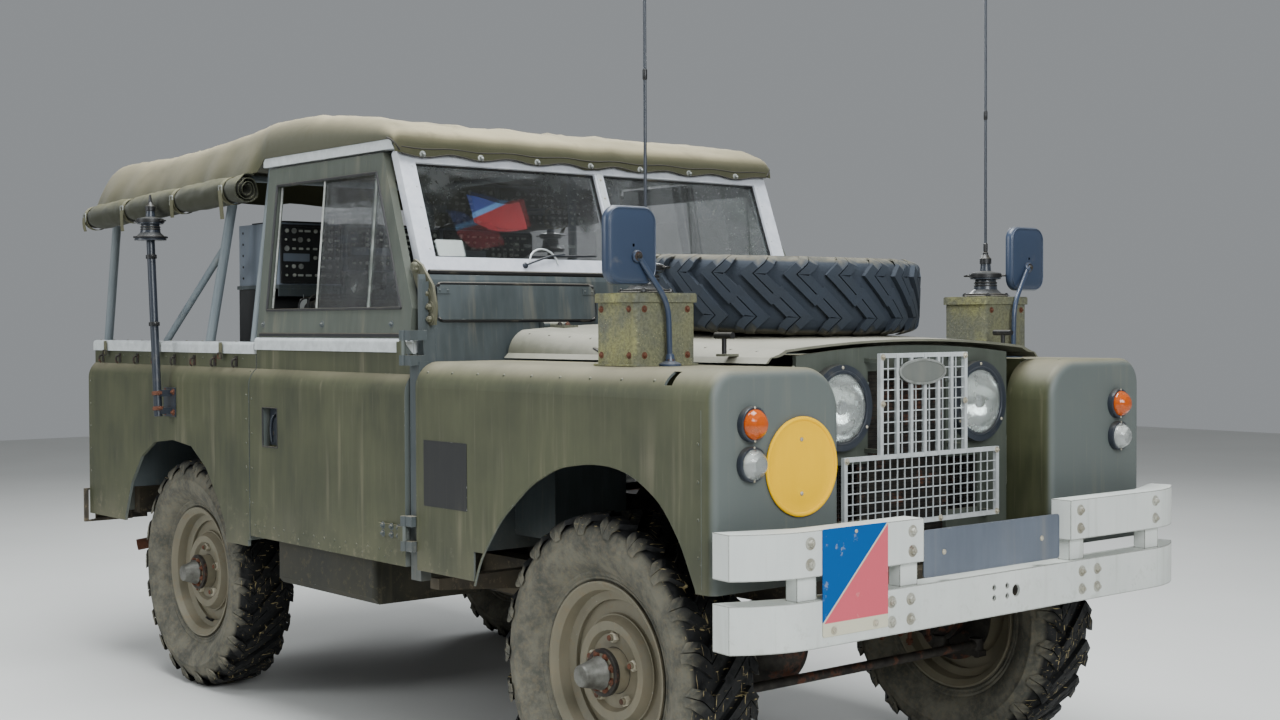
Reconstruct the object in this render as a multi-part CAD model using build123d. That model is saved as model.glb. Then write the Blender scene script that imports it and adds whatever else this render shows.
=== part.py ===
"""Short-wheelbase army 4x4 car with a canvas hood, fitted for radio.

Millimetres.  +X is forward, +Y is the vehicle's left, +Z is up, and the tyres stand on z = 0.
Each function below makes one sub-part as a separate solid, written to its own STEP file.
"""

import os
from math import cos, radians, sin

from build123d import *

# Running gear
front_axle_x = 1200.0
wheelbase = 2235.0
rear_axle_x = front_axle_x - wheelbase
wheel_centre_y = 654.0
tyre_radius = 390.0
tyre_width = 215.0
lug_height = 15.0
lug_count = 22
rim_radius = 222.0
rim_width = 136.0
bead_radius = 206.0
kingpin_y = 545.0
ball_radius = 62.0
axle_radius = 34.0
diff_radius = 120.0
diff_y = -180.0
stub_radius = 30.0
nut_circle_radius = 82.5
track_rod_x = front_axle_x + 130.0
track_rod_radius = 13.0

# Fits and gaps
seat_gap = 0.3
shaft_clearance = 0.05
door_gap = 6.0

# Chassis
rail_y_in = 300.0
rail_y_out = 370.0
hanger_thickness = 6.0
spring_width = rail_y_out - rail_y_in - 2 * hanger_thickness - 2 * seat_gap
spring_y = (rail_y_in + rail_y_out) / 2
front_spring_half = 440.0
rear_spring_half = 580.0

# Body sheet metal
body_half = 812.0
sheet = 6.0
shoulder_radius = 70.0
wing_top_z = 1140.0
wing_front_x = front_axle_x + 491.0
wing_rear_x = front_axle_x - 698.0
wing_nose_y = 403.0
wing_nose_radius = 105.0
wing_foot_z = 644.0
wing_inner_y = 488.0
panel_x = front_axle_x + 345.0
sill_z = 573.0
waist_ledge_z = 1104.0
strip_inset = 27.0
strip_y = body_half - strip_inset
post_rear_x = front_axle_x - 747.0
door_front_x = post_rear_x - door_gap - 4.0
door_length = 915.0
door_rear_x = door_front_x - door_length
door_thickness = 45.0
door_top_of_panel_z = 1165.0
tub_front_x = door_rear_x - door_gap
tub_rear_x = front_axle_x - 2965.0
tub_wall = 10.0
tub_floor_z = 660.0
tub_sill_z = 540.0
wheel_box_top_z = 880.0
wheel_box_inner_y = 455.0
tub_top_z = 1150.0
floor_sheet = 8.0
wheel_box_half = 410.0
rail_top_z = 640.0
capping_height = 38.0
capping_top_z = door_top_of_panel_z + capping_height

# Bonnet and spare wheel
bonnet_front_x = front_axle_x + 362.0
bonnet_rear_x = front_axle_x - 696.0
bonnet_edge_z = wing_top_z + 6.0
bonnet_edge_y = 520.0
bonnet_shoulder_y = 455.0
bonnet_front_shoulder_z = 1178.0
bonnet_front_crown_z = 1200.0
bonnet_rear_shoulder_z = 1225.0
bonnet_rear_crown_z = 1243.0
bonnet_hinge_z = 1238.0
bonnet_hinge_x = bonnet_rear_x - 10.0
bonnet_hinge_y = 330.0
catch_x = front_axle_x + 232.0
catch_z = 1168.0
spare_x = front_axle_x - 125.0
spare_tilt = 2.4
spare_width = 203.0
spare_centre_z = 1323.0

# Bulkhead and windscreen
bulkhead_x = front_axle_x - 716.0
bulkhead_top_z = 1380.0
bulkhead_inset = 39.0
bulkhead_half = body_half - bulkhead_inset
post_lap = 6.0
bulkhead_wall = 12.0
cab_floor_z = 600.0
cab_floor_sheet = 6.0
tunnel_half = 185.0
tunnel_top_z = 761.0
dash_half = bulkhead_half - 40.0
vent_inner_y = 168.0
vent_outer_y = bulkhead_half - 51.0
vent_lap = 12.0
screen_foot_x = front_axle_x - 797.0
screen_foot_z = 1390.0
screen_rake = 20.5
screen_height = 385.0
screen_half = bulkhead_half - 48.0
screen_frame_depth = 30.0
screen_member = 54.0
screen_post = 34.0
screen_top_x = screen_foot_x - screen_height * sin(radians(screen_rake))
glass_thickness = 6.0

# Bumpers
bumper_face_x = front_axle_x + 640.0
bumper_half = 838.0
bumper_low_z = 530.0
bumper_height = 105.0
bumper_depth = 60.0
upper_bumper_z = 688.0
upper_bumper_height = 101.0
upper_bumper_inner_y = 283.0
bumper_sweep = 68.0
bumper_sweep_length = 190.0
rear_bumper_x = tub_rear_x - 56.0

# Front of the car
lamp_y = 265.0
lamp_z = 1033.0
lamp_rim_radius = 106.0
grille_x = front_axle_x + 392.0
grille_half_top = 167.0
grille_half_low = 297.0
grille_top_z = 1165.0
grille_mid_z = 903.0
grille_low_z = 735.0
grille_frame = 11.0
mesh_pitch = 27.0
mesh_wire = 2.6
grille_bar = 9.0

# Hood
hood_tube_radius = 16.0
roof_half = 742.0
roof_front_x = front_axle_x - 935.0
roof_rear_x = front_axle_x - 2975.0
canvas_thickness = 8.0
hem_drop = 0.5
roll_radius = 50.0
roll_y = 786.0
roll_front_z = 1678.0
roll_rear_z = 1642.0
door_top_z = 1737.0
door_top_lean = 5.0

# Radio fit
aerial_box_x = front_axle_x + 4.0
aerial_box_length = 150.0
aerial_box_inner_y = 553.0
aerial_box_width = 193.0
aerial_box_height = 170.0
whip_length = 1200.0
whip_radius = 4.0


def block(x0, x1, y0, y1, z0, z1):
    """A box between two corners."""
    size = Box(abs(x1 - x0), abs(y1 - y0), abs(z1 - z0))
    return Pos((x0 + x1) / 2, (y0 + y1) / 2, (z0 + z1) / 2) * size


def along_x(points, x0, x1):
    """A prism along X from (y, z) points."""
    face = make_face(Polyline(*[(x0, y, z) for y, z in points], close=True))
    return extrude(face, amount=x1 - x0, dir=(1, 0, 0))


def along_y(points, y0, y1):
    """A prism along Y from (x, z) points."""
    face = make_face(Polyline(*[(x, y0, z) for x, z in points], close=True))
    return extrude(face, amount=y1 - y0, dir=(0, 1, 0))


def along_z(points, z0, z1):
    """A prism along Z from (x, y) points."""
    face = make_face(Polyline(*[(x, y, z0) for x, y in points], close=True))
    return extrude(face, amount=z1 - z0, dir=(0, 0, 1))


def rod(start, end, radius):
    """A round bar between two points."""
    start, end = Vector(*start), Vector(*end)
    plane = Plane(origin=start, z_dir=end - start)
    return extrude(plane * Circle(radius), amount=(end - start).length)


def pipe(start, end, outer, inner):
    """A tube between two points."""
    return rod(start, end, outer) - rod(start, end, inner)


def ring_y(y0, y1, outer, inner, x=0.0, z=0.0):
    """A ring about an axis along Y."""
    return pipe((x, y0, z), (x, y1, z), outer, inner)


def both_sides(shape):
    """A shape and its mirror image across the middle of the car."""
    return shape + mirror(shape, about=Plane.XZ)


def group(*shapes):
    """Several solids of one node."""
    solids = []
    for shape in shapes:
        solids.extend(shape.solids())
    return Compound(children=solids)


def body_profile(x, foot_z, grow=0.0, inner_y=None, top_z=None):
    """Closed (y, z) outline of a side panel on the left: flat side, rolled shoulder, strip above."""
    outer = body_half - grow
    radius = shoulder_radius - grow
    centre_y = body_half - shoulder_radius
    centre_z = waist_ledge_z - (shoulder_radius**2 - (strip_y - centre_y) ** 2) ** 0.5
    end_z = centre_z + (radius**2 - (strip_y - grow - centre_y) ** 2) ** 0.5
    turn = (strip_y - grow - centre_y) / radius
    mid_y = centre_y + radius * ((1 + turn) / 2) ** 0.5
    mid_z = centre_z + radius * ((1 - turn) / 2) ** 0.5
    top = top_z or door_top_of_panel_z
    inner = inner_y or outer - door_thickness
    edges = [
        Line((x, outer, foot_z), (x, outer, centre_z)),
        ThreePointArc((x, outer, centre_z), (x, mid_y, mid_z), (x, strip_y - grow, end_z)),
        Line((x, strip_y - grow, end_z), (x, strip_y - grow, top)),
        Line((x, strip_y - grow, top), (x, inner, top)),
        Line((x, inner, top), (x, inner, foot_z)),
        Line((x, inner, foot_z), (x, outer, foot_z)),
    ]
    return make_face(Wire(edges))


# Wheels


def rim(width, y_sign=1.0):
    """Wheel rim with drop centre, dished disc, hub, studs and cap, axis along Y, outer face at +Y."""
    half = width / 2
    bead = bead_radius
    profile = Polyline(
        (rim_radius, half),
        (rim_radius, half - 6),
        (bead, half - 12),
        (bead - 4, half - 40),
        (bead - 26, half - 48),
        (bead - 26, -half + 50),
        (bead - 4, -half + 42),
        (bead, -half + 12),
        (rim_radius, -half + 6),
        (rim_radius, -half),
        (rim_radius - 5, -half),
        (bead - 6, -half + 14),
        (bead - 12, -half + 44),
        (bead - 33, -half + 52),
        (bead - 33, half - 68),
        (132, half - 62),
        (118, half - 30),
        (98, half - 32),
        (92, half - 44),
        (58, half - 44),
        (58, half - 36),
        (92, half - 36),
        (100, half - 24),
        (122, half - 22),
        (140, half - 54),
        (bead - 33, half - 60),
        (bead - 33, half - 50),
        (bead - 12, half - 42),
        (bead - 6, half - 14),
        (rim_radius - 5, half),
        close=True,
    )
    face = make_face(profile)
    return revolve(Plane.XY * face, axis=Axis.Y)


def tyre(width):
    """Tyre carcass with a lugged tread, axis along Y."""
    half = width / 2
    crown = tyre_radius - lug_height
    gap = seat_gap
    bead_half = rim_width / 2 - 12 - gap
    outline = [
        Line((bead_radius + gap, bead_half), (rim_radius + gap + 3, bead_half + 2)),
        ThreePointArc(
            (rim_radius + gap + 3, bead_half + 2), (300, half), (crown - 22, half - 20)
        ),
        Line((crown - 22, half - 20), (crown, half - 36)),
        Line((crown, half - 36), (crown, -half + 36)),
        Line((crown, -half + 36), (crown - 22, -half + 20)),
        ThreePointArc(
            (crown - 22, -half + 20), (300, -half), (rim_radius + gap + 3, -bead_half - 2)
        ),
        Line((rim_radius + gap + 3, -bead_half - 2), (bead_radius + gap, -bead_half)),
        Line((bead_radius + gap, -bead_half), (bead_radius + gap, bead_half)),
    ]
    return revolve(make_face(Wire(outline)), axis=Axis.Y)


def lug_ring(width):
    """Shoulder lugs, alternating left and right, as one ring of bars fused to the carcass."""
    half = width / 2
    crown = tyre_radius - lug_height
    lug = along_x(
        [
            (half - 14, crown - 42),
            (half - 22, tyre_radius),
            (4, tyre_radius),
            (4, crown - 6),
            (half - 46, crown - 6),
            (half - 34, crown - 42),
        ],
        -15,
        15,
    )
    shapes = []
    step = 360.0 / lug_count
    for index in range(lug_count):
        turned = Rot(0, index * step, 0) * lug
        other = Rot(0, (index + 0.5) * step, 0) * mirror(lug, about=Plane.XZ)
        shapes.extend([turned, other])
    return shapes


def tread_tyre(width):
    carcass = tyre(width)
    return carcass.fuse(*lug_ring(width))


def hub(cap_length):
    """Hub with brake drum, drive flange, five nuts and cap, as one solid about a wheel's axis."""
    drum_start = kingpin_y + ball_radius - 8 - wheel_centre_y
    face = rim_width / 2 - 44
    drum = ring_y(drum_start, face - 2, 138, 131)
    drum += ring_y(face - 6, face, 138, stub_radius + 14)
    boss = ring_y(20, 64, 56, stub_radius + shaft_clearance)
    flange = rod((0, 64, 0), (0, 76, 0), 58)
    cap = rod((0, 76, 0), (0, 76 + cap_length, 0), 26)
    shape = drum + boss + flange + cap
    for index in range(5):
        angle = radians(90 + 72 * index)
        x_nut, z_nut = nut_circle_radius * cos(angle), nut_circle_radius * sin(angle)
        shape += rod((x_nut, 22, z_nut), (x_nut, 52, z_nut), 9)
    return shape


def place_wheel(shape, x, side):
    """Moves a shape made about Y at the origin to a wheel's place, its outside face outwards."""
    if side < 0:
        shape = mirror(shape, about=Plane.XZ)
    return Pos(x, side * wheel_centre_y, tyre_radius) * shape


# Steering knuckles and rods


def knuckle(side):
    """Swivel housing with stub axle, brake back plate and steering arm, made for the left side."""
    centre = (front_axle_x, kingpin_y, tyre_radius)
    ball_gap = seat_gap
    housing = Pos(*centre) * (Sphere(ball_radius + 14) - Sphere(ball_radius + ball_gap))
    keep = block(
        front_axle_x - 100, front_axle_x + 100, kingpin_y - 8, kingpin_y + 100,
        tyre_radius - 100, tyre_radius + 100,
    )
    housing &= keep
    pins = rod(
        (front_axle_x, kingpin_y, tyre_radius - ball_radius - 26),
        (front_axle_x, kingpin_y, tyre_radius - ball_radius - 2), 24,
    ) + rod(
        (front_axle_x, kingpin_y, tyre_radius + ball_radius + 2),
        (front_axle_x, kingpin_y, tyre_radius + ball_radius + 26), 24,
    )
    stub = rod(
        (front_axle_x, kingpin_y + ball_radius + 6, tyre_radius),
        (front_axle_x, wheel_centre_y + 63, tyre_radius), stub_radius,
    )
    plate_y = kingpin_y + ball_radius - 14
    plate = ring_y(plate_y, plate_y + 4, 140, ball_radius - 10, front_axle_x, tyre_radius)
    arm = along_z(
        [
            (front_axle_x - 18, kingpin_y - 18),
            (front_axle_x - 18, kingpin_y + 18),
            (track_rod_x + 22, kingpin_y + 16),
            (track_rod_x + 22, kingpin_y - 16),
        ],
        tyre_radius - ball_radius - 42,
        tyre_radius - ball_radius - 26,
    )
    arm += rod(
        (front_axle_x, kingpin_y, tyre_radius - ball_radius - 42),
        (front_axle_x, kingpin_y, tyre_radius - ball_radius - 26), 24,
    )
    arm -= rod(
        (track_rod_x, kingpin_y, 0), (track_rod_x, kingpin_y, tyre_radius),
        8 + shaft_clearance,
    )
    shape = housing + pins + stub + plate + arm
    return shape if side > 0 else mirror(shape, about=Plane.XZ)


def track_rod():
    """Rod between the steering arms, with a ball stud at each end."""
    arm_low = tyre_radius - ball_radius - 42
    arm_high = tyre_radius - ball_radius - 26
    rod_z = arm_high + seat_gap + track_rod_radius + 3
    bar = rod((track_rod_x, -kingpin_y, rod_z), (track_rod_x, kingpin_y, rod_z), track_rod_radius)
    for side in (-1, 1):
        y = side * kingpin_y
        bar += rod((track_rod_x, y, arm_high + seat_gap), (track_rod_x, y, rod_z + 18), 20)
        bar += rod((track_rod_x, y, arm_low - 6), (track_rod_x, y, rod_z), 8)
    return bar


def front_axle():
    """Axle case with the differential to the right and a ball at each end."""
    case = rod(
        (front_axle_x, -kingpin_y + 30, tyre_radius),
        (front_axle_x, kingpin_y - 30, tyre_radius), axle_radius,
    )
    case += Pos(front_axle_x, diff_y, tyre_radius) * Sphere(diff_radius)
    case += rod(
        (front_axle_x - 190, diff_y, tyre_radius + 10),
        (front_axle_x, diff_y, tyre_radius + 10), 48,
    )
    for side in (-1, 1):
        ball = Pos(front_axle_x, side * kingpin_y, tyre_radius) * Sphere(ball_radius)
        case += ball
        y0, y1 = side * (kingpin_y - ball_radius - 14), side * (kingpin_y - ball_radius + 4)
        case += rod((front_axle_x, y0, tyre_radius), (front_axle_x, y1, tyre_radius), 52)
    return case


def rear_axle():
    """Axle case, differential, brake back plates and stubs."""
    end = wheel_centre_y + 63
    case = rod((rear_axle_x, -end, tyre_radius), (rear_axle_x, end, tyre_radius), stub_radius)
    tube_end = kingpin_y + 40
    case += rod(
        (rear_axle_x, -tube_end, tyre_radius), (rear_axle_x, tube_end, tyre_radius), axle_radius
    )
    case += Pos(rear_axle_x, diff_y, tyre_radius) * Sphere(diff_radius)
    case += rod(
        (rear_axle_x, diff_y, tyre_radius + 10), (rear_axle_x + 190, diff_y, tyre_radius + 10), 48
    )
    plate_y = kingpin_y + ball_radius - 14
    for side in (-1, 1):
        case += rod(
            (rear_axle_x, side * plate_y, tyre_radius),
            (rear_axle_x, side * (plate_y + 4), tyre_radius), 140,
        )
    return case


# Chassis

spring_eye_z = 520.0
spring_seat_z = tyre_radius + axle_radius + seat_gap
spring_stack = 46.0
rail_front_x = bumper_face_x - bumper_depth - seat_gap
tank_rear_x = front_axle_x - 1590.0
rail_rear_x = tub_rear_x + 50.0
cross_rear_x = tub_rear_x - 15.0


def chassis_frame():
    """Two box rails that rise over the axles, cross members, outriggers and spring hangers."""
    top = [
        (rail_front_x, 632), (front_axle_x - 480, 632), (front_axle_x - 660, 548),
        (rear_axle_x + 780, 548), (rear_axle_x + 600, rail_top_z), (rear_axle_x - 320, rail_top_z),
        (rail_rear_x, 628),
    ]
    bottom = [
        (rail_rear_x, 548), (rear_axle_x - 260, 556), (rear_axle_x + 610, 556),
        (rear_axle_x + 760, 440), (front_axle_x - 640, 440), (front_axle_x - 475, 548),
        (rail_front_x, 548),
    ]
    rail = along_y(top + bottom, rail_y_in, rail_y_out)
    frame = both_sides(rail)
    # cross members: x, half length in x, low z, high z
    members = [
        (front_axle_x + 400, 30, 552, 622),
        (front_axle_x - 640, 25, 478, 532),
        (rear_axle_x + 790, 25, 492, 544),
        (rear_axle_x + 300, 25, 560, 615),
        (rear_axle_x - 430, 25, 560, 600),
    ]
    for x, half, low, high in members:
        frame += block(x - half, x + half, -rail_y_in, rail_y_in, low, high)
    frame += block(cross_rear_x, rail_rear_x, -640, 640, 530, 630)
    # outriggers: x, half length in x, end y, low z, high z
    outriggers = [
        (front_axle_x - 722, 22, 740, 480, 540),
        (tank_rear_x - 18, 18 - seat_gap, 700, 560, 598),
    ]
    for x, half, end_y, low, high in outriggers:
        arm = along_x(
            [(rail_y_out - 1, low), (end_y, high - 30), (end_y, high), (rail_y_out - 1, high)],
            x - half, x + half,
        )
        frame += both_sides(arm)
    # spring hangers: x, height of the hanger's lowest point
    hangers = [
        front_axle_x + front_spring_half, front_axle_x - front_spring_half,
        rear_axle_x + rear_spring_half, rear_axle_x - rear_spring_half,
    ]
    for x in hangers:
        for y in (rail_y_in, rail_y_out - hanger_thickness):
            cheek = block(x - 20, x + 20, y, y + hanger_thickness, spring_eye_z - 22, 560)
            frame += both_sides(cheek)
    return frame


def leaf_springs():
    """Four packs of leaves, each bowed down from its eyes to the axle."""
    packs = []
    half_width = spring_width / 2
    for axle_x, half in ((front_axle_x, front_spring_half), (rear_axle_x, rear_spring_half)):
        low = spring_seat_z
        main = ThreePointArc(
            (axle_x - half, 0, spring_eye_z), (axle_x, 0, low + spring_stack),
            (axle_x + half, 0, spring_eye_z),
        )
        under = ThreePointArc(
            (axle_x + half, 0, spring_eye_z - 8), (axle_x, 0, low + spring_stack - 8),
            (axle_x - half, 0, spring_eye_z - 8),
        )
        wire = Wire([
            main, Line(main @ 1, under @ 0), under, Line(under @ 1, main @ 0),
        ])
        leaf = extrude(make_face(wire), amount=half_width, dir=(0, 1, 0), both=True)
        pack = leaf
        for index in range(1, 5):
            reach = half * (1 - 0.2 * index)
            drop = 8.0 * index
            sag = (spring_eye_z - low - spring_stack) * (1 - 0.2 * index) ** 2
            base = low + spring_stack - drop
            over = ThreePointArc(
                (axle_x - reach, 0, base + sag + 0.5), (axle_x, 0, base + 0.5),
                (axle_x + reach, 0, base + sag + 0.5),
            )
            below = ThreePointArc(
                (axle_x + reach, 0, base + sag - 8), (axle_x, 0, base - 8),
                (axle_x - reach, 0, base + sag - 8),
            )
            loop = Wire([
                over, Line(over @ 1, below @ 0), below, Line(below @ 1, over @ 0),
            ])
            pack += extrude(make_face(loop), amount=half_width, dir=(0, 1, 0), both=True)
        pack += block(
            axle_x - 50, axle_x + 50, -half_width - 3, half_width + 3, low, low + spring_stack + 6
        )
        for end in (-1, 1):
            x = axle_x + end * half
            pack += rod((x, -half_width, spring_eye_z), (x, half_width, spring_eye_z), 18)
        for side in (-1, 1):
            packs.append(Pos(0, side * spring_y, 0) * pack)
    return group(*packs)


def dampers():
    shapes = []
    for axle_x, lean, top_z in ((front_axle_x, 70, 690), (rear_axle_x, -80, 640)):
        for side in (-1, 1):
            y = side * (rail_y_out + 34)
            low = (axle_x + lean, y, 400)
            mid = (axle_x + lean * 1.4, y, 540)
            high = (axle_x + lean * 1.9, y, top_z)
            shape = rod(low, mid, 26) + rod(low, high, 18)
            y_in = side * (rail_y_out + seat_gap)
            x_pin = axle_x + lean * 1.6
            shape += rod((x_pin, y_in, 605), (x_pin, y, 605), 10)
            shapes.append(shape)
    return group(*shapes)


def propshafts():
    shapes = []
    gear_front_x = front_axle_x - 930
    gear_rear_x = front_axle_x - 1260
    for start_x, end_x in (
        (gear_front_x + 60 + seat_gap, front_axle_x - 190 - seat_gap),
        (rear_axle_x + 190 + seat_gap, gear_rear_x - 60 - seat_gap),
    ):
        z0, z1 = (470, tyre_radius + 10) if start_x > rear_axle_x + 600 else (tyre_radius + 10, 470)
        shaft = rod((start_x + 6, diff_y, z0), (end_x - 6, diff_y, z1), 25)
        shaft += rod((start_x, diff_y, z0), (start_x + 40, diff_y, z0), 42)
        shaft += rod((end_x - 40, diff_y, z1), (end_x, diff_y, z1), 42)
        shapes.append(shaft)
    return group(*shapes)


def engine_block():
    """Engine as one plain block with its sump and rocker cover."""
    shape = block(front_axle_x - 430, front_axle_x + 190, -170, 170, 560, 860)
    shape += block(front_axle_x - 380, front_axle_x - 60, -130, 130, 500, 570)
    shape += block(front_axle_x - 420, front_axle_x + 150, -90, 90, 850, 1020)
    mount_y = rail_y_in - seat_gap
    shape += block(front_axle_x - 180, front_axle_x - 120, -mount_y, mount_y, 575, 615)
    return shape


def gearbox():
    """Bell housing, gearbox and transfer box."""
    bell_x = front_axle_x - 430 - seat_gap
    shape = rod((bell_x, 0, 640), (bell_x - 160, 0, 640), 160)
    shape += block(bell_x - 640, bell_x - 140, -120, 120, 540, 740)
    shape += block(front_axle_x - 1260, front_axle_x - 930, -270, -100, 410, 592)
    shape += block(front_axle_x - 665, front_axle_x - 615, -60, 60, 532 + seat_gap, 545)
    shape += rod((front_axle_x - 870, diff_y, 470), (front_axle_x - 1000, diff_y, 470), 45)
    shape += rod((front_axle_x - 1200, diff_y, 470), (front_axle_x - 1320, diff_y, 470), 45)
    return shape


def exhaust():
    """Down pipe, silencer beside the gearbox, and a tail pipe over the rear axle to the right."""
    z = 440.0
    manifold = (front_axle_x - 250, 170 + seat_gap + 26, 640)
    pipe_path = FilletPolyline(
        manifold, (front_axle_x - 420, 210, z), (front_axle_x - 900, 210, z),
        (rear_axle_x + 300, 210, z + 20), (rear_axle_x - 60, 210, z + 60),
        (rear_axle_x - 420, 60, z + 40), (rear_axle_x - 650, -420, z), (tub_rear_x - 20, -620, 400),
        radius=50,
    )
    shape = sweep(Plane(origin=pipe_path @ 0, z_dir=pipe_path % 0) * Circle(21), path=pipe_path)
    shape += rod((front_axle_x - 1010, 210, z), (front_axle_x - 1420, 210, z), 58)
    shape += rod((manifold[0], manifold[1] - 26, manifold[2]), (manifold[0], manifold[1], manifold[2]), 26)
    return shape


def fuel_tanks():
    """One tank under each front seat, outside the rails."""
    low = 431
    tank = along_x(
        [
            (rail_y_out + 10, low), (body_half - 70, low), (body_half - 52, low + 20),
            (body_half - 52, 600), (rail_y_out + 10, 600),
        ],
        tank_rear_x, front_axle_x - 1010,
    )
    tank = fillet(tank.edges().filter_by(Axis.Z), 14)
    return group(tank, mirror(tank, about=Plane.XZ))


def radiator():
    x = panel_x - 12 - seat_gap
    shape = block(x - 70, x, -175, 175, 650, 1080)
    shape += block(x - 85, x, -160, 160, 1079, 1130)
    return shape


# Bumpers


def swept_bar(inner_y, outer_y, low_z, height):
    """Bar along Y from inner to outer, its outer end curved back, left side."""
    face_x = bumper_face_x
    back_x = face_x - bumper_depth
    bend_y = outer_y - bumper_sweep_length
    start = (face_x, bend_y)
    arc = TangentArc(start, (face_x - bumper_sweep, outer_y), tangent=(0, 1))
    end = arc @ 1
    wire = Wire([
        Line((face_x, inner_y), start),
        arc,
        Line(end, (back_x - bumper_sweep, outer_y - 8)),
        Line((back_x - bumper_sweep, outer_y - 8), (back_x, bend_y)),
        Line((back_x, bend_y), (back_x, inner_y)),
        Line((back_x, inner_y), (face_x, inner_y)),
    ])
    face = Pos(0, 0, low_z) * make_face(wire)
    return extrude(face, amount=height, dir=(0, 0, 1))


def front_bumper():
    """Channel bumper with swept ends, open at the back, and a starting handle hole."""
    bar = both_sides(swept_bar(0, bumper_half, bumper_low_z, bumper_height))
    inside_x = bumper_face_x - 6
    bend_y = bumper_half - bumper_sweep_length
    hollow = block(
        bumper_face_x - bumper_depth - 1, inside_x, -bend_y, bend_y,
        bumper_low_z + 6, bumper_low_z + bumper_height - 6,
    )
    bar -= hollow
    for side in (-1, 1):
        bar += block(
            rail_front_x + seat_gap, inside_x + 1, side * spring_y - 30, side * spring_y + 30,
            bumper_low_z + 6, bumper_low_z + bumper_height - 6,
        )
    # holes in the middle of the face: y, z
    for y, z in ((-25, 575), (25, 575), (-25, 600), (25, 600)):
        bar -= rod((bumper_face_x - 8, y, z), (bumper_face_x + 1, y, z), 6)
    bar -= rod((bumper_face_x - 8, 60, 585), (bumper_face_x + 1, 60, 585), 14)
    return bar


def upper_bumpers():
    """Short bars above the bumper ends, each on two spacer blocks."""
    bar = swept_bar(upper_bumper_inner_y, bumper_half, upper_bumper_z, upper_bumper_height)
    bend_y = bumper_half - bumper_sweep_length
    bar -= block(
        bumper_face_x - bumper_depth - 1, bumper_face_x - 11, upper_bumper_inner_y + 6, bend_y,
        upper_bumper_z + 6, upper_bumper_z + upper_bumper_height - 6,
    )
    shape = bar
    low = bumper_low_z + bumper_height
    for y in (upper_bumper_inner_y + 40, bumper_half - 180):
        shape += block(bumper_face_x - 46, bumper_face_x - 12, y - 30, y + 30, low, upper_bumper_z)
    return both_sides(shape)


def rear_bumperettes():
    """Corner bumpers at the back."""
    shape = swept_corner()
    return group(shape, mirror(shape, about=Plane.XZ))


def swept_corner():
    x0 = tub_rear_x - 2 - seat_gap
    x1 = rear_bumper_x
    outer = bumper_half - 8
    inner = 645.0
    wire = Wire([
        Line((x1, inner), (x1, outer - 60)),
        RadiusArc((x1, outer - 60), (x1 + 40, outer), -52),
        Line((x1 + 40, outer), (x0, outer)),
        Line((x0, outer), (x0, inner)),
        Line((x0, inner), (x1, inner)),
    ])
    shape = extrude(Pos(0, 0, 507) * make_face(wire), amount=125, dir=(0, 0, 1))
    shape -= block(x1 + 6, x0 + 1, inner + 6, outer - 14, 513, 626)
    plate_x = cross_rear_x - seat_gap
    shape += block(plate_x - 6, plate_x, inner - 65, inner + 40, 508, 630)
    return shape


def tow_pintle():
    """Tow hook on a plate bolted to the rear cross member."""
    plate_x = cross_rear_x - seat_gap
    shape = block(plate_x - 14, plate_x, -75, 75, 535, 625)
    shape += rod((plate_x - 14, 0, 580), (plate_x - 40, 0, 580), 26)
    hook = Pos(plate_x - 58, 0, 580) * (Rot(90, 0, 0) * Torus(24, 12))
    return shape + hook


# Wings and front panel


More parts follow.
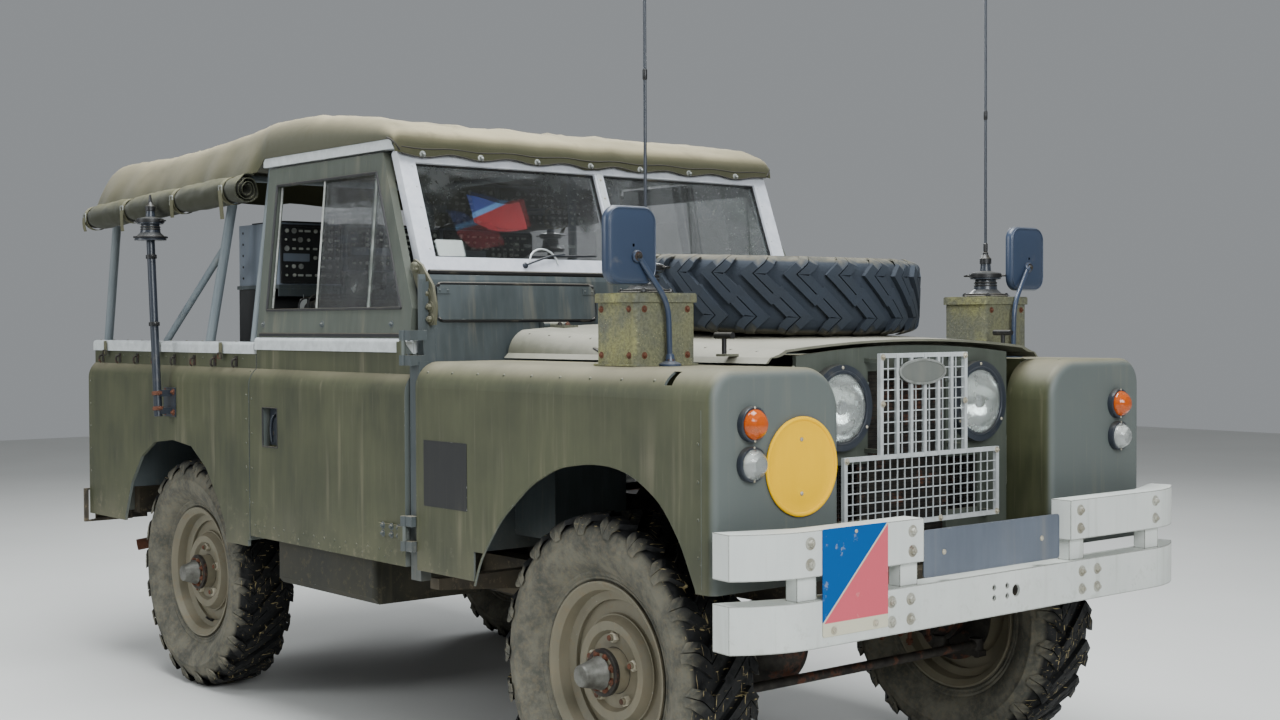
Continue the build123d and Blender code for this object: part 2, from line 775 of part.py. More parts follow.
def wing():
    """Left wing: outer skin with rolled shoulder, nose ahead of the front panel, arch and inner wall."""
    radius = shoulder_radius
    x0, x1, x2 = wing_rear_x, panel_x, wing_front_x

    def shell_face(x, grow, inner_y, foot_z):
        out = body_half - grow
        top = wing_top_z - grow
        turn = radius - grow
        corner = (x, out - turn + turn * cos(radians(45)), top - turn + turn * sin(radians(45)))
        return make_face(Wire([
            Line((x, out, foot_z), (x, out, top - turn)),
            ThreePointArc((x, out, top - turn), corner, (x, out - turn, top)),
            Line((x, out - turn, top), (x, inner_y, top)),
            Line((x, inner_y, top), (x, inner_y, foot_z)),
            Line((x, inner_y, foot_z), (x, out, foot_z)),
        ]))

    def nose_face(x, grow, foot_z):
        out = body_half - grow
        top = wing_top_z - grow
        inner = wing_nose_y + grow
        turn, nose = radius - grow, wing_nose_radius - grow
        half_turn = cos(radians(45))
        corner = (x, out - turn + turn * half_turn, top - turn + turn * half_turn)
        inside = (x, inner + nose - nose * half_turn, top - nose + nose * half_turn)
        return make_face(Wire([
            Line((x, out, foot_z), (x, out, top - turn)),
            ThreePointArc((x, out, top - turn), corner, (x, out - turn, top)),
            Line((x, out - turn, top), (x, inner + nose, top)),
            ThreePointArc((x, inner + nose, top), inside, (x, inner, top - nose)),
            Line((x, inner, top - nose), (x, inner, foot_z)),
            Line((x, inner, foot_z), (x, out, foot_z)),
        ]))

    rear = extrude(shell_face(x0, 0, wing_inner_y, sill_z), amount=x1 - x0 + 1, dir=(1, 0, 0))
    rear_hollow = extrude(
        shell_face(x0 - 1, sheet, wing_inner_y + sheet, sill_z - 1), amount=x1 - x0 + 3,
        dir=(1, 0, 0),
    )
    nose = extrude(nose_face(x1, 0, wing_foot_z), amount=x2 - x1, dir=(1, 0, 0))
    front_edges = nose.edges().filter_by_position(Axis.X, x2 - 0.1, x2 + 0.1)
    nose = fillet([e for e in front_edges if e.center().Z > wing_foot_z + 1], 24)
    nose_hollow = extrude(
        nose_face(x1 - 1, sheet, wing_foot_z - 1), amount=x2 - x1 + 1 - sheet, dir=(1, 0, 0)
    )
    inner_edges = nose_hollow.edges().filter_by_position(Axis.X, x2 - sheet - 0.1, x2 - sheet + 0.1)
    nose_hollow = fillet([e for e in inner_edges if e.center().Z > wing_foot_z], 18)
    shape = (rear - rear_hollow) + (nose - nose_hollow)
    # wheel arch through the side: x ahead of the axle, z
    arch_points = [
        (-426, 560), (-426, 573), (-397, 632), (-307, 743), (-177, 842), (-62, 893),
        (60, 910), (150, 908), (230, 887), (318, 836), (386, 752), (435, 653), (435, 560),
    ]
    cut = along_y(
        [(front_axle_x + x, z) for x, z in arch_points], body_half - shoulder_radius, body_half + 1
    )
    shape -= cut
    shape -= block(front_axle_x - 426, front_axle_x + 436, wing_inner_y - 100, body_half + 1, 560, 650)
    # inner wall stops above the axle so that the wheel can steer
    shape -= block(
        x0 - 1, x1 + 1, wing_inner_y - 1, wing_inner_y + sheet + 1, 560, wing_top_z - 210
    )
    shape -= block(
        x1 - 20, x1 + 6, wing_inner_y - 1, body_half - sheet - 2, 560, wing_top_z - sheet - 1
    )
    return shape


def radiator_panel():
    """Front panel between the wings, arched to the bonnet, with lamp and radiator openings."""
    x0, x1 = panel_x - 12, panel_x
    half = wing_nose_y - seat_gap
    top = bonnet_front_shoulder_z - 16
    crown = bonnet_front_crown_z - 16
    outline = Wire([
        Line((x0, -half, 640), (x0, half, 640)),
        Line((x0, half, 640), (x0, half, top)),
        ThreePointArc((x0, half, top), (x0, 0, crown), (x0, -half, top)),
        Line((x0, -half, top), (x0, -half, 640)),
    ])
    shape = extrude(make_face(outline), amount=x1 - x0, dir=(1, 0, 0))
    shape -= block(x0 - 1, x1 + 1, -150, 150, 700, 1120)
    shape -= both_sides(block(x0 - 1, x1 + 1, 149, 280, 750, 890))
    for side in (-1, 1):
        shape -= rod((x0 - 1, side * lamp_y, lamp_z), (x1 + 1, side * lamp_y, lamp_z), 88)
    # feet down to the rails
    shape += both_sides(block(x0, x1, rail_y_in + 5, rail_y_out - 5, 632 + seat_gap, 641))
    # stays that carry the grille
    for y, z in ((158, grille_mid_z + 20), (158, grille_mid_z + 245), (288, grille_low_z + 6)):
        shape += both_sides(block(x1 - 1, grille_x - seat_gap, y - 5, y + 5, z - 5, z + 5))
    return shape


def grille():
    """Wire grille of an upper and a lower frame with vertical bars and a woven mesh."""
    x0 = grille_x
    x1 = grille_x + grille_frame
    f = grille_frame

    def frame(half, low, high):
        return block(x0, x1, -half, half, low, high) - block(
            x0 - 1, x1 + 1, -half + f, half - f, low + f, high - f
        )

    shape = frame(grille_half_top, grille_mid_z, grille_top_z)
    shape += frame(grille_half_low, grille_low_z, grille_mid_z + f)
    bars = 5
    span = 2 * grille_half_top - 2 * f
    for index in range(1, bars + 1):
        y = -grille_half_top + f + span * index / (bars + 1)
        shape += block(
            x1 - 4, x1 + 2, y - grille_bar / 2, y + grille_bar / 2, grille_mid_z + 2, grille_top_z - 2
        )
    layers = []
    areas = (
        (grille_half_top, grille_mid_z + f, grille_top_z - f),
        (grille_half_low, grille_low_z + f, grille_mid_z),
    )
    for half, low, high in areas:
        count_y = round((2 * half - 2 * f) / mesh_pitch)
        count_z = round((high - low) / mesh_pitch)
        for index in range(1, count_y):
            y = -half + f + (2 * half - 2 * f) * index / count_y
            layers.append(block(
                x0 + 1, x0 + 1 + mesh_wire, y - mesh_wire / 2, y + mesh_wire / 2, low - 1, high + 1
            ))
        for index in range(1, count_z):
            z = low + (high - low) * index / count_z
            layers.append(block(
                x0 + 1.3 + mesh_wire, x0 + 1.3 + 2 * mesh_wire, -half + f - 1, half - f + 1,
                z - mesh_wire / 2, z + mesh_wire / 2,
            ))
    return shape.fuse(*layers)


def headlamps():
    """Headlamp bowls with rims."""
    shapes = []
    for side in (-1, 1):
        y = side * lamp_y
        rim_ring = pipe(
            (panel_x + seat_gap, y, lamp_z), (panel_x + 24, y, lamp_z), lamp_rim_radius, 84
        )
        bowl = revolve(
            make_face(Polyline(
                (0, 0, -70), (50, 0, -58), (80, 0, -20), (80, 0, 12), (86, 0, 12), (86, 0, -24),
                (56, 0, -64), (0, 0, -78), close=True,
            )),
            axis=Axis.Z,
        )
        bowl = Pos(panel_x, y, lamp_z) * (Rot(0, 90, 0) * bowl)
        shapes.append(rim_ring + bowl)
    return group(*shapes)


def headlamp_lenses():
    """Domed glass of each headlamp."""
    shapes = []
    rim_r = 84 - seat_gap
    points = [
        (0, 0), (rim_r, 0), (rim_r, 8), (70, 14), (52, 19.6), (30, 24.6), (12, 26.7), (0, 27),
    ]
    lens = revolve(make_face(Polyline(*[(r, 0, h) for r, h in points], close=True)), axis=Axis.Z)
    for side in (-1, 1):
        place = Pos(panel_x + 12 + seat_gap, side * lamp_y, lamp_z)
        shapes.append(place * (Rot(0, 90, 0) * lens))
    return group(*shapes)


def small_lamp(x, y, z, radius, direction=1):
    """Ribbed glass dome on a rubber base, facing along +X or -X."""
    steps = [(radius, 4), (radius * 0.96, 8), (radius * 0.8, 16), (radius * 0.55, 24), (radius * 0.2, 28)]
    points = [(0, 0, 0), (radius, 0, 0)] + [(r, 0, h) for r, h in steps] + [(0, 0, 29)]
    lens = revolve(make_face(Polyline(*points, close=True)), axis=Axis.Z)
    return Pos(x, y, z) * (Rot(0, 90 * direction, 0) * lens)


lamp_base_x = wing_front_x + seat_gap
indicator_y, indicator_z = 696.0, 1017.0
side_lamp_y, side_lamp_z = 698.0, 928.0
lamp_base_radius = 40.0
lamp_base_depth = 14.0


def lamp_bases():
    shapes = []
    for side in (-1, 1):
        for y, z in ((indicator_y, indicator_z), (side_lamp_y, side_lamp_z)):
            base = rod(
                (lamp_base_x, side * y, z), (lamp_base_x + lamp_base_depth, side * y, z),
                lamp_base_radius,
            )
            shapes.append(base)
        for z in (700, 790, 880):
            x = tub_rear_x - seat_gap
            shapes.append(rod((x, side * 720, z), (x - lamp_base_depth, side * 720, z), 38))
    return group(*shapes)


def lamp_lenses(which):
    shapes = []
    x = lamp_base_x + lamp_base_depth + seat_gap
    rear_x = tub_rear_x - lamp_base_depth - 2 * seat_gap
    for side in (-1, 1):
        if which == "amber":
            shapes.append(small_lamp(x, side * indicator_y, indicator_z, 34))
            shapes.append(small_lamp(rear_x, side * 720, 880, 32, -1))
        elif which == "clear":
            shapes.append(small_lamp(x, side * side_lamp_y, side_lamp_z, 34))
        else:
            shapes.append(small_lamp(rear_x, side * 720, 700, 32, -1))
            shapes.append(small_lamp(rear_x, side * 720, 790, 32, -1))
    return group(*shapes)


def yellow_disc():
    """Round plate with a rolled rim on the right wing."""
    y, z = -537.0, 914.0
    x = wing_front_x + seat_gap
    plate = rod((x, y, z), (x + 3, y, z), 112)
    rolled = Pos(x + 6, y, z) * (Rot(0, 90, 0) * Torus(109, 5.5))
    return plate + rolled


def number_plate():
    """Blank plate across the gap between the bumpers."""
    x = bumper_face_x - 9
    plate = block(x, x + 3, -278, 242, 647, 759)
    for y in (-200, 160):
        plate += block(x - 24, x, y - 15, y + 15, bumper_low_z + bumper_height + seat_gap, 700)
    return plate


def formation_sign():
    """Two-colour plate hung on the right-hand half of the bumpers."""
    x = bumper_face_x + seat_gap
    return block(x, x + 3, -622, -410, 552, 790)


# Bonnet


def bonnet_section(x, shoulder_z, crown_z, grow):
    """Bonnet cross-section at x: crowned top, rounded shoulders, sloping sides."""
    edge_y = bonnet_edge_y - grow
    side_y = bonnet_shoulder_y - grow
    top = shoulder_z - grow
    foot = bonnet_edge_z if grow == 0 else bonnet_edge_z - 1
    hip = 14.0
    wire = Wire([
        Line((x, -edge_y, foot), (x, edge_y, foot)),
        Line((x, edge_y, foot), (x, edge_y - hip, foot + 14)),
        ThreePointArc((x, edge_y - hip, foot + 14), (x, side_y + 14, top - 7), (x, side_y, top)),
        ThreePointArc((x, side_y, top), (x, 0, crown_z - grow), (x, -side_y, top)),
        ThreePointArc(
            (x, -side_y, top), (x, -side_y - 14, top - 7), (x, -edge_y + hip, foot + 14)
        ),
        Line((x, -edge_y + hip, foot + 14), (x, -edge_y, foot)),
    ])
    return make_face(wire)


def bonnet():
    """Crowned bonnet skin with a spare wheel mount."""
    x0, x1 = bonnet_rear_x, bonnet_front_x
    outer = loft([
        bonnet_section(x0, bonnet_rear_shoulder_z, bonnet_rear_crown_z, 0),
        bonnet_section(x1, bonnet_front_shoulder_z, bonnet_front_crown_z, 0),
    ], ruled=True)
    inner = loft([
        bonnet_section(x0 - 1, bonnet_rear_shoulder_z, bonnet_rear_crown_z, sheet),
        bonnet_section(x1 + 1, bonnet_front_shoulder_z, bonnet_front_crown_z, sheet),
    ], ruled=True)
    skin = outer - inner
    seat = spare_seat_z() - seat_gap
    height = seat - bonnet_front_crown_z - 12
    mount = Cylinder(70, height)
    skin += Pos(spare_x, 0, seat - height / 2) * (Rot(0, spare_tilt, 0) * mount)
    # hinge straps and barrels at the rear edge
    x, z = bonnet_hinge_x, bonnet_hinge_z
    for side in (-1, 1):
        y = side * bonnet_hinge_y
        skin += block(x, x + 76, y - 25, y + 25, z - 12, z)
        skin += rod((x, y - 25, z), (x, y + 25, z), 9)
        skin -= rod((x, y - 60, z), (x, y + 60, z), 5 + shaft_clearance)
        skin += block(catch_x - 16, catch_x + 16, side * 500, side * 545, catch_z - 6, catch_z)
    return skin


def spare_seat_z():
    """Height of the spare wheel's disc face at its centre."""
    return spare_centre_z - rim_width / 2 + 36


def place_spare(shape):
    """Lays a wheel made about Y on its outer side, tilted with the bonnet."""
    upright = Rot(0, spare_tilt, 0) * (Rot(-90, 0, 0) * shape)
    return Pos(spare_x, 0, spare_centre_z) * upright


def bonnet_catches():
    """T handles on the brackets that hold the bonnet down at each side."""
    shapes = []
    x, grip_z = catch_x, catch_z + 44
    for side in (-1, 1):
        y = side * 533
        pin = rod((x, y, catch_z + seat_gap), (x, y, grip_z), 6)
        shapes.append(pin + rod((x - 30, y, grip_z), (x + 30, y, grip_z), 8))
    return group(*shapes)


# Bulkhead, windscreen and dash


def bonnet_hinge_rod(y0, y1, radius):
    """Round rod on the bonnet's hinge line, between two widths."""
    return rod((bonnet_hinge_x, y0, bonnet_hinge_z), (bonnet_hinge_x, y1, bonnet_hinge_z), radius)


def bulkhead():
    """Scuttle box, footwell boxes, door posts and hinge leaves."""
    x = bulkhead_x
    top = bulkhead_top_z
    outer = [
        (x, 600), (x, 1135), (x - 22, top - 14), (x - 26, top), (x - 140, top),
        (x - 175, top - 60), (x - 175, top - 170), (x - 169, top - 170), (x - 169, top - 62),
        (x - 138, top - 8), (x - 34, top - 8), (x - 12, 1137), (x - 12, 600),
    ]
    shape = along_y(outer, -dash_half, dash_half)
    front_only = block(post_rear_x, x + 1, -bulkhead_half, bulkhead_half, 600, top)
    shape += along_y(outer, -bulkhead_half, bulkhead_half) & front_only
    for side in (-1, 1):
        y_end = side * dash_half
        shape += along_y(
            [
                (x, 1140), (x - 22, top - 14), (x - 26, top), (x - 140, top), (x - 175, top - 60),
                (x - 175, top - 170), (x - 10, 1140),
            ],
            y_end - side * 8, y_end,
        )
        # footwell box that reaches forward under the wing
        y0, y1 = side * 215, side * 470
        well = block(x - 1, x + 190, y0, y1, 640, 1060)
        well -= block(x - 20, x + 184, y0 + side * 6, y1 - side * 6, 646, 1054)
        shape += well
        shape -= block(x - 20, x + 1, y0 + side * 6, y1 - side * 6, 646, 1054)
    # opening for the gearbox
    shape -= block(x - 20, x + 1, -190, 190, 599, 850)
    # door posts
    post = block(
        post_rear_x, wing_rear_x - seat_gap, bulkhead_half - post_lap, body_half - 12, 540 + seat_gap,
        wing_top_z,
    )
    post += block(post_rear_x, bulkhead_x - 8, dash_half - 1, bulkhead_half, wing_top_z - 1, 1360)
    shape += both_sides(post)
    # vent openings in the front face
    for side in (-1, 1):
        shape -= block(
            x - 40, x + 5, side * (vent_inner_y + vent_lap), side * (vent_outer_y - vent_lap), 1270, 1340
        )
    # hinge leaves: barrels above and below each door barrel, on a pin
    for z in hinge_heights:
        for side in (-1, 1):
            y = side * hinge_y
            leaf = rod((hinge_x, y, z - 48), (hinge_x, y, z - 20 - seat_gap), 9)
            leaf += rod((hinge_x, y, z + 20 + seat_gap), (hinge_x, y, z + 48), 9)
            leaf += rod((hinge_x, y, z - 30), (hinge_x, y, z + 30), 5)
            plate_in = side * (body_half - 12 if z < wing_top_z else bulkhead_half)
            leaf += block(hinge_x, hinge_x + 40, plate_in, y, z - 48, z - 20 - seat_gap)
            leaf += block(hinge_x, hinge_x + 40, plate_in, y, z + 20 + seat_gap, z + 48)
            shape += leaf
    # hinge brackets for the bonnet
    for side in (-1, 1):
        y = side * bonnet_hinge_y
        for offset in (-1, 1):
            y0 = y + offset * (25 + seat_gap)
            y1 = y + offset * 45
            ear = block(x - 18, bonnet_hinge_x, y0, y1, bonnet_hinge_z - 9, bonnet_hinge_z + 9)
            shape += ear + bonnet_hinge_rod(y0, y1, 9)
        shape += bonnet_hinge_rod(y - 30, y + 30, 5)
    return shape


def cab_floor():
    """Floor of the cab behind the bulkhead, with the tunnel over the gearbox."""
    x0, x1 = bulkhead_x - 470, bulkhead_x - bulkhead_wall - seat_gap
    low, high = cab_floor_z, cab_floor_z + cab_floor_sheet
    half = bulkhead_half - post_lap - seat_gap
    shape = block(x0, x1, -half, half, low, high)
    shape -= block(x0 - 1, x1 + 1, -tunnel_half, tunnel_half, low - 10, tunnel_top_z)
    shape += block(x0, x1, -tunnel_half - cab_floor_sheet, tunnel_half + cab_floor_sheet,
                   tunnel_top_z - cab_floor_sheet, tunnel_top_z)
    shape += both_sides(
        block(x0, x1, tunnel_half, tunnel_half + cab_floor_sheet, low, tunnel_top_z)
    )
    # cut short at the sides, where the doors' sills are
    shape -= both_sides(block(x0 - 1, bulkhead_x - 25, 700, 800, low - 10, high + 10))
    return shape


hinge_x = post_rear_x + 5.0
hinge_y = body_half + 15.0
hinge_heights = (670.0, 1178.0)


def vent_flaps():
    """Ventilator flaps over the openings, parallel with the sloping face of the bulkhead."""
    slope = 22.0 / (bulkhead_top_z - 14 - 1135)
    low, high = 1255.0, 1352.0
    low_x = bulkhead_x - slope * (low - 1135) + seat_gap
    high_x = bulkhead_x - slope * (high - 1135) + seat_gap
    flap = along_y(
        [(low_x, low), (low_x + 6, low), (high_x + 6, high), (high_x, high)],
        vent_inner_y, vent_outer_y,
    )
    return group(flap, mirror(flap, about=Plane.XZ))


def screen_place(shape):
    """Moves a shape made in an upright YZ frame with its foot at z = 0 to the raked windscreen."""
    return Pos(screen_foot_x, 0, screen_foot_z) * (Rot(0, -screen_rake, 0) * shape)


def windscreen_frame():
    """Raked frame with a centre post, on two end brackets."""
    depth, half, member = screen_frame_depth, screen_half, screen_member
    frame = block(-depth, 0, -half, half, 0, screen_height)
    frame = fillet(frame.edges().filter_by(Axis.X), 16)
    for side in (-1, 1):
        inner = side * screen_post / 2
        outer = side * (half - member)
        frame -= block(-depth - 1, 1, inner, outer, member - 8, screen_height - member + 6)
    shape = screen_place(frame)
    for side in (-1, 1):
        y0, y1 = side * (screen_half - 62), side * (screen_half - 4)
        shape += block(
            screen_foot_x - 40, screen_foot_x - 6, y0, y1, bulkhead_top_z + seat_gap,
            screen_foot_z + 14,
        )
    shape -= block(
        screen_foot_x - 200, screen_foot_x + 100, -900, 900, bulkhead_top_z - 60,
        bulkhead_top_z + seat_gap,
    )
    return shape


def windscreen_glass():
    panes = []
    gap = seat_gap
    for side in (-1, 1):
        y0 = side * (screen_post / 2 + gap)
        y1 = side * (screen_half - screen_member - gap)
        pane = block(
            -screen_frame_depth / 2 - glass_thickness / 2, -screen_frame_depth / 2 + glass_thickness / 2,
            y0, y1, screen_member - 8 + gap, screen_height - screen_member + 6 - gap,
        )
        panes.append(screen_place(pane))
    return group(*panes)


def dashboard():
    """Instrument panel in the middle of the dash, and the steering column tube."""
    x = bulkhead_x - 175 - seat_gap
    panel = block(x - 18, x, -150, 150, 1215, 1320)
    return fillet(panel.edges().filter_by(Axis.X), 12)


wheel_hub_point = (front_axle_x - 1110, -395.0, 1225.0)
column_foot = (bulkhead_x + 200, -395.0, 780.0)
steering_wheel_radius = 215.0


def column_direction():
    start, end = Vector(*column_foot), Vector(*wheel_hub_point)
    return (end - start).normalized()


def steering_column():
    """Fixed column tube from the bulkhead to the steering wheel."""
    start = Vector(*column_foot)
    end = Vector(*wheel_hub_point) - column_direction() * 20
    shape = rod(tuple(start), tuple(end), 24)
    shape -= rod(
        tuple(start + column_direction() * 60), tuple(end + column_direction()), 12 + shaft_clearance
    )
    cut = block(bulkhead_x + 184 - seat_gap, bulkhead_x + 300, -500, -300, 600, 1000)
    return shape - cut


def steering_wheel():
    """Three-spoke wheel on its shaft, made about Z and laid on the column."""
    ring = Pos(0, 0, 14) * Torus(steering_wheel_radius, 12)
    shape = rod((0, 0, -19), (0, 0, 22), 34) + rod((0, 0, -90), (0, 0, 0), 12)
    for angle in (75, 195, 315):
        shape += Rot(0, 0, angle) * block(0, steering_wheel_radius, -8, 8, 9, 17)
    plane = Plane(origin=wheel_hub_point, z_dir=column_direction())
    return plane.location * (shape + ring)


def control_levers():
    """Gear levers and handbrake standing on the tunnel."""
    x = bulkhead_x - 250
    base = 761 + seat_gap
    shapes = []
    # lever foot x offset, y, height, lean
    for dx, y, height, lean in ((0, 0, 300, -60), (-70, -60, 230, -20), (20, -110, 180, -10)):
        foot = (x + dx, y, base)
        tip = (x + dx + lean, y, base + height)
        low = (foot[0], foot[1], base + 4)
        shapes.append(rod(foot, (foot[0], foot[1], base + 8), 28) + rod(low, tip, 7) + (
            Pos(*tip) * Sphere(19)
        ))
    return group(*shapes)


# Doors


def door_panel():
    """Left lower door: rolled-shoulder slab with a handle recess and a hinge barrel pair."""
    x0, x1 = door_rear_x, door_front_x
    slab = extrude(body_profile(x0, sill_z + 2), amount=x1 - x0, dir=(1, 0, 0))
    recess_x = front_axle_x - 1585
    slab -= block(recess_x, recess_x + 95, body_half - 26, body_half + 1, 863, 985)
    # capping along the top edge, ahead of it the upper hinge
    capping = block(
        x0 + 1, x1 - 46, strip_y - 26, strip_y + 8, door_top_of_panel_z - 1,
        capping_top_z,
    )
    slab += fillet(capping.edges().filter_by(Axis.X).group_by(Axis.Z)[-1], 12)
    slab += block(x1 - 47, x1, strip_y - 26, strip_y, door_top_of_panel_z - 1, capping_top_z)
    for z, face_y, length in ((hinge_heights[0], body_half, 150), (hinge_heights[1], strip_y, 46)):
        strap = block(hinge_x - length, hinge_x, face_y - 1, face_y + 5, z - 17, z + 17)
        barrel = rod((hinge_x, hinge_y, z - 20), (hinge_x, hinge_y, z + 20), 9)
        knuckle_web = block(hinge_x - 24, hinge_x - 4, face_y + 2, hinge_y + 4, z - 17, z + 17)
        slab += strap + knuckle_web + barrel
        slab -= rod((hinge_x, hinge_y, z - 40), (hinge_x, hinge_y, z + 40), 5 + shaft_clearance)
    return slab


def lean_in(shape):
    """Leans a door top made upright on the strip inwards about its foot."""
    foot = Axis((0, strip_y, capping_top_z), (1, 0, 0))
    return shape.rotate(foot, door_top_lean)


def door_top():
    """Left door top: a frame round sliding panes, leaning inwards."""
    y0, y1 = strip_y - 24, strip_y
    low = capping_top_z + seat_gap
    frame = along_y(
        [
            (door_rear_x + 2, low), (door_rear_x + 10, door_top_z),
            (window_top_front_x + 26, door_top_z), (door_front_x - 11, low + 84),
            (door_front_x - 11, low),
        ],
        y0, y1,
    )
    frame -= along_y(
        [
            (window_rear_x, window_low_z), (window_rear_x + 12, window_high_z),
            (window_top_front_x, window_high_z), (window_low_front_x, window_low_z),
        ],
        y0 - 1, y1 + 1,
    )
    below = block(door_rear_x - 10, door_front_x + 20, y0 - 30, y1 + 30, low - 60, low)
    return lean_in(frame) - below


window_rear_x = door_rear_x + 58.0
window_top_front_x = front_axle_x - 1006.0
window_low_front_x = front_axle_x - 824.0
window_low_z = 1288.0
window_high_z = 1681.0
divider_x = front_axle_x - 1008.0
sliding_pane_rear_x = front_axle_x - 1320.0


def door_glass():
    """Fixed front pane, its divider, and the sliding pane pushed forward so the rear is open."""
    low, high = window_low_z + seat_gap, window_high_z - seat_gap
    y = strip_y - 12
    front = along_y(
        [
            (divider_x, low), (divider_x, high), (window_top_front_x - 1, high),
            (window_low_front_x - 1, low),
        ],
        y + 1, y + 5,
    )
    divider = block(divider_x - 16, divider_x - seat_gap, y + 1, y + 9, low, high)
    sliding = block(sliding_pane_rear_x, divider_x - 4, y - 6, y - 2, low, high)
    return group(lean_in(front), lean_in(divider), lean_in(sliding))


# Rear body


def tub():
    """Sides of the open rear body, with wheel arches, front wall, rear corners and sill."""
    x0, x1 = tub_rear_x, tub_front_x
    wall = tub_wall
    outer = extrude(
        body_profile(x0, tub_sill_z, 0, 1.0, tub_top_z), amount=x1 - x0, dir=(1, 0, 0)
    )
    inner = extrude(
        body_profile(x0 + wall, tub_sill_z - 1, wall, 1.0, tub_top_z + 1), amount=x1 - x0 - 2 * wall,
        dir=(1, 0, 0),
    )
    half = outer - inner
    shape = half + mirror(half, about=Plane.XZ)
    shape += block(x0, x1, -2, 2, tub_sill_z, tub_top_z) & block(x1 - wall, x1, -2, 2, 0, 2000)
    # rear opening for the tailgate
    shape -= block(x0 - 1, x0 + wall + 1, -tailgate_half - 5, tailgate_half + 5, tub_floor_z + 6, 1200)
    # front wall is cut away below the seat box
    shape -= block(x1 - wall - 1, x1 + 1, -body_half - 1, body_half + 1, 0, 560)
    shape -= both_sides(block(x1 - wall - 1, x1 + 1, rail_y_in - 8, rail_y_out + 8, 0, 646))
    # wheel arches through the sides: x from the rear axle, z
    arch_points = [
        (-415, 500), (-405, 560), (-350, 680), (-260, 780), (-150, 836), (0, 850),
        (140, 836), (250, 770), (330, 680), (385, 600), (400, 500),
    ]
    for side in (-1, 1):
        shape -= along_y(
            [(rear_axle_x + x, z) for x, z in arch_points],
            side * (body_half - wall - 2), side * (body_half + 1),
        )
    # the frame's rear member shows below the rear wall
    shape -= block(x0 - 1, x0 + wall + 1, -641, 641, 0, rail_top_z)
    for leaf in tailgate_pins():
        shape += leaf
    return shape


def load_floor():
    """Floor and wheel boxes between the sides of the rear body, on bearers over the frame."""
    low, high = tub_floor_z, tub_floor_z + floor_sheet
    rear_x = tub_rear_x + tub_wall + seat_gap
    front_x = tub_front_x - tub_wall - seat_gap
    box_front = rear_axle_x + wheel_box_half
    box_rear = rear_axle_x - wheel_box_half
    shape = block(rear_x, front_x, -wheel_box_inner_y, wheel_box_inner_y, low, high)
    for side in (-1, 1):
        inner_y = side * wheel_box_inner_y
        outer_y = side * (body_half - tub_wall - seat_gap)
        top = wheel_box_top_z
        for x0, x1, y0, y1, z0, z1 in (
            (box_front, front_x, inner_y, outer_y, low, high),
            (rear_x, box_rear, inner_y, outer_y, low, high),
            (box_rear, box_front, inner_y, outer_y, top - floor_sheet, top),
            (box_rear, box_front, inner_y, inner_y + side * floor_sheet, low, top),
            (box_rear, box_rear + floor_sheet, inner_y, outer_y, low, top),
            (box_front - floor_sheet, box_front, inner_y, outer_y, low, top),
        ):
            shape += block(x0, x1, y0, y1, z0, z1)
    bearers = [
        block(x - 20, x + 20, -420, 420, rail_top_z + seat_gap, low - seat_gap)
        for x in (rear_axle_x + 280, rear_axle_x - 280)
    ]
    return group(shape, *bearers)


tailgate_half = 640.0
tailgate_x = tub_rear_x - 3.0
tailgate_top_z = 1112.0


def tailgate():
    """Ribbed drop tailgate hinged at its foot."""
    low = tub_floor_z + 22
    x0 = tailgate_x
    plate = block(x0, x0 + 6, -tailgate_half, tailgate_half, low, tailgate_top_z)
    plate = plate + block(x0, x0 + 12, -tailgate_half, tailgate_half, low, low + 12)
    for index in range(7):
        y = -tailgate_half + 2 * tailgate_half * (index + 0.5) / 7
        plate += block(x0 - 9, x0 + 1, y - 32, y + 32, low + 40, tailgate_top_z - 40)
    for y in tailgate_hinges:
        barrel = hinge_rod(y - 30, y + 30, hinge_barrel_radius)
        strap = block(
            tailgate_hinge_x - 3, x0 + 1, y - 28, y + 28, tailgate_hinge_z, tailgate_hinge_z + 60
        )
        plate += strap + barrel
        plate -= hinge_rod(y - 60, y + 60, hinge_pin_radius + shaft_clearance)
    return plate


tailgate_hinge_x = tailgate_x - 12.0
tailgate_hinge_z = tub_floor_z + 6.0
tailgate_hinges = (-430.0, 0.0, 430.0)
hinge_barrel_radius = 9.0
hinge_pin_radius = 5.0


def hinge_rod(y0, y1, radius):
    """Round rod on the tailgate's hinge line, between two widths."""
    return rod(
        (tailgate_hinge_x, y0, tailgate_hinge_z), (tailgate_hinge_x, y1, tailgate_hinge_z), radius
    )


def tailgate_pins():
    """Hinge leaves on the sill of the rear body, with their pins."""
    shapes = []
    low, high = tailgate_hinge_z - 20, tailgate_hinge_z
    for y in tailgate_hinges:
        leaf = hinge_rod(y - 58, y - 30 - seat_gap, hinge_barrel_radius)
        leaf += hinge_rod(y + 30 + seat_gap, y + 58, hinge_barrel_radius)
        leaf += hinge_rod(y - 40, y + 40, hinge_pin_radius)
        for y0, y1 in ((y - 58, y - 31), (y + 31, y + 58)):
            leaf += block(tailgate_hinge_x, tub_rear_x + 1, y0, y1, low, high)
        shapes.append(leaf)
    return shapes


def seat_box():
    """Box across the cab that carries the seats."""
    x0 = tub_front_x + seat_gap
    x1 = bulkhead_x - 470 - seat_gap
    shape = block(x0, x1, -700, 700, 606, 850)
    shape = fillet(shape.edges().filter_by(Axis.X).group_by(Axis.Z)[-1], 12)
    shape -= block(x0 + 8, x1 - 8, -692, 692, 600, 842)
    shape -= both_sides(block(x0 - 1, x1 + 1, rail_y_in - 8, rail_y_out + 8, 600, 646))
    return shape


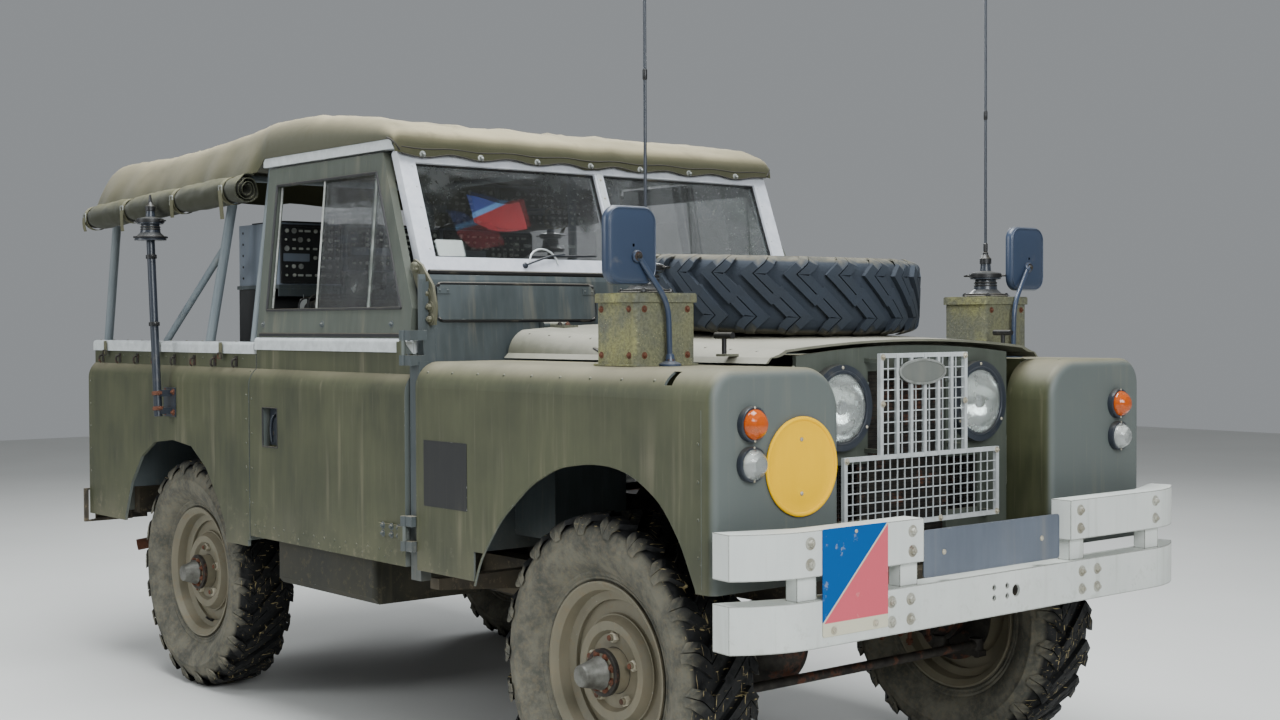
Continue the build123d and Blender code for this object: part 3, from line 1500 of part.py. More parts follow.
def seats():
    """Three flat cushions and three back pads."""
    x0 = tub_front_x + 115
    top = 850 + seat_gap
    shapes = []
    for y, width in ((-430, 440), (0, 300), (430, 440)):
        cushion = block(x0 + 10, x0 + 430, y - width / 2, y + width / 2, top, top + 95)
        cushion = fillet(cushion.edges(), 18)
        back = block(-45, 45, y - width / 2, y + width / 2, 0, 400)
        back = fillet(back.edges(), 18)
        back = Pos(x0 - 6, 0, top + 90.4) * (Rot(0, -8, 0) * back)
        shapes.extend([cushion, back])
    return group(*shapes)


# Hood


def cappings():
    """Galvanised top edge of the rear body sides."""
    x0, x1 = tub_rear_x + 2, tub_front_x - 2
    z0 = tub_top_z + seat_gap
    strip = block(x0, x1, strip_y - 26, strip_y + 8, z0, z0 + capping_height)
    strip = fillet(strip.edges().filter_by(Axis.X).group_by(Axis.Z)[-1], 12)
    return group(strip, mirror(strip, about=Plane.XZ))


hood_foot_z = tub_top_z + capping_height + 2 * seat_gap
cant_rail_low_z = 1742.0
cant_rail_high_z = 1770.0
rear_hoop_x = tub_rear_x + 30.0
hood_foot_y = strip_y - 14.0


def bent_hoop(foot_x, foot_y, foot_z, top_x, top_z, corner):
    """Round tube bent over from side to side."""
    y = 690.0
    path = FilletPolyline(
        (foot_x, -foot_y, foot_z), (top_x, -y, top_z), (top_x, y, top_z), (foot_x, foot_y, foot_z),
        radius=corner,
    )
    return sweep(Plane(origin=path @ 0, z_dir=path % 0) * Circle(hood_tube_radius), path=path)


def hood_frame():
    """Bent tubes that carry the canvas: three hoops, long rails, braces and two cant rails."""
    r = hood_tube_radius
    below = canvas_thickness + hem_drop + r + seat_gap
    front_x, front_z = tub_front_x - 20, roof_front_hoop_z - below
    mid_x, mid_z = mid_hoop_x, roof_mid_hoop_z - below
    rear_x, rear_z = rear_hoop_x, roof_rear_z - below
    start_z = hood_foot_z - 20
    shape = bent_hoop(tub_front_x - 34, hood_foot_y, start_z, front_x, front_z, 90)
    shape += bent_hoop(mid_x - 88, hood_foot_y, start_z, mid_x, mid_z, 90)
    for side in (-1, 1):
        brace_foot = (rear_axle_x - 164, side * (hood_foot_y - 2), start_z)
        shape += rod(brace_foot, (rear_axle_x + 250, side * 730, 1510), r - 4)
    shape -= both_sides(block(-1300, 0, 700, 830, start_z - 60, hood_foot_z))
    # rear hoop, standing in sockets on the back of the body
    foot_x, foot_z = tub_rear_x - r - 12, 1080
    shape += bent_hoop(foot_x, 730, foot_z, rear_x, rear_z, 140)
    for side in (-1, 1):
        shape += block(
            foot_x, tub_rear_x - seat_gap, side * 714, side * 744, foot_z + 10, foot_z + 50
        )
        y = side * 620
        shape += rod((rear_x, y, rear_z - 14), (mid_x, y, mid_z - 14), r - 3)
        shape += rod((mid_x, y, mid_z - 14), (front_x, y, front_z - 14), r - 3)
        # cant rail over the door, from the front hoop to the top of the windscreen
        shape += along_y(
            [
                (front_x + 1, cant_rail_low_z), (front_x + 1, cant_rail_high_z),
                (screen_top_x - 2, cant_rail_high_z), (screen_top_x + 16, cant_rail_low_z),
            ],
            side * 706, side * roof_half,
        )
        shape += rod((front_x, side * 690, 1756), (front_x, side * 724, 1756), 12)
    shape -= screen_clearance()
    return shape


def screen_clearance():
    """Room round the top of the windscreen frame that the cant rails stop short of."""
    gap = seat_gap
    return screen_place(block(
        -screen_frame_depth - gap, 200, -screen_half - gap, screen_half + gap, 0, screen_height + gap
    ))


# roof heights over the hoops and at the windscreen
roof_front_hoop_z = 1888.0
roof_mid_hoop_z = 1864.0
roof_rear_z = 1850.0
mid_hoop_x = rear_axle_x + 288.0


def roll_axis_z(x):
    """Height of the rolled side curtain's axis at x."""
    return roll_rear_z + (roll_front_z - roll_rear_z) * (x - roof_rear_x) / (tub_front_x - roof_rear_x)


def canvas_roof():
    """Roof of the hood as a thin shell over the hoops, open below."""
    rise = (roll_radius**2 - (roll_y - roof_half) ** 2) ** 0.5 + seat_gap
    hem = cant_rail_high_z + seat_gap
    # columns: x, lower edge, roof height, how far the corner rounds inwards
    sections = [
        (roof_front_x, hem, 1796, 26),
        (roof_front_x - 70, hem, 1828, 50),
        (-230, hem, roof_front_hoop_z, 60),
        (tub_front_x - 20, hem, roof_front_hoop_z, 60),
    ]
    behind = [
        (tub_front_x - 40, roof_front_hoop_z - 2, 60),
        (mid_hoop_x, roof_mid_hoop_z, 60),
        (-1250, roof_mid_hoop_z - 20, 80),
        (rear_hoop_x, roof_rear_z, 110),
        (roof_rear_x, roof_rear_z, 110),
    ]
    sections += [(x, roll_axis_z(x) + rise, top, turn) for x, top, turn in behind]

    def face(x, foot, top, turn, grow):
        half = roof_half - grow
        corner = half - turn
        top -= grow
        side_y = half - 0.29 * turn
        side_z = foot + 0.71 * (top - foot)
        return make_face(Wire([
            Line((x, -half, foot), (x, half, foot)),
            ThreePointArc((x, half, foot), (x, side_y, side_z), (x, corner, top)),
            Line((x, corner, top), (x, -corner, top)),
            ThreePointArc((x, -corner, top), (x, -side_y, side_z), (x, -half, foot)),
        ]))

    outer = loft([face(*section, 0) for section in sections], ruled=True)
    inner = loft([face(*section, canvas_thickness) for section in sections], ruled=True)
    return outer - (Pos(0, 0, -hem_drop) * inner)


def canvas_rolls():
    """Side curtains rolled up under the roof edge."""
    x0, x1 = roof_rear_x + 20, tub_front_x - 20
    roll = rod((x0, roll_y, roll_axis_z(x0)), (x1, roll_y, roll_axis_z(x1)), roll_radius)
    return group(roll, mirror(roll, about=Plane.XZ))


# Radio fit and small body fittings


def aerial_boxes():
    """Aerial tuning boxes on the wing tops."""
    z0 = wing_top_z + seat_gap
    box = block(
        aerial_box_x, aerial_box_x + aerial_box_length, aerial_box_inner_y,
        aerial_box_inner_y + aerial_box_width, z0, z0 + aerial_box_height,
    )
    box = fillet(box.edges().filter_by(Axis.Z), 16)
    return group(box, mirror(box, about=Plane.XZ))


def bell(low):
    """Rubber bell insulator with its clamp ring, foot at the given height."""
    points = [
        (0, low), (54, low), (51, low + 10), (34, low + 26), (30, low + 52), (44, low + 56),
        (44, low + 74), (16, low + 80), (14, low + 104), (0, low + 104),
    ]
    return revolve(
        make_face(Polyline(*[(r, 0, z) for r, z in points], close=True)), axis=Axis.Z
    )


def aerial_bases():
    shapes = []
    z0 = wing_top_z + 2 * seat_gap + aerial_box_height
    x = aerial_box_x + aerial_box_length / 2
    y = aerial_box_inner_y + aerial_box_width / 2
    for side in (-1, 1):
        shapes.append(Pos(x, side * y, 0) * bell(z0))
    return group(*shapes)


def aerial_whips():
    shapes = []
    z0 = wing_top_z + 3 * seat_gap + aerial_box_height + 104
    x = aerial_box_x + aerial_box_length / 2
    y = aerial_box_inner_y + aerial_box_width / 2
    for side in (-1, 1):
        shapes.append(rod((x, side * y, z0), (x, side * y, z0 + whip_length), whip_radius))
    return group(*shapes)


def mirrors():
    """Round-cornered mirror heads on bent arms from the wing tops."""
    shapes = []
    for side in (-1, 1):
        foot = (front_axle_x + 174, side * 655, wing_top_z + seat_gap)
        elbow = (front_axle_x + 174, side * 662, 1300)
        tip = (front_axle_x + 152, side * 745, 1408)
        arm = rod(foot, elbow, 7) + (Pos(*elbow) * Sphere(7)) + rod(elbow, tip, 7)
        arm += rod(foot, (foot[0], foot[1], foot[2] + 12), 14)
        head = block(-12, 12, -75, 75, -92, 92)
        head = fillet(head.edges().filter_by(Axis.X), 22)
        head = Pos(front_axle_x + 142, side * 752, 1426) * head
        shapes.append(arm + head)
    return group(*shapes)


def rear_aerials():
    """Aerial poles on brackets at the sides of the rear body, leaning back a little."""
    shapes = []
    x, top_x, top_z = rear_axle_x - 18, rear_axle_x - 66, 1533.0
    for side in (-1, 1):
        y = side * (body_half + seat_gap)
        pole_y = y + side * 44
        shape = block(x - 45, x + 45, y, y + side * 4, 930, 1030)
        for z in (940, 1000):
            shape += block(x - 20, x + 18, y + side * 3, pole_y, z, z + 22)
        shape += rod((x, pole_y, 932), (top_x, pole_y, top_z + 4), 14)
        shapes.append(shape + Pos(top_x, pole_y, 0) * bell(top_z))
    return group(*shapes)


def feeder_lead():
    """Lead between the aerial box and the bonnet edge, lying on the wing top."""
    x0 = aerial_box_x - seat_gap
    z = wing_top_z + 8
    points = [
        (x0, -600, z + 4), (x0 - 45, -598, z + 4), (x0 - 92, -618, z + 12), (x0 - 112, -655, z + 30),
        (x0 - 82, -690, z + 34), (x0 - 40, -686, z + 18), (x0 - 8, -668, z + 8),
    ]
    path = FilletPolyline(*points, radius=18)
    plane = Plane(origin=path @ 0, z_dir=path % 0)
    return sweep(plane * Circle(3.5), path=path)


def radio_sets():
    """Radio set and its rack behind the seats."""
    x1 = tub_front_x - tub_wall - 80
    table = block(x1 - 420, x1, -430, 430, tub_floor_z + 8 + seat_gap, tub_floor_z + 330)
    table = fillet(table.edges().filter_by(Axis.Z), 10)
    upper = block(x1 - 360, x1 - 20, -390, 390, tub_floor_z + 330 + seat_gap, 1420)
    upper = fillet(upper.edges().filter_by(Axis.Z), 10)
    return group(table, upper)


# Assembly

os.makedirs("parts", exist_ok=True)


def save(name, shape):
    """Writes one node."""
    export_step(shape, f"parts/{name}.step")


# corner name, axle, side, length of the hub cap
corners = (
    ("front_right", front_axle_x, -1, 64.0),
    ("front_left", front_axle_x, 1, 64.0),
    ("rear_right", rear_axle_x, -1, 51.0),
    ("rear_left", rear_axle_x, 1, 51.0),
)
rim_shape = rim(rim_width)
tyre_shape = tread_tyre(tyre_width)
for name, axle_x, side, cap_length in corners:
    save(f"rim_{name}", place_wheel(rim_shape + hub(cap_length), axle_x, side))
    save(f"tyre_{name}", place_wheel(tyre_shape, axle_x, side))

nodes = {
    "knuckle_right": knuckle(-1),
    "knuckle_left": knuckle(1),
    "track_rod": track_rod(),
    "front_axle": front_axle(),
    "rear_axle": rear_axle(),
    "chassis_frame": chassis_frame(),
    "springs_and_dampers": group(leaf_springs(), dampers()),
    "engine_block": group(engine_block(), radiator()),
    "transmission": group(gearbox(), propshafts()),
    "exhaust": exhaust(),
    "fuel_tanks": fuel_tanks(),
    "front_bumpers": front_bumper() + upper_bumpers(),
    "rear_bumperettes": rear_bumperettes(),
    "tow_pintle": tow_pintle(),
    "wings": group(wing(), mirror(wing(), about=Plane.XZ)),
    "radiator_panel": radiator_panel(),
    "grille": grille(),
    "lamp_bodies": group(headlamps(), lamp_bases()),
    "clear_lenses": group(headlamp_lenses(), lamp_lenses("clear")),
    "amber_lenses": lamp_lenses("amber"),
    "red_lenses": lamp_lenses("red"),
    "plates": group(yellow_disc(), number_plate(), formation_sign()),
    "bonnet": bonnet(),
    "bonnet_catches": bonnet_catches(),
    "spare_rim": place_spare(rim_shape),
    "spare_tyre": place_spare(tread_tyre(spare_width)),
    "bulkhead": bulkhead(),
    "cab_floor": cab_floor(),
    "vent_flaps": vent_flaps(),
    "windscreen_frame": windscreen_frame(),
    "windscreen_glass": windscreen_glass(),
    "cab_controls": group(dashboard(), steering_column(), control_levers()),
    "steering_wheel": steering_wheel(),
    "door_left": door_panel(),
    "door_right": mirror(door_panel(), about=Plane.XZ),
    "door_top_left": door_top(),
    "door_top_right": mirror(door_top(), about=Plane.XZ),
    "door_glass_left": door_glass(),
    "door_glass_right": mirror(door_glass(), about=Plane.XZ),
    "tub": tub(),
    "load_floor": load_floor(),
    "tailgate": tailgate(),
    "seat_box": seat_box(),
    "seats": seats(),
    "cappings": cappings(),
    "hood_frame": hood_frame(),
    "canvas_hood": group(canvas_roof(), canvas_rolls()),
    "aerial_boxes": aerial_boxes(),
    "aerials": group(aerial_bases(), aerial_whips(), rear_aerials()),
    "mirrors": mirrors(),
    "feeder_lead": feeder_lead(),
    "radio_sets": radio_sets(),
}
for name, shape in nodes.items():
    save(name, shape)
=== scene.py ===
"""Army 4x4 car with a canvas hood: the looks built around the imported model.

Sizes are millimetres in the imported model's frame, with +X forward, +Y to the car's left and +Z up.
Shape.make turns them to metres.
"""

import logging
import math
import random
from dataclasses import dataclass, field
from enum import IntEnum
from typing import Callable, Iterable, Iterator, Sequence

import bmesh
import bpy
from mathutils import Matrix, Vector, noise


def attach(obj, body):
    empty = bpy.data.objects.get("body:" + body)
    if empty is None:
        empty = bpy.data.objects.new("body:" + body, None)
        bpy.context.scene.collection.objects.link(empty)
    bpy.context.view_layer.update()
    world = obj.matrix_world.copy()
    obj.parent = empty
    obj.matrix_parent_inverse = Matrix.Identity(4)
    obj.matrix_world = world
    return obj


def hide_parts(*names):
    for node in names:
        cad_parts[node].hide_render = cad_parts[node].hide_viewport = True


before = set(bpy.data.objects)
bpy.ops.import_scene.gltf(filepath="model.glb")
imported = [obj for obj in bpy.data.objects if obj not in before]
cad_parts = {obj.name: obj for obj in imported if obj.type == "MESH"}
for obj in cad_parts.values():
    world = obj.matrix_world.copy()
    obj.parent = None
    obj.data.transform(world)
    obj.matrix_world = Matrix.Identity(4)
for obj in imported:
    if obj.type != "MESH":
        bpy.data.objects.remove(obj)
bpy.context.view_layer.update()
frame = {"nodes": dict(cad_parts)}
LOG = logging.getLogger("army_car")
MM = 0.001
Point = tuple[float, float, float]
Flat = tuple[float, float]
Colour = tuple[float, float, float]
Socket = bpy.types.NodeSocket


class Side(IntEnum):
    """A side of the car, as the sign of its width."""

    RIGHT = -1
    LEFT = 1

    @property
    def word(self) -> str:
        """The side as the names of pieces and nodes say it."""
        return self.name.lower()


def tone(red: int, green: int, blue: int) -> Colour:
    """A linear colour from a tone on the usual 0 to 255 scale."""
    return tuple((c / 255 / 12.92) if c < 11 else ((c / 255 + 0.055) / 1.055) ** 2.4
                 for c in (red, green, blue))


DUST = tone(150, 141, 118)
DRY_MUD = tone(118, 106, 84)
BARE_ALLOY = tone(168, 170, 166)
RUST = tone(104, 58, 34)
# wheel centres: places along the car, width and height
AXLES = {"front": 1200.0, "rear": -1035.0}
HALF_TRACK = 654.0
WHEEL_HEIGHT = 390.0
# local X to the car's left, local Y up and local Z forward
FORWARD = Matrix(((0, 0, 1, 0), (1, 0, 0, 0), (0, 1, 0, 0), (0, 0, 0, 1)))


# Shader tools


class Graph:
    """Short words for wiring one shader tree."""

    def __init__(self, tree: bpy.types.NodeTree) -> None:
        """Starts on a tree.

        Args:
            tree: The material's or group's node tree.
        """
        self.tree = tree

    def node(self, kind: str, **settings: object) -> bpy.types.Node:
        """Adds a shader node.

        Args:
            kind: The node's type without its ShaderNode prefix.
            **settings: Properties to set on it.

        Returns:
            The new node.
        """
        made = self.tree.nodes.new("ShaderNode" + kind)
        for name, value in settings.items():
            setattr(made, name, value)
        return made

    def feed(self, socket: Socket, value: object) -> None:
        """Links a socket, or sets its value.

        Args:
            socket: The input socket.
            value: An output socket, a number, a colour or a vector.
        """
        if isinstance(value, bpy.types.NodeSocket):
            self.tree.links.new(value, socket)
        elif socket.type == "RGBA":
            socket.default_value = (*value, 1.0)
        else:
            socket.default_value = value

    def maths(self, operation: str, first: object, second: object = 0.0,
              clamp: bool = False) -> Socket:
        """A Math node's result.

        Args:
            operation: The node's operation.
            first: First value or socket.
            second: Second value or socket.
            clamp: Whether the result is kept between 0 and 1.

        Returns:
            The output socket.
        """
        made = self.node("Math", operation=operation, use_clamp=clamp)
        self.feed(made.inputs[0], first)
        self.feed(made.inputs[1], second)
        return made.outputs[0]

    def times(self, first: object, second: object) -> Socket:
        """The product of two values, kept between 0 and 1."""
        return self.maths("MULTIPLY", first, second, clamp=True)

    def either(self, first: object, second: object) -> Socket:
        """The larger of two masks."""
        return self.maths("MAXIMUM", first, second)

    def place(self, stretch: Point = (1, 1, 1), of: str = "Object") -> Socket:
        """The object's own coordinates, stretched.

        Args:
            stretch: Factor for each axis.
            of: The Texture Coordinate output to read.

        Returns:
            The vector socket.
        """
        made = self.node("Mapping")
        self.feed(made.inputs["Vector"], self.node("TexCoord").outputs[of])
        made.inputs["Scale"].default_value = stretch
        return made.outputs["Vector"]

    def axis(self, which: str, of: str = "Object") -> Socket:
        """One of X, Y and Z of the object's coordinates or normal.

        Args:
            which: X, Y or Z.
            of: The Texture Coordinate output to read.

        Returns:
            The socket of that one number.
        """
        made = self.node("SeparateXYZ")
        self.feed(made.inputs[0], self.node("TexCoord").outputs[of])
        return made.outputs[which]

    def cloud(self, scale: object, stretch: Point = (1, 1, 1), detail: float = 3.0,
              roughness: float = 0.55, twist: float = 0.0) -> Socket:
        """Soft noise from 0 to 1.

        Args:
            scale: Noise scale, a number or socket.
            stretch: Factor for each axis.
            detail: How many finer layers it has.
            roughness: How strong those are.
            twist: Distortion.

        Returns:
            The factor socket.
        """
        made = self.node("TexNoise")
        self.feed(made.inputs["Vector"], self.place(stretch))
        self.feed(made.inputs["Scale"], scale)
        self.feed(made.inputs["Detail"], detail)
        self.feed(made.inputs["Roughness"], roughness)
        self.feed(made.inputs["Distortion"], twist)
        return made.outputs["Fac"]

    def between(self, value: Socket, low: object, high: object, start: float = 0.0,
                end: float = 1.0) -> Socket:
        """A smooth step from start to end as the value goes from low to high.

        Args:
            value: The value that is read.
            low: Where the step begins.
            high: Where it is over.
            start: Result below the step.
            end: Result above it.

        Returns:
            The result socket.
        """
        made = self.node("MapRange", interpolation_type="SMOOTHSTEP")
        for name, given in zip(("Value", "From Min", "From Max", "To Min", "To Max"),
                               (value, low, high, start, end)):
            self.feed(made.inputs[name], given)
        return made.outputs["Result"]

    def mix(self, share: object, first: object, second: object, how: str = "MIX") -> Socket:
        """Two colours mixed.

        Args:
            share: How much of the second shows.
            first: Colour or socket below.
            second: Colour or socket above.
            how: The blend type.

        Returns:
            The colour socket.
        """
        made = self.node("Mix", data_type="RGBA", blend_type=how)
        self.feed(made.inputs[0], share)
        self.feed(made.inputs[6], first)
        self.feed(made.inputs[7], second)
        return made.outputs[2]

    def effect(self, which: "Effect", **values: object) -> bpy.types.Node:
        """Places a shared effect with this material's own values.

        Args:
            which: The effect.
            **values: Its inputs by name, with underscores for spaces.

        Returns:
            The group node.
        """
        made = self.node("Group", node_tree=which.tree())
        for name, value in values.items():
            self.feed(made.inputs[name.replace("_", " ")], value)
        return made

    def bump(self, height: Socket, depth: float, strength: float = 1.0,
             under: Socket | None = None) -> Socket:
        """A normal bent by a height.

        Args:
            height: The height from 0 to 1.
            depth: What a height of 1 stands for, in metres.
            strength: How much of it shows.
            under: A normal it is laid over.

        Returns:
            The normal socket.
        """
        made = self.node("Bump")
        self.feed(made.inputs["Height"], height)
        self.feed(made.inputs["Distance"], depth)
        self.feed(made.inputs["Strength"], strength)
        if under is not None:
            self.feed(made.inputs["Normal"], under)
        return made.outputs["Normal"]


@dataclass(frozen=True)
class Effect:
    """A shader group that several materials share."""

    name: str
    inputs: tuple[tuple[str, float], ...]
    outputs: tuple[str, ...]
    wiring: Callable[[Graph, Callable[[str], Socket]], Sequence[Socket]]

    def tree(self) -> bpy.types.NodeTree:
        """Builds the group the first time, and returns it.

        Returns:
            The group's tree.
        """
        made = bpy.data.node_groups.get(self.name)
        if made:
            return made
        made = bpy.data.node_groups.new(self.name, "ShaderNodeTree")
        for name, value in self.inputs:
            socket = made.interface.new_socket(name, in_out="INPUT", socket_type="NodeSocketFloat")
            socket.default_value = value
        for name in self.outputs:
            made.interface.new_socket(name, in_out="OUTPUT", socket_type="NodeSocketFloat")
        entry, leave = made.nodes.new("NodeGroupInput"), made.nodes.new("NodeGroupOutput")
        results = self.wiring(Graph(made), lambda name: entry.outputs[name])
        for name, result in zip(self.outputs, results):
            made.links.new(result, leave.inputs[name])
        return made


def wire_edge_wear(g: Graph, given: Callable[[str], Socket]) -> Sequence[Socket]:
    """Chips and rubbed paint along edges, from a bevelled normal against the plain one.

    Args:
        g: The tree that it is wired in.
        given: Gives the group's input of a name.

    Returns:
        The group's outputs, in order.
    """
    soft = g.node("Bevel", samples=4)
    g.feed(soft.inputs["Radius"], given("Width"))
    turn = g.node("VectorMath", operation="DOT_PRODUCT")
    g.feed(turn.inputs[0], soft.outputs["Normal"])
    g.feed(turn.inputs[1], g.node("NewGeometry").outputs["Normal"])
    edge = g.between(turn.outputs["Value"], 0.995, 0.86)
    broken = g.cloud(given("Grain"), detail=5, roughness=0.7)
    limit = g.maths("SUBTRACT", 1.0, given("Amount"))
    return [g.times(edge, g.between(broken, limit, g.maths("ADD", limit, 0.12)))]


def wire_dust(g: Graph, given: Callable[[str], Socket]) -> Sequence[Socket]:
    """Dust on what faces up, streaks run down the sides, and splashes near the ground.

    Args:
        g: The tree that it is wired in.
        given: Gives the group's input of a name.

    Returns:
        The group's outputs, in order.
    """
    up = g.between(g.axis("Z", "Normal"), 0.25, 0.95)
    patch = g.between(g.cloud(2.6, detail=5), 0.32, 0.68)
    lying = g.times(g.times(up, g.maths("MULTIPLY_ADD", patch, 0.6)), given("Lying"))
    run = g.cloud(1.0, (26, 26, 1.5), 4)
    fine = g.cloud(1.0, (90, 90, 3.5), 3)
    side = g.maths("SUBTRACT", 1.0, up)
    streak = g.times(g.between(run, 0.5, 0.74), g.between(g.cloud(1.7, detail=3), 0.42, 0.66))
    streak = g.maths("ADD", streak, g.times(g.between(fine, 0.58, 0.78), 0.35), clamp=True)
    streak = g.times(g.times(streak, side), given("Streaks"))
    height = g.axis("Z")
    low = g.between(height, given("Splash top"), g.maths("SUBTRACT", given("Splash top"), 0.34))
    dots = g.between(g.cloud(34, detail=6, roughness=0.75), 0.5, 0.66)
    haze = g.between(g.cloud(5, detail=4), 0.3, 0.75)
    splash = g.times(g.times(low, g.either(dots, g.times(haze, 0.6))), given("Splash"))
    return [g.either(g.either(lying, streak), splash)]


def wire_dents(g: Graph, given: Callable[[str], Socket]) -> Sequence[Socket]:
    """Slow waves and soft knocks of thin sheet metal, as a height.

    Args:
        g: The tree that it is wired in.
        given: Gives the group's input of a name.

    Returns:
        The group's outputs, in order.
    """
    wave = g.cloud(given("Scale"), detail=1.0)
    knock = g.node("TexVoronoi", feature="SMOOTH_F1")
    g.feed(knock.inputs["Vector"], g.place())
    g.feed(knock.inputs["Scale"], g.maths("MULTIPLY", given("Scale"), 1.7))
    dip = g.between(knock.outputs["Distance"], 0.0, 0.22)
    grain = g.cloud(260.0, detail=2)
    height = g.maths("MULTIPLY", wave, 0.75)
    height = g.maths("ADD", height, g.maths("MULTIPLY", dip, given("Knocks")))
    return [g.maths("ADD", height, g.maths("MULTIPLY", grain, 0.012))]


def wire_scuffs(g: Graph, given: Callable[[str], Socket]) -> Sequence[Socket]:
    """Thin scratches in several directions.

    Args:
        g: The tree that it is wired in.
        given: Gives the group's input of a name.

    Returns:
        The group's outputs, in order.
    """
    lines = None
    for turn in ((3, 3, 120), (110, 4, 14), (9, 70, 60)):
        part = g.between(g.cloud(1.3, turn, 2, 0.4, 1.5), 0.715, 0.735)
        lines = part if lines is None else g.either(lines, part)
    where = g.between(g.cloud(4.0, detail=2), g.maths("SUBTRACT", 0.74, given("Amount")), 0.8)
    return [g.times(lines, where)]


def wire_rust(g: Graph, given: Callable[[str], Socket]) -> Sequence[Socket]:
    """Blooms of rust: a mask and its fine mottling.

    Args:
        g: The tree that it is wired in.
        given: Gives the group's input of a name.

    Returns:
        The group's outputs, in order.
    """
    bloom = g.cloud(given("Scale"), detail=7, roughness=0.7)
    limit = g.maths("SUBTRACT", 0.78, g.maths("MULTIPLY", given("Amount"), 0.5))
    mask = g.between(bloom, limit, g.maths("ADD", limit, 0.1))
    return [mask, g.cloud(g.maths("MULTIPLY", given("Scale"), 9.0), detail=4)]


def wire_weave(g: Graph, given: Callable[[str], Socket]) -> Sequence[Socket]:
    """Crossed threads on any side of a cloth, as a height and as a shade.

    Args:
        g: The tree that it is wired in.
        given: Gives the group's input of a name.

    Returns:
        The group's outputs, in order.
    """
    total = None
    for direction in ("X", "Y", "Z"):
        wave = g.node("TexWave", bands_direction=direction, wave_profile="SIN")
        g.feed(wave.inputs["Vector"], g.place())
        g.feed(wave.inputs["Scale"], given("Threads"))
        g.feed(wave.inputs["Distortion"], 0.6)
        g.feed(wave.inputs["Detail Scale"], 2.0)
        part = wave.outputs["Fac"]
        total = part if total is None else g.maths("ADD", total, part)
    height = g.maths("MULTIPLY", total, 0.34)
    return [height, g.between(height, 0.2, 0.8)]


def wire_growth(g: Graph, given: Callable[[str], Socket]) -> Sequence[Socket]:
    """Lichen and algae: a broad stain and crisp speckles.

    Args:
        g: The tree that it is wired in.
        given: Gives the group's input of a name.

    Returns:
        The group's outputs, in order.
    """
    stain = g.between(g.cloud(7.0, detail=6, roughness=0.7), 0.36, 0.7)
    spots = g.node("TexVoronoi", feature="F1")
    g.feed(spots.inputs["Vector"], g.place())
    g.feed(spots.inputs["Scale"], given("Speckle scale"))
    speck = g.between(spots.outputs["Distance"], 0.2, 0.1)
    speck = g.times(speck, g.between(g.cloud(21.0, detail=4), 0.46, 0.6))
    return [g.times(stain, given("Amount")), g.times(speck, given("Amount"))]


EDGE_WEAR = Effect("edge_wear", (("Width", 0.003), ("Amount", 0.5), ("Grain", 60.0)), ("Mask",),
                   wire_edge_wear)
ROAD_DUST = Effect("road_dust", (("Lying", 0.5), ("Streaks", 0.4), ("Splash", 0.5),
                                 ("Splash top", 0.75)), ("Mask",), wire_dust)
DENTS = Effect("sheet_dents", (("Scale", 2.2), ("Knocks", 0.2)), ("Height",), wire_dents)
SCUFFS = Effect("scuffs", (("Amount", 0.2),), ("Mask",), wire_scuffs)
RUST_BLOOM = Effect("rust_bloom", (("Scale", 8.0), ("Amount", 0.3)), ("Mask", "Mottle"), wire_rust)
WEAVE = Effect("cloth_weave", (("Threads", 400.0),), ("Height", "Shade"), wire_weave)
GROWTH = Effect("lichen", (("Amount", 0.8), ("Speckle scale", 160.0)), ("Stain", "Speckle"),
                wire_growth)


# Finishes


@dataclass(frozen=True)
class Finish:
    """A surface finish, built as a material the first time that a piece wears it."""

    name: str
    slot: str

    def material(self) -> bpy.types.Material:
        """Returns the material, and builds it if it isn't there yet.

        Returns:
            The material.
        """
        title = "worn_" + self.name
        made = bpy.data.materials.get(title)
        if made:
            return made
        made = bpy.data.materials.new(title)
        made.use_nodes = True
        made.node_tree.nodes.clear()
        graph = Graph(made.node_tree)
        shader = graph.node("BsdfPrincipled")
        out = graph.node("OutputMaterial")
        made.node_tree.links.new(shader.outputs["BSDF"], out.inputs["Surface"])
        self.wire(graph, shader)
        return made

    def wire(self, g: Graph, shader: bpy.types.Node) -> None:
        """Wires the finish into its shader node."""
        raise NotImplementedError


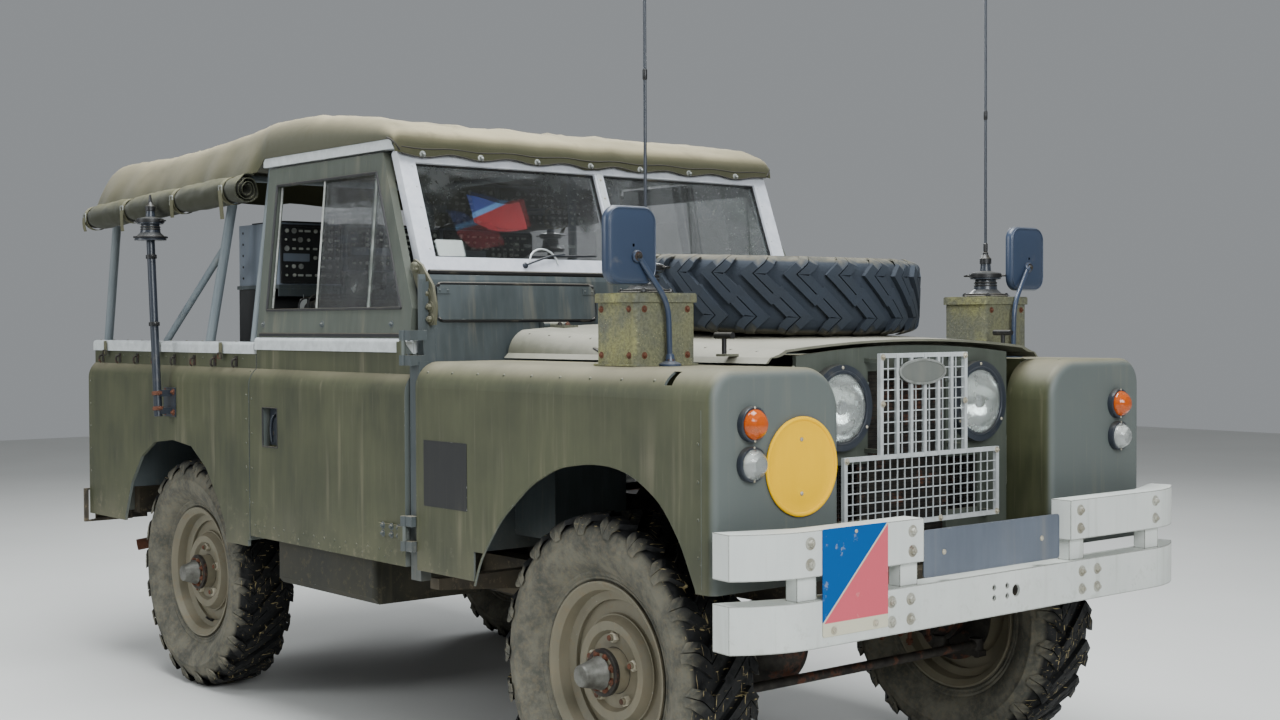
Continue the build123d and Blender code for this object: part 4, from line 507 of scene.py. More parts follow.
@dataclass(frozen=True)
class Paint(Finish):
    """Brushed army paint on sheet metal, with fading, dust, chips, scratches and rust, and a painted
    sky reflection on faces that look forward.
    """

    colour: Colour
    faded: Colour
    under: Colour = BARE_ALLOY
    fade: float = 0.5
    lying: float = 0.5
    streaks: float = 0.45
    splash: float = 0.6
    splash_top: float = 0.75
    chips: float = 0.42
    chip_width: float = 0.003
    scuffs: float = 0.16
    rust: float = 0.0
    gloss: float = 0.5
    dent_depth: float = 0.004
    dent_scale: float = 2.2
    dust: Colour = DUST
    specular: float = 0.5
    # colour of faces that look forward: a painted sky reflection
    ahead: Colour | None = None

    def wire(self, g: Graph, shader: bpy.types.Node) -> None:
        """Wires colour, dirt and wear over a dented ground, with a painted sky reflection on faces
        that look forward.

        Args:
            g: The tree that it is wired in.
            shader: The material's shader node.
        """
        patch = g.between(g.cloud(3.1, detail=5, roughness=0.6), 0.3, 0.72)
        brushed = g.cloud(1.0, (40, 40, 6), 3)
        colour = g.mix(g.times(patch, self.fade), self.colour, self.faded)
        colour = g.mix(g.times(g.between(brushed, 0.35, 0.7), 0.22), colour, self.faded)
        # painted sky reflection: faces that look forward are mixed towards the ahead colour
        if self.ahead:
            forward = g.between(g.axis("X", "Normal"), 0.3, 0.95, 0.0, 0.85)
            colour = g.mix(forward, colour, self.ahead)
        dust = g.effect(ROAD_DUST, Lying=self.lying, Streaks=self.streaks, Splash=self.splash,
                        Splash_top=self.splash_top).outputs["Mask"]
        colour = g.mix(dust, colour, self.dust)
        scratch = g.effect(SCUFFS, Amount=self.scuffs).outputs["Mask"]
        colour = g.mix(g.times(scratch, 0.6), colour, self.faded)
        rough = g.maths("ADD", self.gloss, g.maths("MULTIPLY", dust, 0.3), clamp=True)
        rough = g.maths("ADD", rough, g.maths("MULTIPLY", patch, 0.1), clamp=True)
        if self.rust > 0:
            bloom = g.effect(RUST_BLOOM, Amount=self.rust)
            rust = g.mix(bloom.outputs["Mottle"], RUST, tone(62, 40, 30))
            colour = g.mix(bloom.outputs["Mask"], colour, rust)
            rough = g.either(rough, g.maths("MULTIPLY", bloom.outputs["Mask"], 0.85))
        chips = g.effect(EDGE_WEAR, Width=self.chip_width, Amount=self.chips).outputs["Mask"]
        colour = g.mix(chips, colour, self.under)
        g.feed(shader.inputs["Base Color"], colour)
        g.feed(shader.inputs["Roughness"], rough)
        g.feed(shader.inputs["Metallic"], g.times(chips, 0.5))
        shader.inputs["Specular IOR Level"].default_value = self.specular
        dents = g.effect(DENTS, Scale=self.dent_scale).outputs["Height"]
        normal = g.bump(dents, self.dent_depth)
        g.feed(shader.inputs["Normal"], g.bump(chips, -0.0002, 0.6, normal))


@dataclass(frozen=True)
class Metal(Finish):
    """Bare metal: galvanised sheet, steel or cast iron, with rust and grime."""

    colour: Colour
    dull: Colour
    metallic: float = 0.8
    gloss: float = 0.42
    rust: float = 0.2
    grime: float = 0.4
    grain: float = 24.0
    bump_depth: float = 0.0006

    def wire(self, g: Graph, shader: bpy.types.Node) -> None:
        """Wires a mottled metal with grime in its hollows and rust blooms.

        Args:
            g: The tree that it is wired in.
            shader: The material's shader node.
        """
        spangle = g.cloud(self.grain, detail=6, roughness=0.65)
        colour = g.mix(g.between(spangle, 0.3, 0.7), self.colour, self.dull)
        dirt = g.between(g.cloud(9.0, (1, 1, 0.6), 6, 0.7), 0.72 - 0.4 * self.grime, 0.86)
        colour = g.mix(g.times(dirt, 0.75), colour, tone(62, 58, 48))
        bloom = g.effect(RUST_BLOOM, Amount=self.rust, Scale=14.0)
        rust = g.mix(bloom.outputs["Mottle"], RUST, tone(70, 42, 28))
        colour = g.mix(bloom.outputs["Mask"], colour, rust)
        scratch = g.effect(SCUFFS, Amount=0.3).outputs["Mask"]
        colour = g.mix(g.times(scratch, 0.35), colour, self.colour)
        g.feed(shader.inputs["Base Color"], colour)
        worn = g.either(bloom.outputs["Mask"], dirt)
        g.feed(shader.inputs["Metallic"], g.maths("SUBTRACT", self.metallic,
                                                  g.maths("MULTIPLY", worn, self.metallic)))
        rough = g.maths("ADD", self.gloss, g.maths("MULTIPLY", spangle, 0.2))
        g.feed(shader.inputs["Roughness"], g.either(rough, g.maths("MULTIPLY", worn, 0.85)))
        height = g.maths("ADD", g.maths("MULTIPLY", spangle, 0.4), bloom.outputs["Mask"])
        g.feed(shader.inputs["Normal"], g.bump(height, self.bump_depth))


@dataclass(frozen=True)
class Rubber(Finish):
    """Rubber or hard plastic, with a dusty bloom in its pores."""

    colour: Colour
    dusty: Colour = DUST
    dirt: float = 0.3
    gloss: float = 0.5
    grain: float = 180.0
    depth: float = 0.0003

    def wire(self, g: Graph, shader: bpy.types.Node) -> None:
        """Wires a grained dark ground with soft dust.

        Args:
            g: The tree that it is wired in.
            shader: The material's shader node.
        """
        patch = g.between(g.cloud(12.0, detail=6, roughness=0.65), 0.68 - 0.4 * self.dirt, 0.8)
        up = g.between(g.axis("Z", "Normal"), 0.3, 1.0)
        mask = g.times(g.either(patch, g.times(up, 0.6)), min(1.0, self.dirt * 1.4))
        g.feed(shader.inputs["Base Color"], g.mix(mask, self.colour, self.dusty))
        g.feed(shader.inputs["Roughness"],
               g.maths("ADD", self.gloss, g.maths("MULTIPLY", mask, 0.35), clamp=True))
        grain = g.cloud(self.grain, detail=4)
        g.feed(shader.inputs["Normal"], g.bump(grain, self.depth))


@dataclass(frozen=True)
class TyreRubber(Finish):
    """Tyre rubber: dusty sidewall, wet black mud with straw on the tread of the road wheels."""

    muddy: float = 1.0
    side: Colour = tone(104, 101, 89)
    wet: Colour = tone(5, 6, 8)

    def wire(self, g: Graph, shader: bpy.types.Node) -> None:
        """Wires the sidewall and the tread apart by the height painted on the mesh.

        Args:
            g: The tree that it is wired in.
            shader: The material's shader node.
        """
        tread = g.node("Attribute", attribute_name="tread").outputs["Fac"]
        patch = g.between(g.cloud(14.0, detail=6, roughness=0.7), 0.34, 0.66)
        side = g.mix(patch, self.side, tone(70, 70, 64))
        fine = g.between(g.cloud(90.0, detail=4), 0.45, 0.7)
        side = g.mix(g.times(fine, 0.35), side, DRY_MUD)
        top = g.mix(g.times(patch, 0.18), self.wet, tone(44, 43, 40))
        straw = g.between(g.cloud(1.0, (18, 230, 26), 2, 0.4, 0.8), 0.69, 0.71)
        straw = g.either(straw, g.between(g.cloud(1.0, (30, 34, 240), 2, 0.4, 0.8), 0.69, 0.71))
        top = g.mix(g.times(straw, 0.75 * self.muddy), top, tone(168, 152, 108))
        g.feed(shader.inputs["Base Color"], g.mix(tread, side, top))
        wet = g.between(g.cloud(30.0, detail=3), 0.35, 0.6)
        shine = g.maths("SUBTRACT", 0.86, g.times(g.times(tread, wet), 0.3 * self.muddy))
        g.feed(shader.inputs["Roughness"], shine)
        shader.inputs["Specular IOR Level"].default_value = 0.3
        clods = g.cloud(70.0, detail=6, roughness=0.7)
        g.feed(shader.inputs["Normal"], g.bump(clods, 0.0015))


@dataclass(frozen=True)
class Cloth(Finish):
    """Canvas or webbing, paler on top from sun-bleaching and painted top light, with painted shade
    on the sides, a weave, stains and creases.
    """

    colour: Colour
    bleached: Colour
    stain: Colour
    bleach: float = 0.8
    threads: float = 420.0
    crease: float = 0.0015

    def wire(self, g: Graph, shader: bpy.types.Node) -> None:
        """Wires a woven ground with bleaching and painted light on what faces up.

        Args:
            g: The tree that it is wired in.
            shader: The material's shader node.
        """
        # Painted light: what faces up is mixed to the pale top colour (sun-bleaching and painted top
        # light), so the sides keep the darker colour as painted shade.
        up = g.between(g.axis("Z", "Normal"), 0.15, 0.97)
        patch = g.between(g.cloud(3.0, detail=6, roughness=0.6), 0.3, 0.7)
        share = g.times(up, g.maths("ADD", g.maths("MULTIPLY", patch, 0.35), self.bleach - 0.3))
        colour = g.mix(share, self.colour, self.bleached)
        marks = g.between(g.cloud(5.5, (1, 1, 2), 7, 0.72), 0.52, 0.72)
        colour = g.mix(g.times(marks, 0.4), colour, self.stain)
        weave = g.effect(WEAVE, Threads=self.threads)
        colour = g.mix(g.times(weave.outputs["Shade"], 0.16), colour, self.stain)
        g.feed(shader.inputs["Base Color"], colour)
        g.feed(shader.inputs["Roughness"], g.between(patch, 0.0, 1.0, 0.86, 0.95))
        shader.inputs["Sheen Weight"].default_value = 0.1
        shader.inputs["Specular IOR Level"].default_value = 0.25
        fold = g.cloud(16.0, (1, 1, 1), 3, 0.5, 0.8)
        normal = g.bump(fold, self.crease)
        g.feed(shader.inputs["Normal"], g.bump(weave.outputs["Height"], 0.0002, 0.6, normal))


@dataclass(frozen=True)
class Glass(Finish):
    """Dusty window glass, with clear fans where the wipers have swept."""

    haze: float = 0.22
    fans: tuple[Point, ...] = ()
    fan_radius: float = 0.3

    def wire(self, g: Graph, shader: bpy.types.Node) -> None:
        """Wires thin clear glass that dust makes partly rough and pale.

        Args:
            g: The tree that it is wired in.
            shader: The material's shader node.
        """
        shader.inputs["Transmission Weight"].default_value = 1.0
        shader.inputs["IOR"].default_value = 1.45
        dust = g.between(g.cloud(7.0, detail=7, roughness=0.7), 0.3, 0.8)
        dots = g.between(g.cloud(160.0, detail=3), 0.62, 0.7)
        dust = g.either(dust, g.times(dots, 0.8))
        for centre in self.fans:
            far = g.node("VectorMath", operation="DISTANCE")
            g.feed(far.inputs[0], g.place())
            far.inputs[1].default_value = centre
            rim = self.fan_radius
            dust = g.times(dust, g.between(far.outputs["Value"], rim, rim + 0.012, 0.35, 1.0))
        mask = g.times(dust, self.haze)
        g.feed(shader.inputs["Base Color"], g.mix(mask, tone(206, 216, 212), tone(186, 186, 174)))
        g.feed(shader.inputs["Roughness"], g.between(mask, 0.0, 0.5, 0.02, 0.5))
        g.feed(shader.inputs["Alpha"], g.between(mask, 0.0, 0.3, 0.32, 0.75))


@dataclass(frozen=True)
class Lens(Finish):
    """Moulded lamp glass."""

    colour: Colour
    clear: float = 0.7
    gloss: float = 0.12

    def wire(self, g: Graph, shader: bpy.types.Node) -> None:
        """Wires tinted glass with grime in its ribs.

        Args:
            g: The tree that it is wired in.
            shader: The material's shader node.
        """
        grime = g.between(g.cloud(40.0, detail=5), 0.5, 0.8)
        g.feed(shader.inputs["Base Color"], g.mix(g.times(grime, 0.4), self.colour, DRY_MUD))
        g.feed(shader.inputs["Roughness"], g.between(grime, 0, 1, self.gloss, self.gloss + 0.35))
        shader.inputs["Transmission Weight"].default_value = self.clear
        shader.inputs["IOR"].default_value = 1.5


@dataclass(frozen=True)
class StainedBox(Finish):
    """Moulded box grown over with lichen and algae."""

    colour: Colour = tone(90, 92, 80)
    growth: Colour = tone(146, 144, 86)

    def wire(self, g: Graph, shader: bpy.types.Node) -> None:
        """Wires growth that is strongest on the side that faces away from the bonnet.

        Args:
            g: The tree that it is wired in.
            shader: The material's shader node.
        """
        moss = g.effect(GROWTH, Amount=1.0)
        out = g.between(g.maths("ABSOLUTE", g.axis("Y", "Normal")), 0.3, 0.8, 0.35, 1.0)
        colour = g.mix(g.times(moss.outputs["Stain"], out), self.colour, self.growth)
        fine = g.between(g.cloud(130.0, detail=5, roughness=0.7), 0.4, 0.62)
        colour = g.mix(g.times(fine, 0.5), colour, tone(72, 70, 58))
        colour = g.mix(moss.outputs["Speckle"], colour, tone(170, 166, 120))
        run = g.between(g.cloud(1.0, (30, 30, 2.0), 4), 0.5, 0.72)
        colour = g.mix(g.times(run, 0.4), colour, tone(112, 108, 72))
        g.feed(shader.inputs["Base Color"], colour)
        g.feed(shader.inputs["Roughness"], g.between(fine, 0, 1, 0.7, 0.9))
        g.feed(shader.inputs["Normal"], g.bump(fine, 0.0004))


@dataclass(frozen=True)
class TwoColours(Finish):
    """A plate painted in two colours along its diagonal, with a pale edge."""

    low: Point = (0.0, -0.622, 0.552)
    high: Point = (0.0, -0.410, 0.790)
    upper: Colour = tone(0, 78, 142)
    lower: Colour = tone(198, 88, 100)
    edge: Colour = tone(196, 192, 170)

    def wire(self, g: Graph, shader: bpy.types.Node) -> None:
        """Wires the diagonal, the edge and the pale foot from the plate's own coordinates.

        Args:
            g: The tree that it is wired in.
            shader: The material's shader node.
        """
        y, z = g.axis("Y"), g.axis("Z")
        foot = self.low[2] + 0.03
        across = g.between(y, self.low[1], self.high[1])
        share = g.node("MapRange")
        g.feed(share.inputs["Value"], y)
        share.inputs["From Min"].default_value = self.low[1]
        share.inputs["From Max"].default_value = self.high[1]
        share.inputs["To Min"].default_value = foot
        share.inputs["To Max"].default_value = self.high[2]
        gap = g.maths("SUBTRACT", z, share.outputs["Result"])
        colour = g.mix(g.between(gap, -0.0008, 0.0008), self.lower, self.upper)
        line = g.between(g.maths("ABSOLUTE", gap), 0.0032, 0.0024)
        colour = g.mix(line, colour, self.edge)
        worn = g.between(g.cloud(30.0, detail=6, roughness=0.7), 0.6, 0.7)
        colour = g.mix(g.times(worn, 0.3), colour, self.edge)
        colour = g.mix(g.between(z, foot + 0.001, foot - 0.001), colour, self.edge)
        g.feed(shader.inputs["Base Color"], colour)
        g.feed(shader.inputs["Roughness"], g.between(across, 0, 1, 0.76, 0.84))
        shader.inputs["Specular IOR Level"].default_value = 0.12
        g.feed(shader.inputs["Normal"], g.bump(g.cloud(60.0), 0.0003))


@dataclass(frozen=True)
class Pennant(Finish):
    """Thin cloth in two plain colours with a pale band between them."""

    upper: Colour = tone(34, 52, 120)
    lower: Colour = tone(150, 32, 36)
    band: Colour = tone(96, 140, 190)
    slope: float = 0.35
    band_low: float = 1.716
    band_high: float = 1.732
    edge: float = 0.002

    def wire(self, g: Graph, shader: bpy.types.Node) -> None:
        """Wires the colours from the height and width of the cloth.

        Args:
            g: The tree that it is wired in.
            shader: The material's shader node.
        """
        place = g.maths("SUBTRACT", g.axis("Z"), g.maths("MULTIPLY", g.axis("Y"), self.slope))
        colour = g.mix(g.between(place, self.band_low, self.band_low + self.edge), self.lower,
                       self.band)
        colour = g.mix(g.between(place, self.band_high, self.band_high + self.edge), colour,
                       self.upper)
        weave = g.effect(WEAVE, Threads=900.0)
        colour = g.mix(g.times(weave.outputs["Shade"], 0.2), colour, tone(20, 20, 30))
        g.feed(shader.inputs["Base Color"], colour)
        g.feed(shader.inputs["Roughness"], g.between(weave.outputs["Height"], 0, 1, 0.7, 0.85))


class Finishes:
    """Every finish of the car, by the maker's words for it."""

    # the body's ahead colour is a painted bluish sky reflection on the noses of the wings and other
    # forward faces
    body = Paint("body_paint", "body_paint", tone(48, 51, 31), tone(83, 85, 57), streaks=0.35,
                 ahead=tone(92, 99, 98))
    front = Paint("front_paint", "front_paint", tone(52, 59, 60), tone(84, 92, 95), streaks=0.3)
    hinge = Paint("hinge_paint", "front_paint", tone(62, 63, 48), tone(94, 92, 72), streaks=0.2,
                  splash=0.0, dent_depth=0.0004, chips=0.12)
    bonnet = Paint("bonnet_paint", "bonnet_paint", tone(86, 87, 74), tone(122, 120, 106),
                   lying=0.65, fade=0.8, dust=tone(156, 152, 138), gloss=0.38)
    wheel = Paint("wheel_paint", "wheel_paint", tone(98, 94, 78), tone(128, 122, 102), streaks=0.2,
                  splash_top=1.2, splash=0.75, rust=0.12, dust=DRY_MUD, dent_depth=0.001)
    bumper = Paint("bumper_paint", "bumper_paint", tone(196, 200, 196), tone(214, 216, 210),
                   under=tone(88, 86, 74), lying=0.35, streaks=0.5, splash=0.5, chips=0.8,
                   chip_width=0.005, scuffs=0.3, dust=tone(142, 144, 128), rust=0.05, gloss=0.42,
                   dent_depth=0.002)
    chassis = Paint("chassis_paint", "chassis_paint", tone(34, 32, 29), tone(54, 49, 42),
                    under=RUST, rust=0.34, splash_top=1.2, splash=0.8, dust=DRY_MUD, gloss=0.7)
    panel = Paint("panel_paint", "front_paint", tone(60, 65, 57), tone(86, 92, 84), streaks=0.3,
                  gloss=0.6)
    tank = Paint("tank_paint", "chassis_paint", tone(26, 27, 19), tone(42, 42, 30), splash=0.6,
                 rust=0.15, dust=tone(92, 84, 66), gloss=0.65)
    radio = Paint("radio_paint", "radio_paint", tone(40, 44, 42), tone(66, 70, 66), lying=0.3,
                  streaks=0.1, splash=0.0, dent_depth=0.0003)
    case = Paint("radio_case", "radio_paint", tone(96, 106, 118), tone(124, 132, 142), lying=0.2,
                 streaks=0.15, splash=0.0, dent_depth=0.0004)
    yellow = Paint("yellow_paint", "plate_paint", tone(244, 190, 0), tone(232, 176, 0), fade=0.3,
                   lying=0.1, streaks=0.06, splash=0.0, dent_depth=0.0012, gloss=0.72,
                   specular=0.12)
    black = Paint("black_paint", "plate_paint", tone(12, 13, 14), tone(26, 27, 28), lying=0.15,
                  streaks=0.1, splash=0.0, gloss=0.5, dent_depth=0.0006, scuffs=0.08)
    plate = Paint("dark_plate", "plate_paint", tone(82, 89, 100), tone(106, 114, 126), lying=0.2,
                  streaks=0.2, splash=0.0, gloss=0.3, dent_depth=0.0012, scuffs=0.1)
    galvanised = Metal("galvanised", "galvanised", tone(206, 210, 210), tone(184, 188, 188),
                       metallic=0.3, rust=0.03, grime=0.24)
    frame = Metal("pale_frame", "galvanised", tone(216, 218, 224), tone(196, 200, 208),
                  metallic=0.2, gloss=0.38, rust=0.02, grime=0.2)
    alloy = Metal("dull_alloy", "galvanised", tone(168, 170, 166), tone(128, 130, 124),
                  metallic=0.6, rust=0.02, grime=0.35)
    steel = Metal("dark_steel", "dark_steel", tone(60, 56, 50), tone(36, 33, 30), metallic=0.5,
                  rust=0.5, grime=0.5, gloss=0.55)
    rusty = Metal("rusty_steel", "dark_steel", tone(92, 62, 44), tone(60, 44, 36), metallic=0.3,
                  rust=0.8, grime=0.4, gloss=0.7)
    hub = Metal("hub_steel", "dark_steel", tone(112, 112, 106), tone(74, 72, 66), metallic=0.6,
                rust=0.08, grime=0.45)
    nut = Metal("pale_nut", "galvanised", tone(196, 190, 172), tone(150, 142, 122), metallic=0.35,
                rust=0.25, grime=0.3)
    tyre = TyreRubber("tyre_rubber", "tyre_rubber")
    spare = TyreRubber("spare_rubber", "tyre_rubber", muddy=0.0, wet=tone(44, 51, 60))
    rubber = Rubber("black_rubber", "black_rubber", tone(24, 24, 26))
    plastic = Rubber("black_plastic", "black_plastic", tone(42, 47, 55), gloss=0.32, dirt=0.2,
                     depth=0.0002)
    vinyl = Rubber("seat_vinyl", "seat_cloth", tone(32, 31, 29), gloss=0.45, dirt=0.25, grain=320.0)
    # Cloth's second colour is the bleached top with painted top light; its first is darker on the
    # sides as painted shade.
    canvas = Cloth("hood_canvas", "canvas", tone(60, 60, 41), tone(172, 160, 128),
                   tone(74, 69, 50))
    webbing = Cloth("webbing", "canvas", tone(86, 84, 60), tone(124, 120, 92), tone(62, 60, 42),
                    threads=900.0, crease=0.0004)
    glass = Glass("window_glass", "glass", haze=0.3)
    screen = Glass("screen_glass", "glass", haze=0.42,
                   fans=((0.40, -0.365, 1.405), (0.40, 0.190, 1.405)), fan_radius=0.29)
    clear = Lens("clear_lens", "clear_lens", tone(238, 242, 238), clear=0.85)
    amber = Lens("amber_lens", "amber_lens", tone(206, 92, 14), clear=0.35)
    red = Lens("red_lens", "red_lens", tone(150, 14, 10), clear=0.35)
    box = StainedBox("lichen_box", "box_plastic")
    # the curtain's pale colour is bleaching with painted top light on the rolls, its dark one
    # painted shade below
    curtain = Cloth("curtain_canvas", "canvas", tone(48, 49, 34), tone(112, 108, 78),
                    tone(40, 39, 27), bleach=0.6)
    rope = Rubber("dark_rope", "canvas", tone(34, 31, 27), dirt=0.15, gloss=0.8, grain=700.0)
    reflector = Metal("lamp_reflector", "galvanised", tone(226, 230, 232), tone(206, 210, 212),
                      metallic=1.0, gloss=0.08, rust=0.0, grime=0.1, bump_depth=0.0)
    badge = Paint("badge_ground", "plate_paint", tone(92, 96, 92), tone(120, 122, 116), lying=0.2,
                  streaks=0.2, splash=0.0, dent_depth=0.0004)
    bumper_bolt = Metal("bumper_bolt", "bumper_paint", tone(176, 176, 166), tone(136, 130, 112),
                        metallic=0.2, rust=0.35, grime=0.35)
    card = Paint("white_card", "plate_paint", tone(214, 216, 214), tone(196, 198, 194), lying=0.0,
                 streaks=0.1, splash=0.0, dent_depth=0.0002, scuffs=0.0, chips=0.0)
    flag = Pennant("pennant", "seat_cloth")
    sign = TwoColours("two_colour_sign", "plate_paint")
    knob = Rubber("pale_knob", "radio_paint", tone(168, 170, 160), gloss=0.4, dirt=0.2)
    dial = Paint("dial_marks", "plate_paint", tone(206, 206, 196), tone(190, 190, 178), lying=0.0,
                 streaks=0.0, splash=0.0, dent_depth=0.0001, scuffs=0.0, chips=0.0)
    fins = Metal("radiator_fins", "dark_steel", tone(30, 31, 30), tone(20, 20, 19), metallic=0.4,
                 rust=0.1, grime=0.4, gloss=0.55)
    hoop = Paint("hoop_paint", "dark_steel", tone(96, 106, 112), tone(128, 134, 134),
                 under=tone(92, 66, 44), rust=0.2, chips=0.6, streaks=0.2, splash=0.0,
                 dent_depth=0.0005)
    tar = Rubber("black_coat", "dark_steel", tone(20, 20, 21), gloss=0.42, dirt=0.15)
    mirror_case = Rubber("mirror_case", "black_plastic", tone(46, 58, 78), gloss=0.32, dirt=0.2,
                         depth=0.0002)
    mirror = Metal("mirror_glass", "glass", tone(210, 216, 218), tone(196, 204, 206), metallic=1.0,
                   gloss=0.02, rust=0.0, grime=0.05, bump_depth=0.0)


# Mesh tools


def at(x: float = 0, y: float = 0, z: float = 0, rx: float = 0, ry: float = 0,
       rz: float = 0) -> Matrix:
    """A place: a turn about X, then Y, then Z in degrees, then a move in millimetres.

    Args:
        x: Move along X, in millimetres.
        y: Move along Y.
        z: Move along Z.
        rx: Turn about X, in degrees.
        ry: Turn about Y.
        rz: Turn about Z.

    Returns:
        The place.
    """
    turn = (Matrix.Rotation(math.radians(rz), 4, "Z") @ Matrix.Rotation(math.radians(ry), 4, "Y")
            @ Matrix.Rotation(math.radians(rx), 4, "X"))
    return Matrix.Translation((x, y, z)) @ turn


def facing(point: Point, direction: Point) -> Matrix:
    """A place at a point, with its local Z along a direction."""
    turn = Vector(direction).to_track_quat("Z", "Y").to_matrix().to_4x4()
    return Matrix.Translation(point) @ turn


def rounded(corners: Sequence[Point], radius: float, steps: int = 5) -> list[Vector]:
    """A path with its corners rounded, for bent bars and arms.

    Args:
        corners: The path's corners.
        radius: How far from each corner the bend starts.
        steps: Points in each bend.

    Returns:
        The points of the path.
    """
    spots = [Vector(c) for c in corners]
    path = [spots[0]]
    for before, here, after in zip(spots, spots[1:], spots[2:]):
        reach = min(radius, (before - here).length / 2, (after - here).length / 2)
        start = here + (before - here).normalized() * reach
        end = here + (after - here).normalized() * reach
        for step in range(steps + 1):
            t = step / steps
            path.append(start * (1 - t) ** 2 + here * 2 * t * (1 - t) + end * t * t)
    return path + [spots[-1]]


def oval(width: float, height: float, steps: int = 32) -> list[Flat]:
    """The outline of an oval about the middle."""
    return [(width / 2 * math.cos(math.tau * i / steps), height / 2 * math.sin(math.tau * i / steps))
            for i in range(steps)]


def soft_rectangle(width: float, height: float, radius: float, steps: int = 5) -> list[Flat]:
    """The outline of a rectangle with round corners, about the middle.

    Args:
        width: Its width.
        height: Its height.
        radius: Radius of its corners.
        steps: Sides of each corner.

    Returns:
        The outline's points.
    """
    points = []
    for cx, cy, start in ((1, 1, 0), (-1, 1, 90), (-1, -1, 180), (1, -1, 270)):
        for i in range(steps + 1):
            a = math.radians(start + 90 * i / steps)
            points.append((cx * (width / 2 - radius) + radius * math.cos(a),
                           cy * (height / 2 - radius) + radius * math.sin(a)))
    return points


def shrunk(outline: Sequence[Flat], share: Flat) -> list[Flat]:
    """An outline scaled about the middle."""
    return [(x * share[0], y * share[1]) for x, y in outline]


class Skin:
    """The outside of carried-over CAD nodes, for laying small parts on it."""

    sink: float = 0.3

    def __init__(self, *nodes: str) -> None:
        """Takes the nodes that a line may meet."""
        self.things = [frame["nodes"][name] for name in nodes]

    def touch(self, start: Point, direction: Point) -> tuple[Vector, Vector] | None:
        """Where a line first meets the nodes.

        Args:
            start: The line's start, in millimetres.
            direction: Which way it goes.

        Returns:
            The point and the surface's normal there, or None.
        """
        best = None
        for thing in self.things:
            back = thing.matrix_world.inverted()
            begin = back @ (Vector(start) * MM)
            way = (back.to_3x3() @ Vector(direction)).normalized()
            met, spot, normal, _ = thing.ray_cast(begin, way)
            if not met:
                continue
            spot = thing.matrix_world @ spot / MM
            normal = (thing.matrix_world.to_3x3() @ normal).normalized()
            far = (spot - Vector(start)).length
            if best is None or far < best[0]:
                best = (far, spot, normal)
        return best and (best[1], best[2])

    def seats(self, starts: Iterable[Point], direction: Point) -> Iterator[Matrix]:
        """Places on the surface, sunk a little, with local Z outwards.

        Args:
            starts: Where the lines start, in millimetres.
            direction: Which way they go.

        Returns:
            A place for each line that meets the surface.
        """
        for start in starts:
            met = self.touch(start, direction)
            if met is None:
                LOG.warning("no surface from %s", start)
            else:
                yield facing(met[0] - met[1] * self.sink, met[1])


def mend(mesh: bpy.types.Mesh, near: float = 0.0) -> None:
    """Turns a mesh's faces outwards.

    Args:
        mesh: The mesh.
        near: Points closer together than this, in metres, are joined first.
    """
    work = bmesh.new()
    work.from_mesh(mesh)
    if near:
        bmesh.ops.remove_doubles(work, verts=work.verts, dist=near)
    bmesh.ops.recalc_face_normals(work, faces=work.faces)
    work.to_mesh(mesh)
    work.free()


